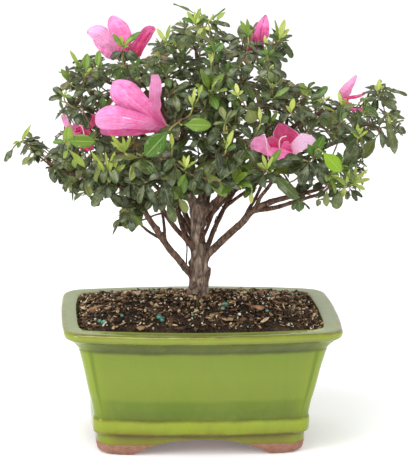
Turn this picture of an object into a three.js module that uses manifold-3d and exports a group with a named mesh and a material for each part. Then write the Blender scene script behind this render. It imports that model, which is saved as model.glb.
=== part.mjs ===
// Satsuki azalea bonsai in a rectangular glazed pot.
// Millimetres, +Z up. The origin is the centre of the object's footprint, in the plane that the
// pot's four feet stand on; +X runs along the pot's long side and -Y is the front.
import * as THREE from 'three';
import { mergeVertices } from 'three/addons/utils/BufferGeometryUtils.js';
import Module from 'manifold-3d';

const wasm = await Module();
wasm.setup();

// ---------------------------------------------------------------- driving dimensions
const GAP = 0.35;               // clearance between neighbouring pieces
const POT_HEIGHT = 96;          // feet to the top of the rim
const RIM_HALF_LENGTH = 101.5;  // outer edge of the rim, long side
const RIM_HALF_DEPTH = 65.5;    // outer edge of the rim, short side
const RIM_BAND = 11.9;          // width of the flat top of the rim
const FLOOR_BOTTOM = 14;        // underside of the pot's floor
const FLOOR_TOP = 20.5;         // inside of the pot's floor
const FOOT_ARCH = 52;           // half width of the arch between the front feet
const FOOT_ARCH_SIDE = 22;      // half width of the arch between the feet of an end wall
const ARCH_RISE = 12.9;         // height of the arch at its middle
const DRAIN_HOLE_RADIUS = 7;
const DRAIN_HOLE_X = 38;
const SOIL_EDGE = 92;           // soil height where it meets the wall
const SOIL_CROWN = 106.4;       // soil height at the trunk
const CANOPY_HALF_LENGTH = 145.5;
const CANOPY_HALF_DEPTH = 92;
const LEAF_THICKNESS = 0.8;
const PETAL_THICKNESS = 0.8;

// ---------------------------------------------------------------- the wood: centre lines with radius
// Each row is x, y, z and the radius of the wood there. A limb starts inside the one that carries it.
const LIMBS = {
  trunk: [[-1.1, 0, 99.2, 7.9], [-1.3, 0, 108.4, 7.6], [-1.2, 0, 115.2, 7.2], [-1.1, 0, 123.6, 6.9], [-1.3, 0, 133.4, 6.3], [-1.5, 0, 142.4, 5.7], [-2.1, 0, 149.2, 5.3], [-2.6, 0, 156.7, 5], [-2.7, 0, 164.9, 5.1], [-3.3, 0, 171.6, 5], [-3.8, 0, 175.3, 4.2]],
  leader_left: [[-3.5, 0, 170.1, 3.8], [-6.4, -1, 177.8, 3.5], [-10.4, -3, 185, 3.1], [-12.3, -5, 195, 2.8], [-15.2, -8, 207.4, 2.5], [-19.1, -9, 220, 2.2], [-23.6, -10, 233.2, 2], [-28.7, -10, 246.8, 1.8], [-33.1, -9, 258.1, 1.6], [-34.5, -8, 267.9, 1.4]],
  leader_right: [[-2.5, 0, 170.1, 3.8], [0, 2, 177.8, 3.4], [2.2, 5, 188.2, 3], [4.4, 8, 200.9, 2.7], [5.6, 8, 214.2, 2.5], [4.8, 6, 229.3, 2.2], [2.1, 4, 245, 2], [-1.2, 2, 260.5, 1.8], [-4.4, 0, 275.2, 1.5], [-6.1, 0, 288.1, 1.2]],
  low_left: [[-5.3, 0, 122.1, 2.6], [-9.9, -2, 127.2, 2.5], [-15.5, -8, 135.7, 2.4], [-23.3, -14, 145.9, 2.3], [-28.8, -20, 154.9, 2.2], [-34, -26, 163.9, 2.1], [-41, -32, 175.6, 2], [-45.2, -36, 185.6, 1.9], [-52.8, -40, 194.5, 1.8], [-63.3, -43, 201.6, 1.7], [-75.8, -44, 206.1, 1.6], [-88.2, -42, 208.5, 1.5], [-100.6, -38, 209.7, 1.3], [-110.3, -34, 213.4, 1.2]],
  low_left_up: [[-27.3, -19, 153.6, 1.2], [-28, -20, 164.1, 1.1], [-29.4, -20, 173.7, 1], [-33.5, -22, 185.1, 0.9]],
  low_left_out: [[-30.9, -20, 156, 1.1], [-38.3, -24, 161.2, 1], [-44.5, -28, 167.3, 0.9], [-48.6, -30, 171.8, 0.8]],
  left_2: [[-4.9, 0, 141.7, 1.9], [-12.1, -3, 151.5, 1.8], [-18.4, -6, 159, 1.7], [-23.9, -8, 166.6, 1.6], [-29.1, -9, 175.3, 1.5], [-37.1, -9, 185.6, 1.4], [-45.7, -7, 195.4, 1.4], [-55.6, -3, 204.8, 1.3], [-66.9, 3, 214.4, 1.2], [-76.9, 8, 224.2, 1.2], [-86.9, 8, 235.9, 1.1], [-93.4, 5, 245.8, 1]],
  left_3: [[-4.8, 2, 144.2, 1.9], [-9.9, 4, 150.4, 1.8], [-13.4, 8, 157.6, 1.7], [-16.1, 14, 167.4, 1.6], [-17.7, 18, 174.7, 1.5], [-22, 28, 184.3, 1.4], [-29, 38, 196.4, 1.3], [-37.6, 46, 209.7, 1.2], [-45.7, 50, 223.9, 1.1]],
  left_4: [[-4.1, 4, 154.2, 1.9], [-8.3, 8, 160.6, 1.8], [-11.4, 13, 166.9, 1.7], [-13.8, 17, 172.7, 1.6], [-15.5, 26, 180.3, 1.5], [-16.4, 38, 192.6, 1.4], [-18.2, 48, 205.5, 1.3], [-20.4, 52, 221.3, 1.2]],
  low_right: [[1, -1, 133.7, 2.9], [5.1, -3, 139.5, 2.8], [10.4, -7, 146.2, 2.7], [18.4, -13, 156.3, 2.6], [27.5, -20, 167.4, 2.4], [35.2, -26, 178.4, 2.3], [47.3, -31, 185.5, 2], [58.6, -36, 190, 1.7], [70.7, -40, 194.2, 1.4], [82.2, -43, 198.2, 1.2]],
  low_right_fork: [[34.6, -25, 177.1, 1.8], [41.3, -29, 179.2, 1.7], [49.9, -34, 181.9, 1.6], [60.4, -40, 187, 1.4], [72.3, -45, 192.2, 1.2], [80.2, -48, 195.4, 1]],
  low_right_twig: [[27.5, -20, 167, 1.4], [32.2, -21, 177.6, 1.3], [36.2, -22, 185.1, 1.2], [40.3, -27, 197.3, 1.1]],
  low_right_up: [[35.9, -26, 178.4, 1.5], [38.8, -30, 187.8, 1.4], [42.2, -36, 195, 1.3], [47.4, -44, 205.5, 1.1]],
  right_thick: [[-1, 0, 164.9, 2.8], [3.5, -1, 171.5, 2.7], [10.7, -4, 179.3, 2.6], [16.7, -8, 187.6, 2.5], [24.7, -12, 198.9, 2.3], [34, -16, 210.7, 2.1], [44.7, -20, 222.5, 1.9], [55.9, -24, 233.4, 1.7], [67.7, -24, 242.1, 1.5], [80.6, -22, 247.4, 1.4], [93.5, -20, 250.7, 1.2], [105.3, -17, 252.3, 1.1]],
  right_2: [[-1.4, -1, 146.5, 1.3], [2.2, -3, 154.5, 1.2], [5.5, -6, 164.2, 1.2], [9.1, -10, 176.7, 1.1], [11.7, -15, 190, 1.1], [14.5, -20, 205, 1], [16.6, -24, 221.1, 1]],
  right_3: [[0.3, 1, 138.4, 2], [5, 2, 144.1, 1.9], [9.2, 6, 153.6, 1.8], [14.4, 10, 164.2, 1.7], [19.3, 14, 172.6, 1.6], [25, 18, 180.7, 1.5], [31.1, 22, 188, 1.5], [41.8, 28, 198.7, 1.4], [52.3, 32, 210.6, 1.3], [59.5, 34, 224.5, 1.2], [61.7, 32, 240.6, 1.2], [59.8, 26, 256.5, 1.1], [55.2, 16, 274.3, 1]],
  right_3_out: [[18.2, 13, 170.6, 1.4], [26.1, 13, 177, 1.3], [33.9, 12, 182.9, 1.3], [44.5, 10, 191.6, 1.2], [57.9, 8, 200.2, 1.2], [72.4, 4, 208.6, 1.1], [89.7, 0, 218.3, 1], [105.5, -4, 226.5, 0.9], [117.7, -8, 231.8, 0.8]],
  back_centre: [[-1.3, 3, 152.9, 2.2], [1.5, 12, 159.6, 2], [5.4, 26, 168.2, 1.9], [9.4, 42, 178, 1.7], [12.5, 55, 191.8, 1.5], [14.2, 62, 208.7, 1.4], [12.9, 60, 228.9, 1.3], [9.2, 48, 249.3, 1.1]],
  back_left: [[-3.3, 3, 146.9, 2], [-7.8, 14, 153.1, 1.9], [-14.8, 32, 161.4, 1.7], [-23.6, 48, 170.4, 1.6], [-35.2, 58, 180.4, 1.4], [-48.6, 63, 188.4, 1.3], [-60.6, 64, 194.3, 1.1]],
  back_right: [[-0.6, 3, 157.4, 2.1], [6, 14, 162.1, 2], [17.5, 30, 170.2, 1.8], [32.2, 46, 177.8, 1.6], [49.8, 58, 185.8, 1.4], [68.3, 63, 194.8, 1.3], [85.9, 60, 203.2, 1.1]],
  front_left: [[-11.9, -5, 193.5, 1.9], [-17.4, -20, 204.3, 1.7], [-24.3, -38, 215.5, 1.5], [-30.3, -54, 224, 1.2]],
  front_right: [[3.3, 6, 193.9, 1.9], [6.2, -10, 202, 1.7], [10.1, -28, 213.3, 1.5], [13.9, -46, 224.4, 1.3], [15.3, -58, 233.3, 1.1]],
  upper_front: [[-18.3, -9, 217.8, 1.7], [-17.2, -22, 229.2, 1.5], [-14.9, -36, 242.1, 1.3], [-11.8, -48, 252.9, 1.1]],
  upper_left: [[-27.3, -10, 242.5, 1.6], [-36, -12, 250.8, 1.4], [-47.4, -14, 258.9, 1.3], [-61.5, -15, 264.7, 1.2], [-74.1, -14, 269.4, 1]],
  top_left: [[-32.3, -9, 256.7, 1.5], [-38.2, -12, 265.7, 1.3], [-44.9, -17, 273, 1.2], [-50, -21, 277.8, 1]],
  upper_right: [[4, 6, 232.9, 1.7], [12.4, 6, 243.9, 1.5], [22.2, 6, 255.6, 1.4], [30.3, 4, 267.5, 1.2], [34.8, 2, 279.4, 1]],
  upper_front_right: [[2.9, 4, 241.4, 1.6], [9.2, -12, 251.7, 1.4], [17.5, -28, 259.7, 1.2], [25.8, -42, 265.8, 1]],
  upper_right_out: [[56.6, -24, 234.1, 1.4], [57, -24, 244.2, 1.2], [57, -22, 253.8, 1.1], [55.8, -18, 263, 1]],
  far_right: [[93.5, -20, 250.7, 1.1], [105.1, -19, 250.5, 1], [117.1, -16, 248.6, 0.9]],
  flower_twig_front: [[-23.6, -10, 233.2, 1.3], [-25.5, -24, 235.7, 1.2], [-27.5, -38, 238.5, 1.1], [-29.1, -48, 241.3, 1]],
  flower_twig_right: [[47.4, -44, 205.5, 1.1], [49.7, -47, 211.2, 1]],
  flower_twig_bud: [[34.5, 2, 278, 1], [34.7, -1, 285.6, 0.9]],
  flower_twig_far_right: [[85, -21, 248, 1.1], [87, -24, 248.9, 1], [88.4, -26.5, 249.8, 0.9]],
  flower_twig_side: [[-76.9, 8, 224.2, 1.1], [-80, -8, 223.2, 1], [-82.5, -24, 225.2, 0.95], [-83.3, -34, 227.3, 0.9]],
};

// Where each leafy shoot spreads out.
const SHOOTS = [
  ['foliage_far_left', [-124.8, -31, 220.9]],
  ['foliage_left_tip', [-103.4, -38, 218.2]],
  ['foliage_left_low', [-84.8, -46, 199.5]],
  ['foliage_left_front', [-66.8, -62, 218.7]],
  ['foliage_left_inner_low', [-52.3, -32, 178.2]],
  ['foliage_left_outer_high', [-97.6, 4, 256.8]],
  ['foliage_left_high', [-79.7, -15, 275.9]],
  ['foliage_left_middle', [-92.9, -26, 229.8]],
  ['foliage_inner_front_left', [-40.5, -55, 212.2]],
  ['foliage_top_left', [-51.6, -8, 290.5]],
  ['foliage_upper_left', [-31, 8, 278]],
  ['foliage_centre_front', [-14.9, -62, 218.8]],
  ['foliage_centre_front_high', [-13.5, -52, 256.4]],
  ['foliage_crown', [-6.3, 0, 302.3]],
  ['foliage_crown_right', [19.5, 0, 286.8]],
  ['foliage_top_right', [46.5, 10, 278.2]],
  ['foliage_top_right_outer', [58.1, -14, 273]],
  ['foliage_right_front_high', [27.9, -48, 267]],
  ['foliage_right_front', [17.6, -62, 239.8]],
  ['foliage_inner_front_right', [24.4, -30, 199.4]],
  ['foliage_right_high', [76.4, -24, 257.1]],
  ['foliage_far_right_high', [124.8, -12, 252.2]],
  ['foliage_far_right', [122.5, -14, 229.4]],
  ['foliage_right_low_inner', [48, -56, 206.9]],
  ['foliage_right_low_middle', [71.8, -46, 201]],
  ['foliage_right_low_tip', [97.2, -46, 200.3]],
  ['foliage_right_middle', [89, -26, 233.2]],
  ['foliage_back_centre', [7.3, 66, 194]],
  ['foliage_back_high', [9.8, 48, 258.2]],
  ['foliage_back_right', [82.5, 64, 206.2]],
  ['foliage_back_left', [-41.7, 66, 190.1]],
  ['foliage_back_left_high', [-36.9, 52, 236.3]],
];

// Each flower: the foot of its tube, the way it faces, its size and how far it is open.
const FLOWERS = [
  { name: 'flower_top_left', base: [-55.3, -30, 287], axis: [-0.1, -0.3, 0.95], size: 0.86, open: 0.85, turn: 0.31 },
  { name: 'flower_front_left', base: [-31.2, -54, 243.5], axis: [-0.93, -0.1, 0.34], size: 1.1, open: 0.74, turn: 0.62 },
  { name: 'flower_right', base: [53.7, -52, 220.2], axis: [-0.05, -0.78, 0.62], size: 0.95, open: 1, turn: 0.23 },
  { name: 'flower_top_bud', base: [35.9, -4, 294.7], axis: [0.34, -0.1, 0.94], size: 0.62, open: 0.1, turn: 0.4 },
  { name: 'flower_far_right', base: [95.1, -32, 255.8], axis: [0.34, -0.45, 0.82], size: 0.58, open: 0.62, turn: 0.9 },
  { name: 'flower_left_side', base: [-85.6, -44, 230.8], axis: [-0.55, -0.5, 0.67], size: 0.74, open: 0.8, turn: 0.15 },
];

// ---------------------------------------------------------------- small helpers
function randomSource(seed) {
  let a = seed >>> 0;
  return () => {
    a = (a + 0x6d2b79f5) >>> 0;
    let t = a;
    t = Math.imul(t ^ (t >>> 15), t | 1);
    t ^= t + Math.imul(t ^ (t >>> 7), t | 61);
    return ((t ^ (t >>> 14)) >>> 0) / 4294967296;
  };
}
const V = (x, y, z) => new THREE.Vector3(x, y, z);
const lerp = THREE.MathUtils.lerp;

// A closed three.js geometry becomes a solid.
function solid(geometry, matrix) {
  const g = geometry.clone();
  g.deleteAttribute('normal');
  g.deleteAttribute('uv');
  if (matrix) g.applyMatrix4(matrix);
  const m = mergeVertices(g, 1e-4);
  const index = m.index.array;
  const p = m.attributes.position.array;
  let volume = 0;
  for (let i = 0; i < index.length; i += 3) {
    const [a, b, c] = [index[i] * 3, index[i + 1] * 3, index[i + 2] * 3];
    volume += p[a] * (p[b + 1] * p[c + 2] - p[b + 2] * p[c + 1])
      + p[a + 1] * (p[b + 2] * p[c] - p[b] * p[c + 2])
      + p[a + 2] * (p[b] * p[c + 1] - p[b + 1] * p[c]);
  }
  const tri = [];
  for (let i = 0; i < index.length; i += 3) {
    const [a, b, c] = [index[i], index[i + 1], index[i + 2]];
    if (a === b || b === c || a === c) continue;
    if (volume < 0) tri.push(a, c, b); else tri.push(a, b, c);
  }
  return new wasm.Manifold(new wasm.Mesh({
    numProp: 3, vertProperties: new Float32Array(p), triVerts: new Uint32Array(tri),
  }));
}

function meshOf(name, body, color, roughness, metalness = 0) {
  const m = body.getMesh();
  const g = new THREE.BufferGeometry();
  g.setAttribute('position', new THREE.BufferAttribute(new Float32Array(m.vertProperties), 3));
  g.setIndex(new THREE.BufferAttribute(new Uint32Array(m.triVerts), 1));
  g.computeVertexNormals();
  const mesh = new THREE.Mesh(g, new THREE.MeshStandardMaterial({ color, roughness, metalness }));
  mesh.name = name;
  return mesh;
}

// Rings of equal length, joined in order. Ends are closed with a fan, or the last ring meets the first.
function loft(rings, { ring = false } = {}) {
  const n = rings[0].length;
  const position = [];
  for (const r of rings) for (const q of r) position.push(q.x, q.y, q.z);
  const index = [];
  const last = ring ? rings.length : rings.length - 1;
  for (let k = 0; k < last; k++) {
    const a = k * n;
    const b = ((k + 1) % rings.length) * n;
    for (let i = 0; i < n; i++) {
      const j = (i + 1) % n;
      index.push(a + i, a + j, b + j, a + i, b + j, b + i);
    }
  }
  if (!ring) {
    for (const [k, flip] of [[0, true], [rings.length - 1, false]]) {
      const c = rings[k].reduce((s, q) => s.add(q), V(0, 0, 0)).divideScalar(n);
      const ci = position.length / 3;
      position.push(c.x, c.y, c.z);
      for (let i = 0; i < n; i++) {
        const j = (i + 1) % n;
        if (flip) index.push(k * n + j, k * n + i, ci); else index.push(k * n + i, k * n + j, ci);
      }
    }
  }
  const g = new THREE.BufferGeometry();
  g.setAttribute('position', new THREE.Float32BufferAttribute(position, 3));
  g.setIndex(index);
  return g;
}

// Stations along a smooth line through the given points, each with its place, radius and frame.
function stations(points, steps) {
  const curve = new THREE.CatmullRomCurve3(points.map((p) => V(p[0], p[1], p[2])), false, 'centripetal');
  const frames = curve.computeFrenetFrames(steps, false);
  const list = [];
  for (let k = 0; k <= steps; k++) {
    const u = k / steps;
    const t = curve.getUtoTmapping(u, 0) * (points.length - 1);
    const i = Math.min(Math.floor(t), points.length - 2);
    list.push({ c: curve.getPointAt(u), r: lerp(points[i][3], points[i + 1][3], t - i), n: frames.normals[k], b: frames.binormals[k] });
  }
  return list;
}

// A tapering round limb; grow swells it, for the hollow that it leaves in the soil.
function limb(points, sides, steps, grow = 0) {
  return loft(stations(points, steps).map(({ c, r, n, b }) => {
    const ring = [];
    for (let s = 0; s < sides; s++) {
      const a = (s / sides) * Math.PI * 2;
      ring.push(c.clone().addScaledVector(n, (r + grow) * Math.cos(a)).addScaledVector(b, (r + grow) * Math.sin(a)));
    }
    return ring;
  }));
}
const limbSteps = (points) => Math.max(2, Math.round((points.length - 1) * 0.5));

// ---------------------------------------------------------------- the pot
// A rectangle with round corners and gently bowed sides, always with the same number of points.
function outline(z, halfLength, halfDepth, radius, bowLong, bowShort, arc = 3, long = 5, short = 3) {
  const a = halfLength - bowShort;
  const b = halfDepth - bowLong;
  const r = Math.max(radius, 0.5);
  const flat = [];
  const corners = [[a - r, b - r, 0], [-(a - r), b - r, 90], [-(a - r), -(b - r), 180], [a - r, -(b - r), 270]];
  corners.forEach(([cx, cy, start], k) => {
    for (let i = 0; i <= arc; i++) {
      const t = THREE.MathUtils.degToRad(start + (90 * i) / arc);
      flat.push([cx + r * Math.cos(t), cy + r * Math.sin(t)]);
    }
    const [nx, ny, ns] = corners[(k + 1) % 4];
    const e = flat[flat.length - 1];
    const t0 = THREE.MathUtils.degToRad(ns);
    const f = [nx + r * Math.cos(t0), ny + r * Math.sin(t0)];
    const n = k % 2 === 0 ? long : short;
    for (let i = 1; i <= n; i++) flat.push([lerp(e[0], f[0], i / (n + 1)), lerp(e[1], f[1], i / (n + 1))]);
  });
  return flat.map(([x, y]) => V(
    x + Math.sign(x) * bowShort * (1 - Math.min(1, (y / b) ** 2)) * Math.min(1, Math.abs(x) / a),
    y + Math.sign(y) * bowLong * (1 - Math.min(1, (x / a) ** 2)) * Math.min(1, Math.abs(y) / b),
    z,
  ));
}

const wallLength = (z) => lerp(73.5, 86, (z - FLOOR_TOP) / (86 - FLOOR_TOP));
const wallDepth = (z) => lerp(42, 51.6, (z - FLOOR_TOP) / (86 - FLOOR_TOP));

function makePot() {
  const rimL = RIM_HALF_LENGTH;
  const rimD = RIM_HALF_DEPTH;
  const outside = loft([
    outline(FLOOR_BOTTOM, 76.7, 46.4, 9, 4.6, 1.8),
    outline(16.6, 77.0, 46.7, 8.6, 4.8, 1.8),
    outline(18.2, 79.5, 48.6, 8, 5.0, 1.8),
    outline(27.4, 79.9, 49.0, 7.4, 5.2, 2.0),
    outline(28.4, 79.0, 48.0, 7, 5.4, 2.0),
    outline(44.6, 82.2, 50.8, 7, 6.1, 2.2),
    outline(81.4, 91.0, 57.3, 7.6, 7.6, 2.8),
    outline(85.4, 94.1, 59.6, 8.4, 7.9, 2.8),
    outline(89.3, 98.7, 63.3, 9.8, 8.5, 2.9),
    outline(91.0, 101.0, 65.1, 10.6, 8.8, 3.0),
    outline(94.4, rimL, rimD, 10.8, 9.0, 3.1),
    outline(POT_HEIGHT, rimL - 2.8, rimD - 2.7, 9.4, 8.8, 3.0),
  ]);
  const inside = loft([
    outline(FLOOR_TOP, wallLength(FLOOR_TOP), wallDepth(FLOOR_TOP), 7, 3.4, 1.4),
    outline(86, 86, 51.6, 8, 6.6, 2.2),
    outline(94.4, rimL - RIM_BAND, rimD - RIM_BAND, 8, 7.6, 2.6),
    outline(95.7, rimL - RIM_BAND + 0.9, rimD - RIM_BAND + 0.9, 8.4, 7.8, 2.6),
    outline(POT_HEIGHT + 0.4, rimL - 3.4, rimD - 3.3, 9.2, 8.6, 3.0),
    outline(POT_HEIGHT + 4, rimL - 3.4, rimD - 3.3, 9.2, 8.6, 3.0),
  ]);
  const apron = loft([
    outline(0, 74.6, 44.6, 11, 4.5, 1.7),
    outline(3, 76.2, 46.0, 9.4, 4.6, 1.8),
    outline(FLOOR_BOTTOM + 0.6, 76.6, 46.3, 9, 4.6, 1.8),
  ]);
  const underside = loft([
    outline(-2, 64, 34, 6, 3.6, 1.4),
    outline(FLOOR_BOTTOM, 64, 34, 6, 3.6, 1.4),
  ]);
  const arch = (half, rise) => {
    const s = new THREE.Shape();
    s.moveTo(-half - 1.5, -3);
    s.lineTo(half + 1.5, -3);
    for (const u of [1, 0.86, 0.7, 0.52, 0.3, 0, -0.3, -0.52, -0.7, -0.86, -1]) {
      s.lineTo(half * u, rise * (1 - Math.abs(u) ** 2.2));
    }
    s.closePath();
    return s;
  };
  const through = new THREE.ExtrudeGeometry(arch(FOOT_ARCH, ARCH_RISE), { depth: 140, bevelEnabled: false, steps: 1 });
  const frontArch = solid(through, new THREE.Matrix4().makeRotationX(Math.PI / 2)
    .premultiply(new THREE.Matrix4().makeTranslation(0, 70, 0)));
  const across = new THREE.ExtrudeGeometry(arch(FOOT_ARCH_SIDE, ARCH_RISE - 0.7), { depth: 200, bevelEnabled: false, steps: 1 });
  const turn = new THREE.Matrix4().makeRotationZ(Math.PI / 2).multiply(new THREE.Matrix4().makeRotationX(Math.PI / 2));
  const sideArch = solid(across, turn.premultiply(new THREE.Matrix4().makeTranslation(-100, 0, 0)));
  let pot = solid(outside).subtract(solid(inside));
  const feet = solid(apron).subtract(solid(underside)).subtract(frontArch).subtract(sideArch);
  pot = pot.add(feet);
  for (const side of [-1, 1]) {
    const hole = new THREE.CylinderGeometry(DRAIN_HOLE_RADIUS, DRAIN_HOLE_RADIUS, 30, 16);
    pot = pot.subtract(solid(hole, new THREE.Matrix4().makeRotationX(Math.PI / 2)
      .premultiply(new THREE.Matrix4().makeTranslation(side * DRAIN_HOLE_X, 0, FLOOR_TOP))));
  }
  return pot;
}

// A square of plastic mesh that lies over a drain hole and keeps the soil in.
const MESH_HALF = 13;
const MESH_THICKNESS = 1.0;
function drainMesh(x) {
  const place = (w, d, h, px, py) => solid(new THREE.BoxGeometry(w, d, h),
    new THREE.Matrix4().makeTranslation(x + px, py, FLOOR_TOP + GAP + MESH_THICKNESS / 2));
  let plate = place(2 * MESH_HALF, 2 * MESH_HALF, MESH_THICKNESS, 0, 0);
  for (let i = -1; i <= 1; i++) {
    for (let j = -1; j <= 1; j++) plate = plate.subtract(place(5.6, 5.6, 4, i * 8, j * 8));
  }
  return plate;
}

// ---------------------------------------------------------------- the wood
const ROOTS = [
  [[-1.5, 0, 106, 4.4], [8, 3, 101, 3.4], [22, 8, 93, 2.2], [38, 12, 80, 1.2]],
  [[-1.5, 0, 106, 4.4], [3, 9, 100, 3.2], [7, 22, 90, 2.0], [9, 33, 76, 1.2]],
  [[-1.5, 0, 106, 4.4], [-11, 4, 101, 3.4], [-25, 9, 92, 2.2], [-42, 12, 78, 1.2]],
  [[-1.5, 0, 106, 4.4], [-8, -8, 100, 3.2], [-18, -20, 88, 2.0], [-26, -27, 72, 1.2]],
  [[-1.5, 0, 106, 4.4], [6, -8, 100, 3.0], [15, -19, 89, 2.0], [23, -27, 74, 1.2]],
];
const STOCK = [[-1.2, 0, 84, 5.6], [-1.4, 0, 96, 7.2], ...LIMBS.trunk.slice(1)];

function buried(grow) {
  const parts = [solid(limb(STOCK.slice(0, 6), 8, 4, grow))];
  for (const r of ROOTS) parts.push(solid(limb(r, 5, 3, grow)));
  return wasm.Manifold.union(parts);
}

function makeWood() {
  const parts = [solid(limb(STOCK, 8, 10))];
  for (const r of ROOTS) parts.push(solid(limb(r, 5, 3)));
  for (const [name, points] of Object.entries(LIMBS)) {
    if (name === 'trunk') continue;
    const thick = points[0][3];
    const sides = thick >= 2.4 ? 6 : thick >= 2.0 ? 5 : 4;
    parts.push(solid(limb(points, sides, limbSteps(points))));
  }
  return wasm.Manifold.union(parts);
}

// ---------------------------------------------------------------- the soil
function soilHeight(x, y) {
  const a = Math.min(1, Math.abs(x) / 88.5);
  const b = Math.min(1, Math.abs(y - 2) / 56);
  const swell = (1 - a ** 2.8) * (1 - b ** 3);
  const rough = 0.5 * Math.sin(x * 0.31 + 1.3) * Math.cos(y * 0.37) + 0.35 * Math.sin(x * 0.77 + y * 0.61);
  return SOIL_EDGE + (SOIL_CROWN - SOIL_EDGE) * swell + rough * 0.8;
}

const BARK_CHIPS = [
  ['bark_chip_left', -75.5, -8, 11, 6, 0.4],
  ['bark_chip_right', 39, -27, 10, 6.5, -0.5],
  ['bark_chip_back', 45, 15, 9, 5, 0.9],
];
const PELLETS = [
  ['fertiliser_pellet_left', -71, -40, 2.0],
  ['fertiliser_pellet_middle', -32, -40, 2.0],
  ['fertiliser_pellet_right', 16.5, -24, 2.1],
];

function barkChip([, x, y, long, wide, turn], grow = 0) {
  const s = new THREE.Shape();
  const a = long / 2 + grow;
  const b = wide / 2 + grow;
  s.moveTo(-a, -b * 0.5);
  s.lineTo(-a * 0.3, -b);
  s.lineTo(a * 0.8, -b * 0.7);
  s.lineTo(a, b * 0.2);
  s.lineTo(a * 0.35, b);
  s.lineTo(-a * 0.8, b * 0.75);
  s.closePath();
  const g = new THREE.ExtrudeGeometry(s, { depth: 2.2 + 2 * grow, bevelEnabled: false, steps: 1 });
  const m = new THREE.Matrix4().makeTranslation(x, y, soilHeight(x, y) - 0.9 - grow)
    .multiply(new THREE.Matrix4().makeRotationZ(turn));
  return solid(g, m);
}

function pellet([, x, y, r], grow = 0) {
  const g = new THREE.IcosahedronGeometry(r + grow, 0);
  return solid(g, new THREE.Matrix4().makeTranslation(x, y, soilHeight(x, y) + 0.6));
}

function makeSoil() {
  const n = outline(0, 80, 50, 8, 6, 2).length;
  const g0 = GAP + 0.05;
  const side = (z) => outline(z, wallLength(z) - g0, wallDepth(z) - g0, 7.4,
    lerp(3.4, 6.6, (z - FLOOR_TOP) / 66), lerp(1.4, 2.2, (z - FLOOR_TOP) / 66));
  const rings = [side(FLOOR_TOP + GAP), side(SOIL_EDGE - 6.4)];
  const edge = outline(SOIL_EDGE, 87.4, 52.1, 7.6, 6.9, 2.3);
  const steps = [1, 0.8, 0.55, 0.28];
  for (const k of steps) {
    rings.push(edge.map((q) => V(q.x * k, q.y * k, k === 1 ? SOIL_EDGE - 0.6 : soilHeight(q.x * k, q.y * k))));
  }
  if (rings[0].length !== n) throw new Error('ring length');
  let soil = solid(loft(rings)).subtract(buried(GAP));
  for (const side2 of [-1, 1]) {
    const box = new THREE.BoxGeometry(2 * (MESH_HALF + GAP), 2 * (MESH_HALF + GAP), 2 * (MESH_THICKNESS + 2 * GAP));
    soil = soil.subtract(solid(box, new THREE.Matrix4().makeTranslation(side2 * DRAIN_HOLE_X, 0, FLOOR_TOP + GAP)));
  }
  for (const c of BARK_CHIPS) soil = soil.subtract(barkChip(c, GAP));
  for (const p of PELLETS) soil = soil.subtract(pellet(p, GAP + 0.1));
  return soil;
}

// ---------------------------------------------------------------- clearances between thin pieces
// Every round length of wood or stalk, as short straight capsules with the number of its owner.
const capsules = [];
function addCapsules(points, owner, limbName = '', steps = points.length - 1) {
  const list = stations(points, steps);
  for (let k = 1; k < list.length; k++) {
    capsules.push({ a: list[k - 1].c, b: list[k].c, r: Math.max(list[k - 1].r, list[k].r), owner, limbName });
  }
}
const line = new THREE.Line3();
const near = new THREE.Vector3();
function clearance(p, owner, except = null) {
  let best = 1e9;
  for (const c of capsules) {
    if (c.owner === owner || (except && c.limbName === except)) continue;
    line.start.copy(c.a);
    line.end.copy(c.b);
    line.closestPointToPoint(p, true, near);
    best = Math.min(best, near.distanceTo(p) - c.r);
  }
  return best;
}
function insideCell(p, own, margin) {
  const c0 = V(...SHOOTS[own][1]);
  for (let k = 0; k < SHOOTS.length; k++) {
    if (k === own) continue;
    const c = V(...SHOOTS[k][1]);
    const n = c.clone().sub(c0);
    const d = n.length();
    if (p.clone().sub(c0).dot(n) / d > d / 2 - margin) return false;
  }
  return true;
}
function inFlower(p) {
  for (const f of FLOWERS) {
    const axis = V(...f.axis).normalize();
    const d = p.clone().sub(V(...f.base));
    const h = d.dot(axis);
    const reach = 46 * f.size;
    if (h < -6 || h > reach + 2) continue;
    const radial = Math.sqrt(Math.max(0, d.lengthSq() - h * h));
    const limit = 5.5 + (f.open * 34 + 5) * f.size * Math.max(0, h / reach) ** 0.75;
    if (radial < limit) return true;
  }
  return false;
}
// The crown's outline seen from the front: x, lowest and highest z. It narrows towards the back and front.
const CROWN = [
  [-146, 206, 232], [-125, 192, 248], [-105, 180, 268], [-90, 174, 292], [-75, 168, 308], [-50, 146, 312], [-30, 160, 312],
  [-6, 172, 320], [20, 176, 310], [45, 172, 308], [62, 170, 304], [72, 168, 284], [95, 170, 276], [115, 176, 268], [130, 198, 264], [146, 208, 256],
];
function insideCanopy(p) {
  if (Math.abs(p.x) > CANOPY_HALF_LENGTH || Math.abs(p.y) > CANOPY_HALF_DEPTH) return false;
  let k = 0;
  while (k < CROWN.length - 2 && p.x > CROWN[k + 1][0]) k++;
  const t = (p.x - CROWN[k][0]) / (CROWN[k + 1][0] - CROWN[k][0]);
  const low = lerp(CROWN[k][1], CROWN[k + 1][1], t);
  const high = lerp(CROWN[k][2], CROWN[k + 1][2], t);
  const round = Math.sqrt(1 - 0.55 * (p.y / CANOPY_HALF_DEPTH) ** 2);
  const middle = lerp(low, high, 0.35);
  return p.z < middle + (high - middle) * round && p.z > low;
}

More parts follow.
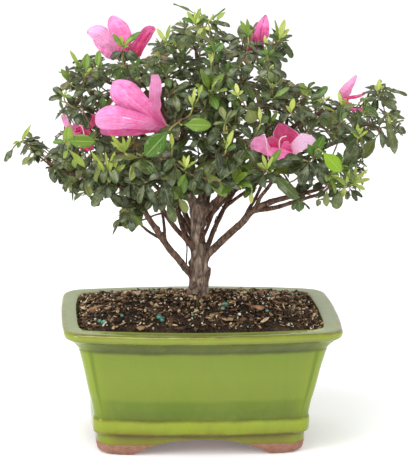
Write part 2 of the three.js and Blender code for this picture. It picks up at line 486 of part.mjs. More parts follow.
// ---------------------------------------------------------------- flowers
// One fused funnel of five lobes. s runs along a petal, and the slope opens outwards along it.
const LOBES = 5;
function corolla(f) {
  const around = LOBES * 4;
  const along = 3;
  const length = 46 * f.size;
  const profile = (s) => {
    let r = 2.4 * Math.max(f.size, 0.8);
    let z = 0;
    let slope = 0;
    const n = 24;
    for (let i = 0; i < n * s; i++) {
      const u = (i + 0.5) / n;
      const start = THREE.MathUtils.degToRad(16);
      const end = THREE.MathUtils.degToRad(f.open < 0.3 ? -14 : 18 + 62 * f.open);
      slope = lerp(start, end, THREE.MathUtils.smoothstep(u, 0.15, 0.95));
      const step = (length / n) * Math.min(1, n * s - i);
      r += Math.sin(slope) * step;
      z += Math.cos(slope) * step;
    }
    return { r, z, slope };
  };
  const outer = [];
  const inner = [];
  for (let k = 0; k <= along; k++) {
    const ro = [];
    const ri = [];
    for (let i = 0; i < around; i++) {
      const a = (i / around) * Math.PI * 2 + 0.017;
      const lobe = 0.57 + 0.43 * (0.5 + 0.5 * Math.cos(LOBES * a)) ** 0.6;
      const q = profile((k / along) * lobe);
      const t = PETAL_THICKNESS;
      ro.push(V(q.r * Math.cos(a), q.r * Math.sin(a), q.z));
      const r2 = q.r - t * Math.cos(q.slope);
      ri.push(V(r2 * Math.cos(a), r2 * Math.sin(a), q.z + (k === 0 ? 0 : t * Math.sin(q.slope))));
    }
    outer.push(ro);
    inner.push(ri);
  }
  return loft([...outer, ...inner.reverse()], { ring: true });
}

function flowerMatrix(f) {
  const q = new THREE.Quaternion().setFromUnitVectors(V(0, 0, 1), V(...f.axis).normalize());
  q.multiply(new THREE.Quaternion().setFromAxisAngle(V(0, 0, 1), f.turn));
  return new THREE.Matrix4().compose(V(...f.base), q, V(1, 1, 1));
}

// The green cup under the petals, with the stalk that carries it.
function calyx(f) {
  const k = Math.max(f.size, 0.8);
  const profile = [[0, -3.2], [1.1, -3.2], [3.0, -1.6], [2.4 * k + 1.5, 1.6], [2.4 * k + 1.0, 1.6], [2.4 * k + 0.4, -GAP], [0, -GAP]]
    .map(([r, z]) => new THREE.Vector2(r, z));
  const cup = new THREE.LatheGeometry(profile, 7);
  const upright = new THREE.Matrix4().makeRotationX(Math.PI / 2);
  const m = flowerMatrix(f);
  return solid(cup, m.clone().multiply(upright)).add(solid(limb(f.stalk, 4, 3)));
}

function stamens(f) {
  const m = flowerMatrix(f);
  const parts = [];
  const base = new THREE.CylinderGeometry(1.0, 1.2, 2.4, 6);
  parts.push(solid(base, m.clone().multiply(new THREE.Matrix4().makeTranslation(0, 0, 1.25))
    .multiply(new THREE.Matrix4().makeRotationX(Math.PI / 2))));
  const reach = 33 * f.size;
  for (let i = 0; i < 5; i++) {
    const a = (i / 4) * Math.PI * 2 + 0.3;
    const out = i === 4 ? 0.4 : 1;
    const tall = i === 4 ? 1.14 : 0.86 + 0.06 * (i % 3);
    const path = [
      [0.45 * Math.cos(a), 0.45 * Math.sin(a), 1.2, 0.42],
      [1.3 * out * Math.cos(a), 1.3 * out * Math.sin(a), reach * 0.35, 0.36],
      [3.2 * out * Math.cos(a), 3.2 * out * Math.sin(a), reach * 0.75 * tall, 0.36],
      [4.4 * out * Math.cos(a) + 0.6, 4.4 * out * Math.sin(a), reach * tall, 0.5],
    ].map(([x, y, z, r]) => {
      const q = V(x, y, z).applyMatrix4(m);
      return [q.x, q.y, q.z, r];
    });
    parts.push(solid(limb(path, 3, 3)));
  }
  return wasm.Manifold.union(parts);
}

// ---------------------------------------------------------------- the build
const root = new THREE.Group();
root.name = 'satsuki_azalea_bonsai';

root.add(meshOf('pot', makePot(), '#8fa34b', 0.16));
root.add(meshOf('drain_mesh_left', drainMesh(-DRAIN_HOLE_X), '#2c2f2c', 0.6));
root.add(meshOf('drain_mesh_right', drainMesh(DRAIN_HOLE_X), '#2c2f2c', 0.6));
root.add(meshOf('soil', makeSoil(), '#38291f', 1.0));
for (const c of BARK_CHIPS) root.add(meshOf(c[0], barkChip(c), '#9a7350', 0.95));
for (const p of PELLETS) root.add(meshOf(p[0], pellet(p), '#3f8f86', 0.6));
root.add(meshOf('trunk_and_branches', makeWood(), '#6e5a4b', 0.95));

for (const [name, points] of Object.entries(LIMBS)) {
  if (name !== 'trunk') addCapsules(points, -1, name, limbSteps(points));
}
addCapsules(STOCK, -1, 'trunk', 10);

// The nearest place on the wood from which a straight stalk reaches the target without touching anything.
const woodPoints = [];
for (const [name, points] of Object.entries(LIMBS)) {
  if (name === 'trunk' || name.startsWith('leader')) continue;
  const list = stations(points, limbSteps(points));
  for (let k = 1; k < list.length; k++) {
    const [p, q] = [list[k - 1], list[k]];
    const tangent = q.c.clone().sub(p.c).normalize();
    for (let i = 1; i <= 6; i++) {
      woodPoints.push({ q: p.c.clone().lerp(q.c, i / 6), r: lerp(p.r, q.r, i / 6), tip: k === list.length - 1 && i === 6, tangent, name });
    }
  }
}
function stalkTo(target, owner, radius) {
  const sorted = woodPoints.map((w) => ({ w, d: w.q.distanceTo(target) - (w.tip ? 5 : 0) })).sort((x, y) => x.d - y.d);
  for (const { w } of sorted.slice(0, 500)) {
    const dir = target.clone().sub(w.q);
    const d = dir.length();
    dir.divideScalar(d);
    const along = dir.dot(w.tangent);
    const across = Math.sqrt(Math.max(0, 1 - along * along));
    if (w.tip ? along < 0.5 : across < 0.72) continue;
    const reach = w.tip
      ? (GAP + 0.12 + radius * across) / along
      : (w.r + GAP + 0.12 + radius * Math.abs(along)) / across;
    if (d < reach + 3) continue;
    const start = w.q.clone().addScaledVector(dir, reach);
    let ok = true;
    for (let k = 0; k <= 24 && ok; k++) {
      const p = start.clone().lerp(target, k / 24);
      const close = p.distanceTo(start) < 3.5;
      if (clearance(p, owner, close ? w.name : null) < radius + 0.4) ok = false;
      if (owner < 100 && inFlower(p)) ok = false;
    }
    if (ok) return { start, dir };
  }
  return null;
}

FLOWERS.forEach((f, k) => {
  const axis = V(...f.axis).normalize();
  const base = V(...f.base);
  const neck = base.clone().addScaledVector(axis, -6.5);
  const s = stalkTo(neck, 100 + k, 0.75);
  if (!s) throw new Error(`no stalk for ${f.name}`);
  const p = (v, r) => [v.x, v.y, v.z, r];
  f.stalk = [p(s.start, 0.75), p(s.start.clone().lerp(neck, 0.6), 0.75), p(neck, 0.8), p(base.clone().addScaledVector(axis, -2.4), 0.9)];
  addCapsules(f.stalk, 100 + k, '', 3);
  const red = f.name === 'flower_top_bud' ? '#e04a90' : '#ee6fb0';
  root.add(meshOf(`${f.name}_corolla`, solid(corolla(f), flowerMatrix(f)), red, 0.6));
  root.add(meshOf(`${f.name}_calyx`, calyx(f), '#6f8a3c', 0.7));
  if (f.open > 0.3) root.add(meshOf(`${f.name}_stamens`, stamens(f), '#f3a9cc', 0.6));
});

// Leafy shoots. The green shoot wood comes first for all of them, so that leaves can keep clear of it.
const shoots = SHOOTS.map(([name, centre], k) => {
  const c = V(...centre);
  const s = stalkTo(c, k, 0.95);
  if (!s) throw new Error(`no stalk for ${name}`);
  const stem = [[s.start.x, s.start.y, s.start.z, 0.95], [c.x, c.y, c.z, 1.0]];
  addCapsules(stem, k, '', 1);
  return { name, centre: c, stem, dir: s.dir, k };
});

const GOLDEN = Math.PI * (3 - Math.sqrt(5));
const leafMatrix = (at, dir, up) => {
  const across = dir.clone().cross(up).normalize();
  const normal = dir.clone().cross(across).normalize();
  return new THREE.Matrix4().makeBasis(dir, across, normal).setPosition(at);
};
// A blade is widest a little past its middle; its pointed foot sits inside the twig that bears it.
function leafFits(local, length, width, own) {
  const corner = (u, v, w) => V(u, v, w).applyMatrix4(local);
  for (const [u, v] of [[length * 0.58, -width / 2], [length * 0.58, width / 2], [length, 0]]) {
    for (const w of [-LEAF_THICKNESS / 2, LEAF_THICKNESS / 2]) {
      const p = corner(u, v, w);
      if (!insideCell(p, own, 0.3) || !insideCanopy(p)) return false;
    }
  }
  for (let s = 1; s <= 8; s++) {
    const t = s / 8;
    const half = width / 2 * Math.min(t / 0.58, (1 - t) / 0.42);
    for (const q of [-1, 0, 1]) {
      const p = corner(length * t, half * q, 0);
      if (clearance(p, own) < 1.2 || inFlower(p)) return false;
    }
  }
  return true;
}
// The last leaf of a twig grows straight out of its end.
function twigWithLeaf(from, end, local, length, width) {
  const x = new THREE.Vector3();
  const y = new THREE.Vector3();
  const z = new THREE.Vector3();
  local.extractBasis(x, y, z);
  const ring = (c, a, b) => [[a, 0], [0, b], [-a, 0], [0, -b]].map(([p, q]) => c.clone().addScaledVector(y, p).addScaledVector(z, q));
  const flat = (c, a, b) => [[a, -b], [a, b], [-a, b], [-a, -b]].map(([p, q]) => c.clone().addScaledVector(y, p).addScaledVector(z, q));
  const rings = [ring(from, 0.95, 0.95), ring(end, 0.9, 0.9),
    flat(end.clone().addScaledVector(x, length * 0.58), width / 2, LEAF_THICKNESS / 2),
    flat(end.clone().addScaledVector(x, length), 0.7, LEAF_THICKNESS / 2)];
  return solid(loft(rings));
}
function leafBlade(local, length, width) {
  const shape = new THREE.Shape();
  shape.moveTo(-0.6, 0);
  shape.lineTo(length * 0.58, -width / 2);
  shape.lineTo(length, 0);
  shape.lineTo(length * 0.58, width / 2);
  shape.closePath();
  const blade = new THREE.ExtrudeGeometry(shape, { depth: LEAF_THICKNESS, bevelEnabled: false, steps: 1 });
  return solid(blade, local.clone().multiply(new THREE.Matrix4().makeTranslation(0, 0, -LEAF_THICKNESS / 2)));
}

for (const shoot of shoots) {
  const random = randomSource(7919 * (shoot.k + 3));
  const parts = [solid(limb(shoot.stem, 4, 1))];
  const out = V(shoot.centre.x * 0.9, shoot.centre.y * 1.3, (shoot.centre.z - 215) * 0.9 + 14).normalize();
  const twigs = [];
  for (let i = 1; i < 140 && twigs.length < 3; i++) {
    const z = 1 - 2 * ((i * 0.618) % 1);
    const a = i * GOLDEN;
    const d = V(Math.cos(a) * Math.sqrt(1 - z * z), Math.sin(a) * Math.sqrt(1 - z * z), z).addScaledVector(out, 0.6).normalize();
    const length = 12 + 8 * random();
    const end = shoot.centre.clone().addScaledVector(d, length);
    let ok = insideCanopy(end) && twigs.every((t) => t.d.dot(d) < 0.4) && d.dot(shoot.dir) > -0.6;
    for (let s = 2; s <= 8 && ok; s++) {
      const p = shoot.centre.clone().lerp(end, s / 8);
      if (!insideCell(p, shoot.k, 1.4) || clearance(p, shoot.k) < 1.5 || inFlower(p)) ok = false;
    }
    if (ok) twigs.push({ d, end, length });
  }
  if (!twigs.length) throw new Error(`no room for ${shoot.name}`);
  twigs.forEach((t, number) => {
    const e1 = t.d.clone().cross(Math.abs(t.d.z) < 0.9 ? V(0, 0, 1) : V(1, 0, 0)).normalize();
    const e2 = t.d.clone().cross(e1).normalize();
    const kinds = number === 0 ? [[0, 0], [1.05, 0], [1.05, Math.PI]] : [[0, 0], [1.05, number]];
    for (const [spread, offset] of kinds) {
      let grown = false;
      for (let n = 0; n < 16 && !grown; n++) {
        const a = offset + n * 0.4 * (n % 2 ? 1 : -1) + (random() - 0.5) * 0.2;
        const lift = spread + (random() - 0.5) * 0.3 + (n > 5 && spread ? -0.25 : 0);
        const dir = t.d.clone().multiplyScalar(Math.cos(lift))
          .addScaledVector(e1, Math.sin(lift) * Math.cos(a)).addScaledVector(e2, Math.sin(lift) * Math.sin(a)).normalize();
        const length = lerp(16, 23, random());
        const width = length * lerp(0.38, 0.46, random());
        if (spread) {
          const local = leafMatrix(t.end.clone().addScaledVector(t.d, -1.1 - (offset ? 0.9 : 0)), dir, t.d);
          if (!leafFits(local, length, width, shoot.k)) continue;
          parts.push(leafBlade(local, length, width));
        } else {
          const local = leafMatrix(t.end, dir, V(0.2 * random(), 0.2, 1));
          if (!leafFits(local, length, width, shoot.k)) continue;
          parts.push(twigWithLeaf(shoot.centre, t.end, local, length, width));
        }
        grown = true;
      }
      if (!grown && !spread) {
        const c = shoot.centre;
        parts.push(solid(limb([[c.x, c.y, c.z, 0.95], [t.end.x, t.end.y, t.end.z, 0.9]], 4, 1)));
      }
    }
  });
  const body = wasm.Manifold.union(parts);
  const pieces = body.decompose();
  pieces.sort((p, q) => q.volume() - p.volume());
  root.add(meshOf(shoot.name, pieces[0], shoot.k % 3 === 0 ? '#4d6a35' : '#3d5730', 0.4));
}

export default root;
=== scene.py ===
"""Satsuki azalea bonsai in a green glazed pot: the looks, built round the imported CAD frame.

Lengths in the tables are millimetres in the CAD frame; every mesh is written in metres."""
import math
import bpy
import numpy as np
from mathutils import Matrix, Vector


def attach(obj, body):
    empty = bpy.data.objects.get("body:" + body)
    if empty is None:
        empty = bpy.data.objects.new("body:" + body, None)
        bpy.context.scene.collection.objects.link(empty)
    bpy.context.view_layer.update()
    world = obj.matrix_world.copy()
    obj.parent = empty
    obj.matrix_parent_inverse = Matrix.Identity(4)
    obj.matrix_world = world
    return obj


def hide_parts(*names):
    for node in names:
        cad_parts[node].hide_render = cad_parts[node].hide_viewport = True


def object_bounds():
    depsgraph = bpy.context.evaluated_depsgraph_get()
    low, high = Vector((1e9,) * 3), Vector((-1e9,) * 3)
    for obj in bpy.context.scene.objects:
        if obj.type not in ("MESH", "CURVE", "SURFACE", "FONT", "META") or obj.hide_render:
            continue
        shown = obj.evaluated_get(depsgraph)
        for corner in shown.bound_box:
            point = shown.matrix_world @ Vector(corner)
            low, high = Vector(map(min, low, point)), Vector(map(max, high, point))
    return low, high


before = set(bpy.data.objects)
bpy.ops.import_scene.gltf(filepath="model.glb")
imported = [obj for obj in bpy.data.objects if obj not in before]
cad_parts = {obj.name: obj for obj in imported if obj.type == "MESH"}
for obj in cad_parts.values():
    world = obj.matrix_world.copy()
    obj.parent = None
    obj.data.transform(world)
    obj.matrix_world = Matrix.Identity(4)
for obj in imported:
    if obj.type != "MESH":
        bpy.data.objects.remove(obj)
CAD_LO, CAD_HI = [list(c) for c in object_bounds()]
MM = 0.001
scene = bpy.context.scene


# ------------------------------------------------------------------ camera
IMG_W, IMG_H = 410, 465
def make_camera():
    scale, height, dist = 0.733, 96.0, 1375.0
    yaw, elev, roll = math.radians(4.65), math.radians(17.0), math.radians(1.1)
    f = dist / scale
    back = np.array([-math.sin(yaw) * math.cos(elev), -math.cos(yaw) * math.cos(elev), math.sin(elev)])
    place = np.array([0, 0, height]) + dist * back
    fwd0 = -back
    right0 = np.array([math.cos(yaw), -math.sin(yaw), 0.0])
    up0 = np.cross(right0, fwd0)
    right1 = right0 * math.cos(roll) + up0 * math.sin(roll)
    up1 = up0 * math.cos(roll) - right0 * math.sin(roll)
    ox, oy = 199.6 - IMG_W / 2, 310.2 - IMG_H / 2
    fwd = fwd0 - (ox / f) * right1 + (oy / f) * up1
    fwd /= np.linalg.norm(fwd)
    right = right1 - (right1 @ fwd) * fwd
    right /= np.linalg.norm(right)
    up = np.cross(right, fwd)
    data = bpy.data.cameras.new("camera")
    data.sensor_fit = "AUTO"
    data.sensor_width = 36.0
    data.lens = 36.0 * f / max(IMG_W, IMG_H)
    data.clip_start, data.clip_end = 0.05, 20.0
    cam = bpy.data.objects.new("camera", data)
    scene.collection.objects.link(cam)
    m = Matrix.Identity(4)
    for i in range(3):
        m[i][0], m[i][1], m[i][2], m[i][3] = right[i], up[i], -fwd[i], place[i] * MM
    cam.matrix_world = m
    scene.camera = cam
    return place, fwd, right, up, f


CAM, FWD, RIGHT, UP, FOCAL = make_camera()


def unproj(px, py, y):
    """The point on the plane Y = y (mm) that lies on the line of sight through a picture position."""
    ray = FWD + RIGHT * (px - IMG_W / 2) / FOCAL - UP * (py - IMG_H / 2) / FOCAL
    return CAM + (y - CAM[1]) / ray[1] * ray


# ------------------------------------------------------------------ numbers that look random but never change
def lattice(ix, iy, iz, seed):
    h = (ix.astype(np.int64) * 374761393 + iy.astype(np.int64) * 668265263 + iz.astype(np.int64) * 1440662683
         + seed * 1274126177) & 0xFFFFFFFF
    h = ((h ^ (h >> 13)) * 1103515245) & 0xFFFFFFFF
    h = ((h ^ (h >> 16)) * 2654435761) & 0xFFFFFFFF
    return ((h ^ (h >> 15)) & 0xFFFFFF) / float(0xFFFFFF) * 2.0 - 1.0


def noise3(p, scale, seed=0):
    """Smooth noise from -1 to 1 at points p, with features about `scale` mm across."""
    q = np.asarray(p, float) / scale
    i = np.floor(q).astype(np.int64)
    t = q - i
    t = t * t * t * (t * (t * 6 - 15) + 10)
    out = 0.0
    for dx in (0, 1):
        wx = t[..., 0] if dx else 1 - t[..., 0]
        for dy in (0, 1):
            wy = t[..., 1] if dy else 1 - t[..., 1]
            for dz in (0, 1):
                wz = t[..., 2] if dz else 1 - t[..., 2]
                out = out + wx * wy * wz * lattice(i[..., 0] + dx, i[..., 1] + dy, i[..., 2] + dz, seed)
    return out


def fbm(p, scale, seed=0, octaves=3):
    out, amp = 0.0, 1.0
    for k in range(octaves):
        out = out + amp * noise3(p, scale / 2 ** k, seed + 17 * k)
        amp *= 0.5
    return out / 1.6


# ------------------------------------------------------------------ meshes
class Build:
    """Gathers vertices, faces and per-vertex values, then makes one mesh object."""

    def __init__(self):
        self.v, self.q, self.t, self.a, self.n = [], [], [], {}, 0

    def add(self, verts, quads=None, tris=None, **values):
        verts = np.asarray(verts, float).reshape(-1, 3)
        if quads is not None and len(quads):
            self.q.append(np.asarray(quads, np.int64).reshape(-1, 4) + self.n)
        if tris is not None and len(tris):
            self.t.append(np.asarray(tris, np.int64).reshape(-1, 3) + self.n)
        for k, val in values.items():
            val = np.asarray(val, float)
            if val.ndim == 0:
                val = np.full(len(verts), float(val))
            self.a.setdefault(k, []).append((self.n, val))
        self.v.append(verts)
        self.n += len(verts)

    def tris_count(self):
        return sum(len(q) for q in self.q) * 2 + sum(len(t) for t in self.t)

    def make(self, name, material, body="root", slot=None, replaces=(), smooth=True):
        v = np.concatenate(self.v)
        q = np.concatenate(self.q) if self.q else np.zeros((0, 4), np.int64)
        t = np.concatenate(self.t) if self.t else np.zeros((0, 3), np.int64)
        me = bpy.data.meshes.new(name)
        me.vertices.add(len(v))
        me.vertices.foreach_set("co", (v * MM).astype(np.float32).ravel())
        me.loops.add(q.size + t.size)
        me.loops.foreach_set("vertex_index", np.concatenate([q.ravel(), t.ravel()]).astype(np.int32))
        me.polygons.add(len(q) + len(t))
        starts = np.concatenate([np.arange(len(q)) * 4, len(q) * 4 + np.arange(len(t)) * 3])
        me.polygons.foreach_set("loop_start", starts.astype(np.int32))
        me.update(calc_edges=True)
        me.validate()
        me.shade_smooth() if smooth else me.shade_flat()
        for key, parts in self.a.items():
            full = np.zeros(len(v), np.float32)
            for start, val in parts:
                full[start:start + len(val)] = val
            at = me.attributes.new(key, "FLOAT", "POINT")
            at.data.foreach_set("value", full)
        me.materials.append(material)
        o = bpy.data.objects.new(name, me)
        scene.collection.objects.link(o)
        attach(o, body)
        if replaces:
            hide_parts(*replaces)
        return o


def grid_quads(rows, cols, wrap=False, flip=False):
    """Quads over a grid of rows x cols vertices; wrap joins the last column to the first."""
    c = np.arange(cols if wrap else cols - 1)
    r = np.arange(rows - 1)[:, None]
    a = r * cols + c
    b = r * cols + (c + 1) % cols
    quads = np.stack([a, b, b + cols, a + cols], -1).reshape(-1, 4)
    return quads[:, ::-1] if flip else quads


def unit(v):
    v = np.asarray(v, float)
    return v / np.maximum(np.linalg.norm(v, axis=-1, keepdims=True), 1e-12)


def smooth_line(points, n):
    """n stations on a smooth line through points; extra columns such as the radius ride along."""
    p = np.asarray(points, float)
    if len(p) == 2:
        u = np.linspace(0, 1, n)[:, None]
        return p[0] * (1 - u) + p[1] * u
    d = np.linalg.norm(np.diff(p[:, :3], axis=0), axis=1) ** 0.5
    knots = np.concatenate([[0], np.cumsum(np.maximum(d, 1e-6))])
    ext = np.vstack([2 * p[0] - p[1], p, 2 * p[-1] - p[-2]])
    kx = np.concatenate([[knots[0] - (knots[1] - knots[0])], knots, [knots[-1] + (knots[-1] - knots[-2])]])
    dense_u = np.linspace(0, knots[-1], max(200, 24 * len(p)))
    seg = np.clip(np.searchsorted(knots, dense_u, side="right") - 1, 0, len(p) - 2)
    t0, t1, t2, t3 = kx[seg], kx[seg + 1], kx[seg + 2], kx[seg + 3]
    p0, p1, p2, p3 = ext[seg], ext[seg + 1], ext[seg + 2], ext[seg + 3]
    t = dense_u
    w = lambda a, b: ((b - t) / (b - a))[:, None]
    a1 = w(t0, t1) * p0 + (1 - w(t0, t1)) * p1
    a2 = w(t1, t2) * p1 + (1 - w(t1, t2)) * p2
    a3 = w(t2, t3) * p2 + (1 - w(t2, t3)) * p3
    b1 = w(t0, t2) * a1 + (1 - w(t0, t2)) * a2
    b2 = w(t1, t3) * a2 + (1 - w(t1, t3)) * a3
    dense = w(t1, t2) * b1 + (1 - w(t1, t2)) * b2
    s = np.concatenate([[0], np.cumsum(np.linalg.norm(np.diff(dense[:, :3], axis=0), axis=1))])
    at = np.linspace(0, s[-1], n)
    return np.stack([np.interp(at, s, dense[:, k]) for k in range(p.shape[1])], -1)


def tube_frames(c):
    """Two side directions at every station of a line, turning as little as possible along it."""
    c = np.asarray(c, float)
    tang = unit(np.gradient(c, axis=0))
    ref = np.array([0.0, 0.0, 1.0]) if abs(tang[0][2]) < 0.9 else np.array([1.0, 0.0, 0.0])
    n = unit(np.cross(tang[0], ref))
    ns = []
    for t in tang:
        n = unit(n - (n @ t) * t)
        ns.append(n)
    ns = np.array(ns)
    return tang, ns, np.cross(tang, ns)


def tube(build, line, radius, sides=8, caps=True, bumps=None, **values):
    """A closed tube with round ends along a line. bumps(p, angle, s) gives a factor on the radius."""
    c = np.asarray(line, float)[:, :3]
    n = len(c)
    tang, e1, e2 = tube_frames(c)
    a = np.arange(sides) / sides * 2 * math.pi
    r = np.broadcast_to(np.asarray(radius, float), (n,))[:, None]
    ring = c[:, None] + r[..., None] * (np.cos(a)[None, :, None] * e1[:, None] + np.sin(a)[None, :, None] * e2[:, None])
    if bumps is not None:
        k = bumps(ring, a)
        ring = c[:, None] + (ring - c[:, None]) * k[..., None]
    verts = ring.reshape(-1, 3)
    quads = grid_quads(n, sides, wrap=True)
    tris = []
    if caps:
        tip0 = c[0] - tang[0] * r[0, 0] * 0.55
        tip1 = c[-1] + tang[-1] * r[-1, 0] * 0.55
        verts = np.vstack([verts, tip0, tip1])
        i0, i1 = n * sides, n * sides + 1
        s = np.arange(sides)
        tris = np.vstack([np.stack([np.full(sides, i0), (s + 1) % sides, s], -1),
                          np.stack([np.full(sides, i1), (n - 1) * sides + s, (n - 1) * sides + (s + 1) % sides], -1)])
    vals = {}
    for k, val in values.items():
        val = np.asarray(val, float)
        if val.ndim == 0:
            vals[k] = np.full(len(verts), float(val))
        else:
            full = np.repeat(val, sides)
            vals[k] = np.concatenate([full, [val[0], val[-1]]]) if caps else full
    build.add(verts, quads, tris, **vals)
    return ring


# ------------------------------------------------------------------ materials
def srgb(r, g, b):
    def lin(c):
        c /= 255.0
        return c / 12.92 if c <= 0.04045 else ((c + 0.055) / 1.055) ** 2.4
    return (lin(r), lin(g), lin(b), 1.0)


class Mat:
    """A small writer of node materials round one Principled shader."""

    def __init__(self, name, **sockets):
        self.m = bpy.data.materials.new(name)
        self.m.use_nodes = True
        self.nt = self.m.node_tree
        self.nt.nodes.clear()
        self.out = self.nt.nodes.new("ShaderNodeOutputMaterial")
        self.b = self.nt.nodes.new("ShaderNodeBsdfPrincipled")
        self.nt.links.new(self.b.outputs[0], self.out.inputs[0])
        self.coord = self.nt.nodes.new("ShaderNodeTexCoord").outputs["Object"]
        for k, v in sockets.items():
            self.b.inputs[k.replace("_", " ")].default_value = v

    def set(self, name, value):
        if isinstance(value, bpy.types.NodeSocket):
            self.nt.links.new(value, self.b.inputs[name])
        else:
            self.b.inputs[name].default_value = value

    def put(self, socket, value):
        if isinstance(value, bpy.types.NodeSocket):
            self.nt.links.new(value, socket)
        elif value is not None:
            socket.default_value = value

    def math(self, op, a, b=0.0, c=None, clamp=False):
        n = self.nt.nodes.new("ShaderNodeMath")
        n.operation = op
        n.use_clamp = clamp
        self.put(n.inputs[0], a)
        self.put(n.inputs[1], b)
        if c is not None:
            self.put(n.inputs[2], c)
        return n.outputs[0]

    def stretch(self, scale, offset=(0, 0, 0)):
        n = self.nt.nodes.new("ShaderNodeMapping")
        self.put(n.inputs["Vector"], self.coord)
        n.inputs["Scale"].default_value = scale
        n.inputs["Location"].default_value = offset
        return n.outputs[0]

    def noise(self, scale, detail=3.0, rough=0.55, vector=None, distortion=0.0):
        n = self.nt.nodes.new("ShaderNodeTexNoise")
        self.put(n.inputs["Vector"], vector or self.coord)
        n.inputs["Scale"].default_value = scale
        n.inputs["Detail"].default_value = detail
        n.inputs["Roughness"].default_value = rough
        n.inputs["Distortion"].default_value = distortion
        return n.outputs["Fac"]

    def cells(self, scale, feature="F1", out="Distance", vector=None, random=1.0):
        n = self.nt.nodes.new("ShaderNodeTexVoronoi")
        n.feature = feature
        self.put(n.inputs["Vector"], vector or self.coord)
        n.inputs["Scale"].default_value = scale
        n.inputs["Randomness"].default_value = random
        return n.outputs[out]

    def ramp(self, fac, stops, interpolation="LINEAR"):
        n = self.nt.nodes.new("ShaderNodeValToRGB")
        n.color_ramp.interpolation = interpolation
        e = n.color_ramp.elements
        while len(e) > 1:
            e.remove(e[-1])
        for k, (pos, col) in enumerate(stops):
            el = e[0] if k == 0 else e.new(pos)
            el.position = pos
            el.color = col if len(col) == 4 else (*col, 1.0)
        self.put(n.inputs[0], fac)
        return n.outputs[0]

    def span(self, value, lo, hi, to_lo=0.0, to_hi=1.0, smooth=False):
        n = self.nt.nodes.new("ShaderNodeMapRange")
        n.interpolation_type = "SMOOTHSTEP" if smooth else "LINEAR"
        n.clamp = True
        self.put(n.inputs[0], value)
        for k, x in enumerate((lo, hi, to_lo, to_hi)):
            self.put(n.inputs[k + 1], x)
        return n.outputs[0]

    def mix(self, fac, a, b, mode="MIX"):
        n = self.nt.nodes.new("ShaderNodeMix")
        n.data_type = "RGBA"
        n.blend_type = mode
        self.put(n.inputs[0], fac)
        self.put(n.inputs[6], a)
        self.put(n.inputs[7], b)
        return n.outputs[2]

    def attr(self, name):
        n = self.nt.nodes.new("ShaderNodeAttribute")
        n.attribute_type = "GEOMETRY"
        n.attribute_name = name
        return n.outputs["Fac"]

    def xyz(self, vector=None):
        n = self.nt.nodes.new("ShaderNodeSeparateXYZ")
        self.put(n.inputs[0], vector or self.coord)
        return n.outputs

    def bump(self, height, strength=0.3, distance=0.001, under=None):
        n = self.nt.nodes.new("ShaderNodeBump")
        n.inputs["Strength"].default_value = strength
        n.inputs["Distance"].default_value = distance
        self.put(n.inputs["Height"], height)
        if under is not None:
            self.put(n.inputs["Normal"], under)
        return n.outputs[0]


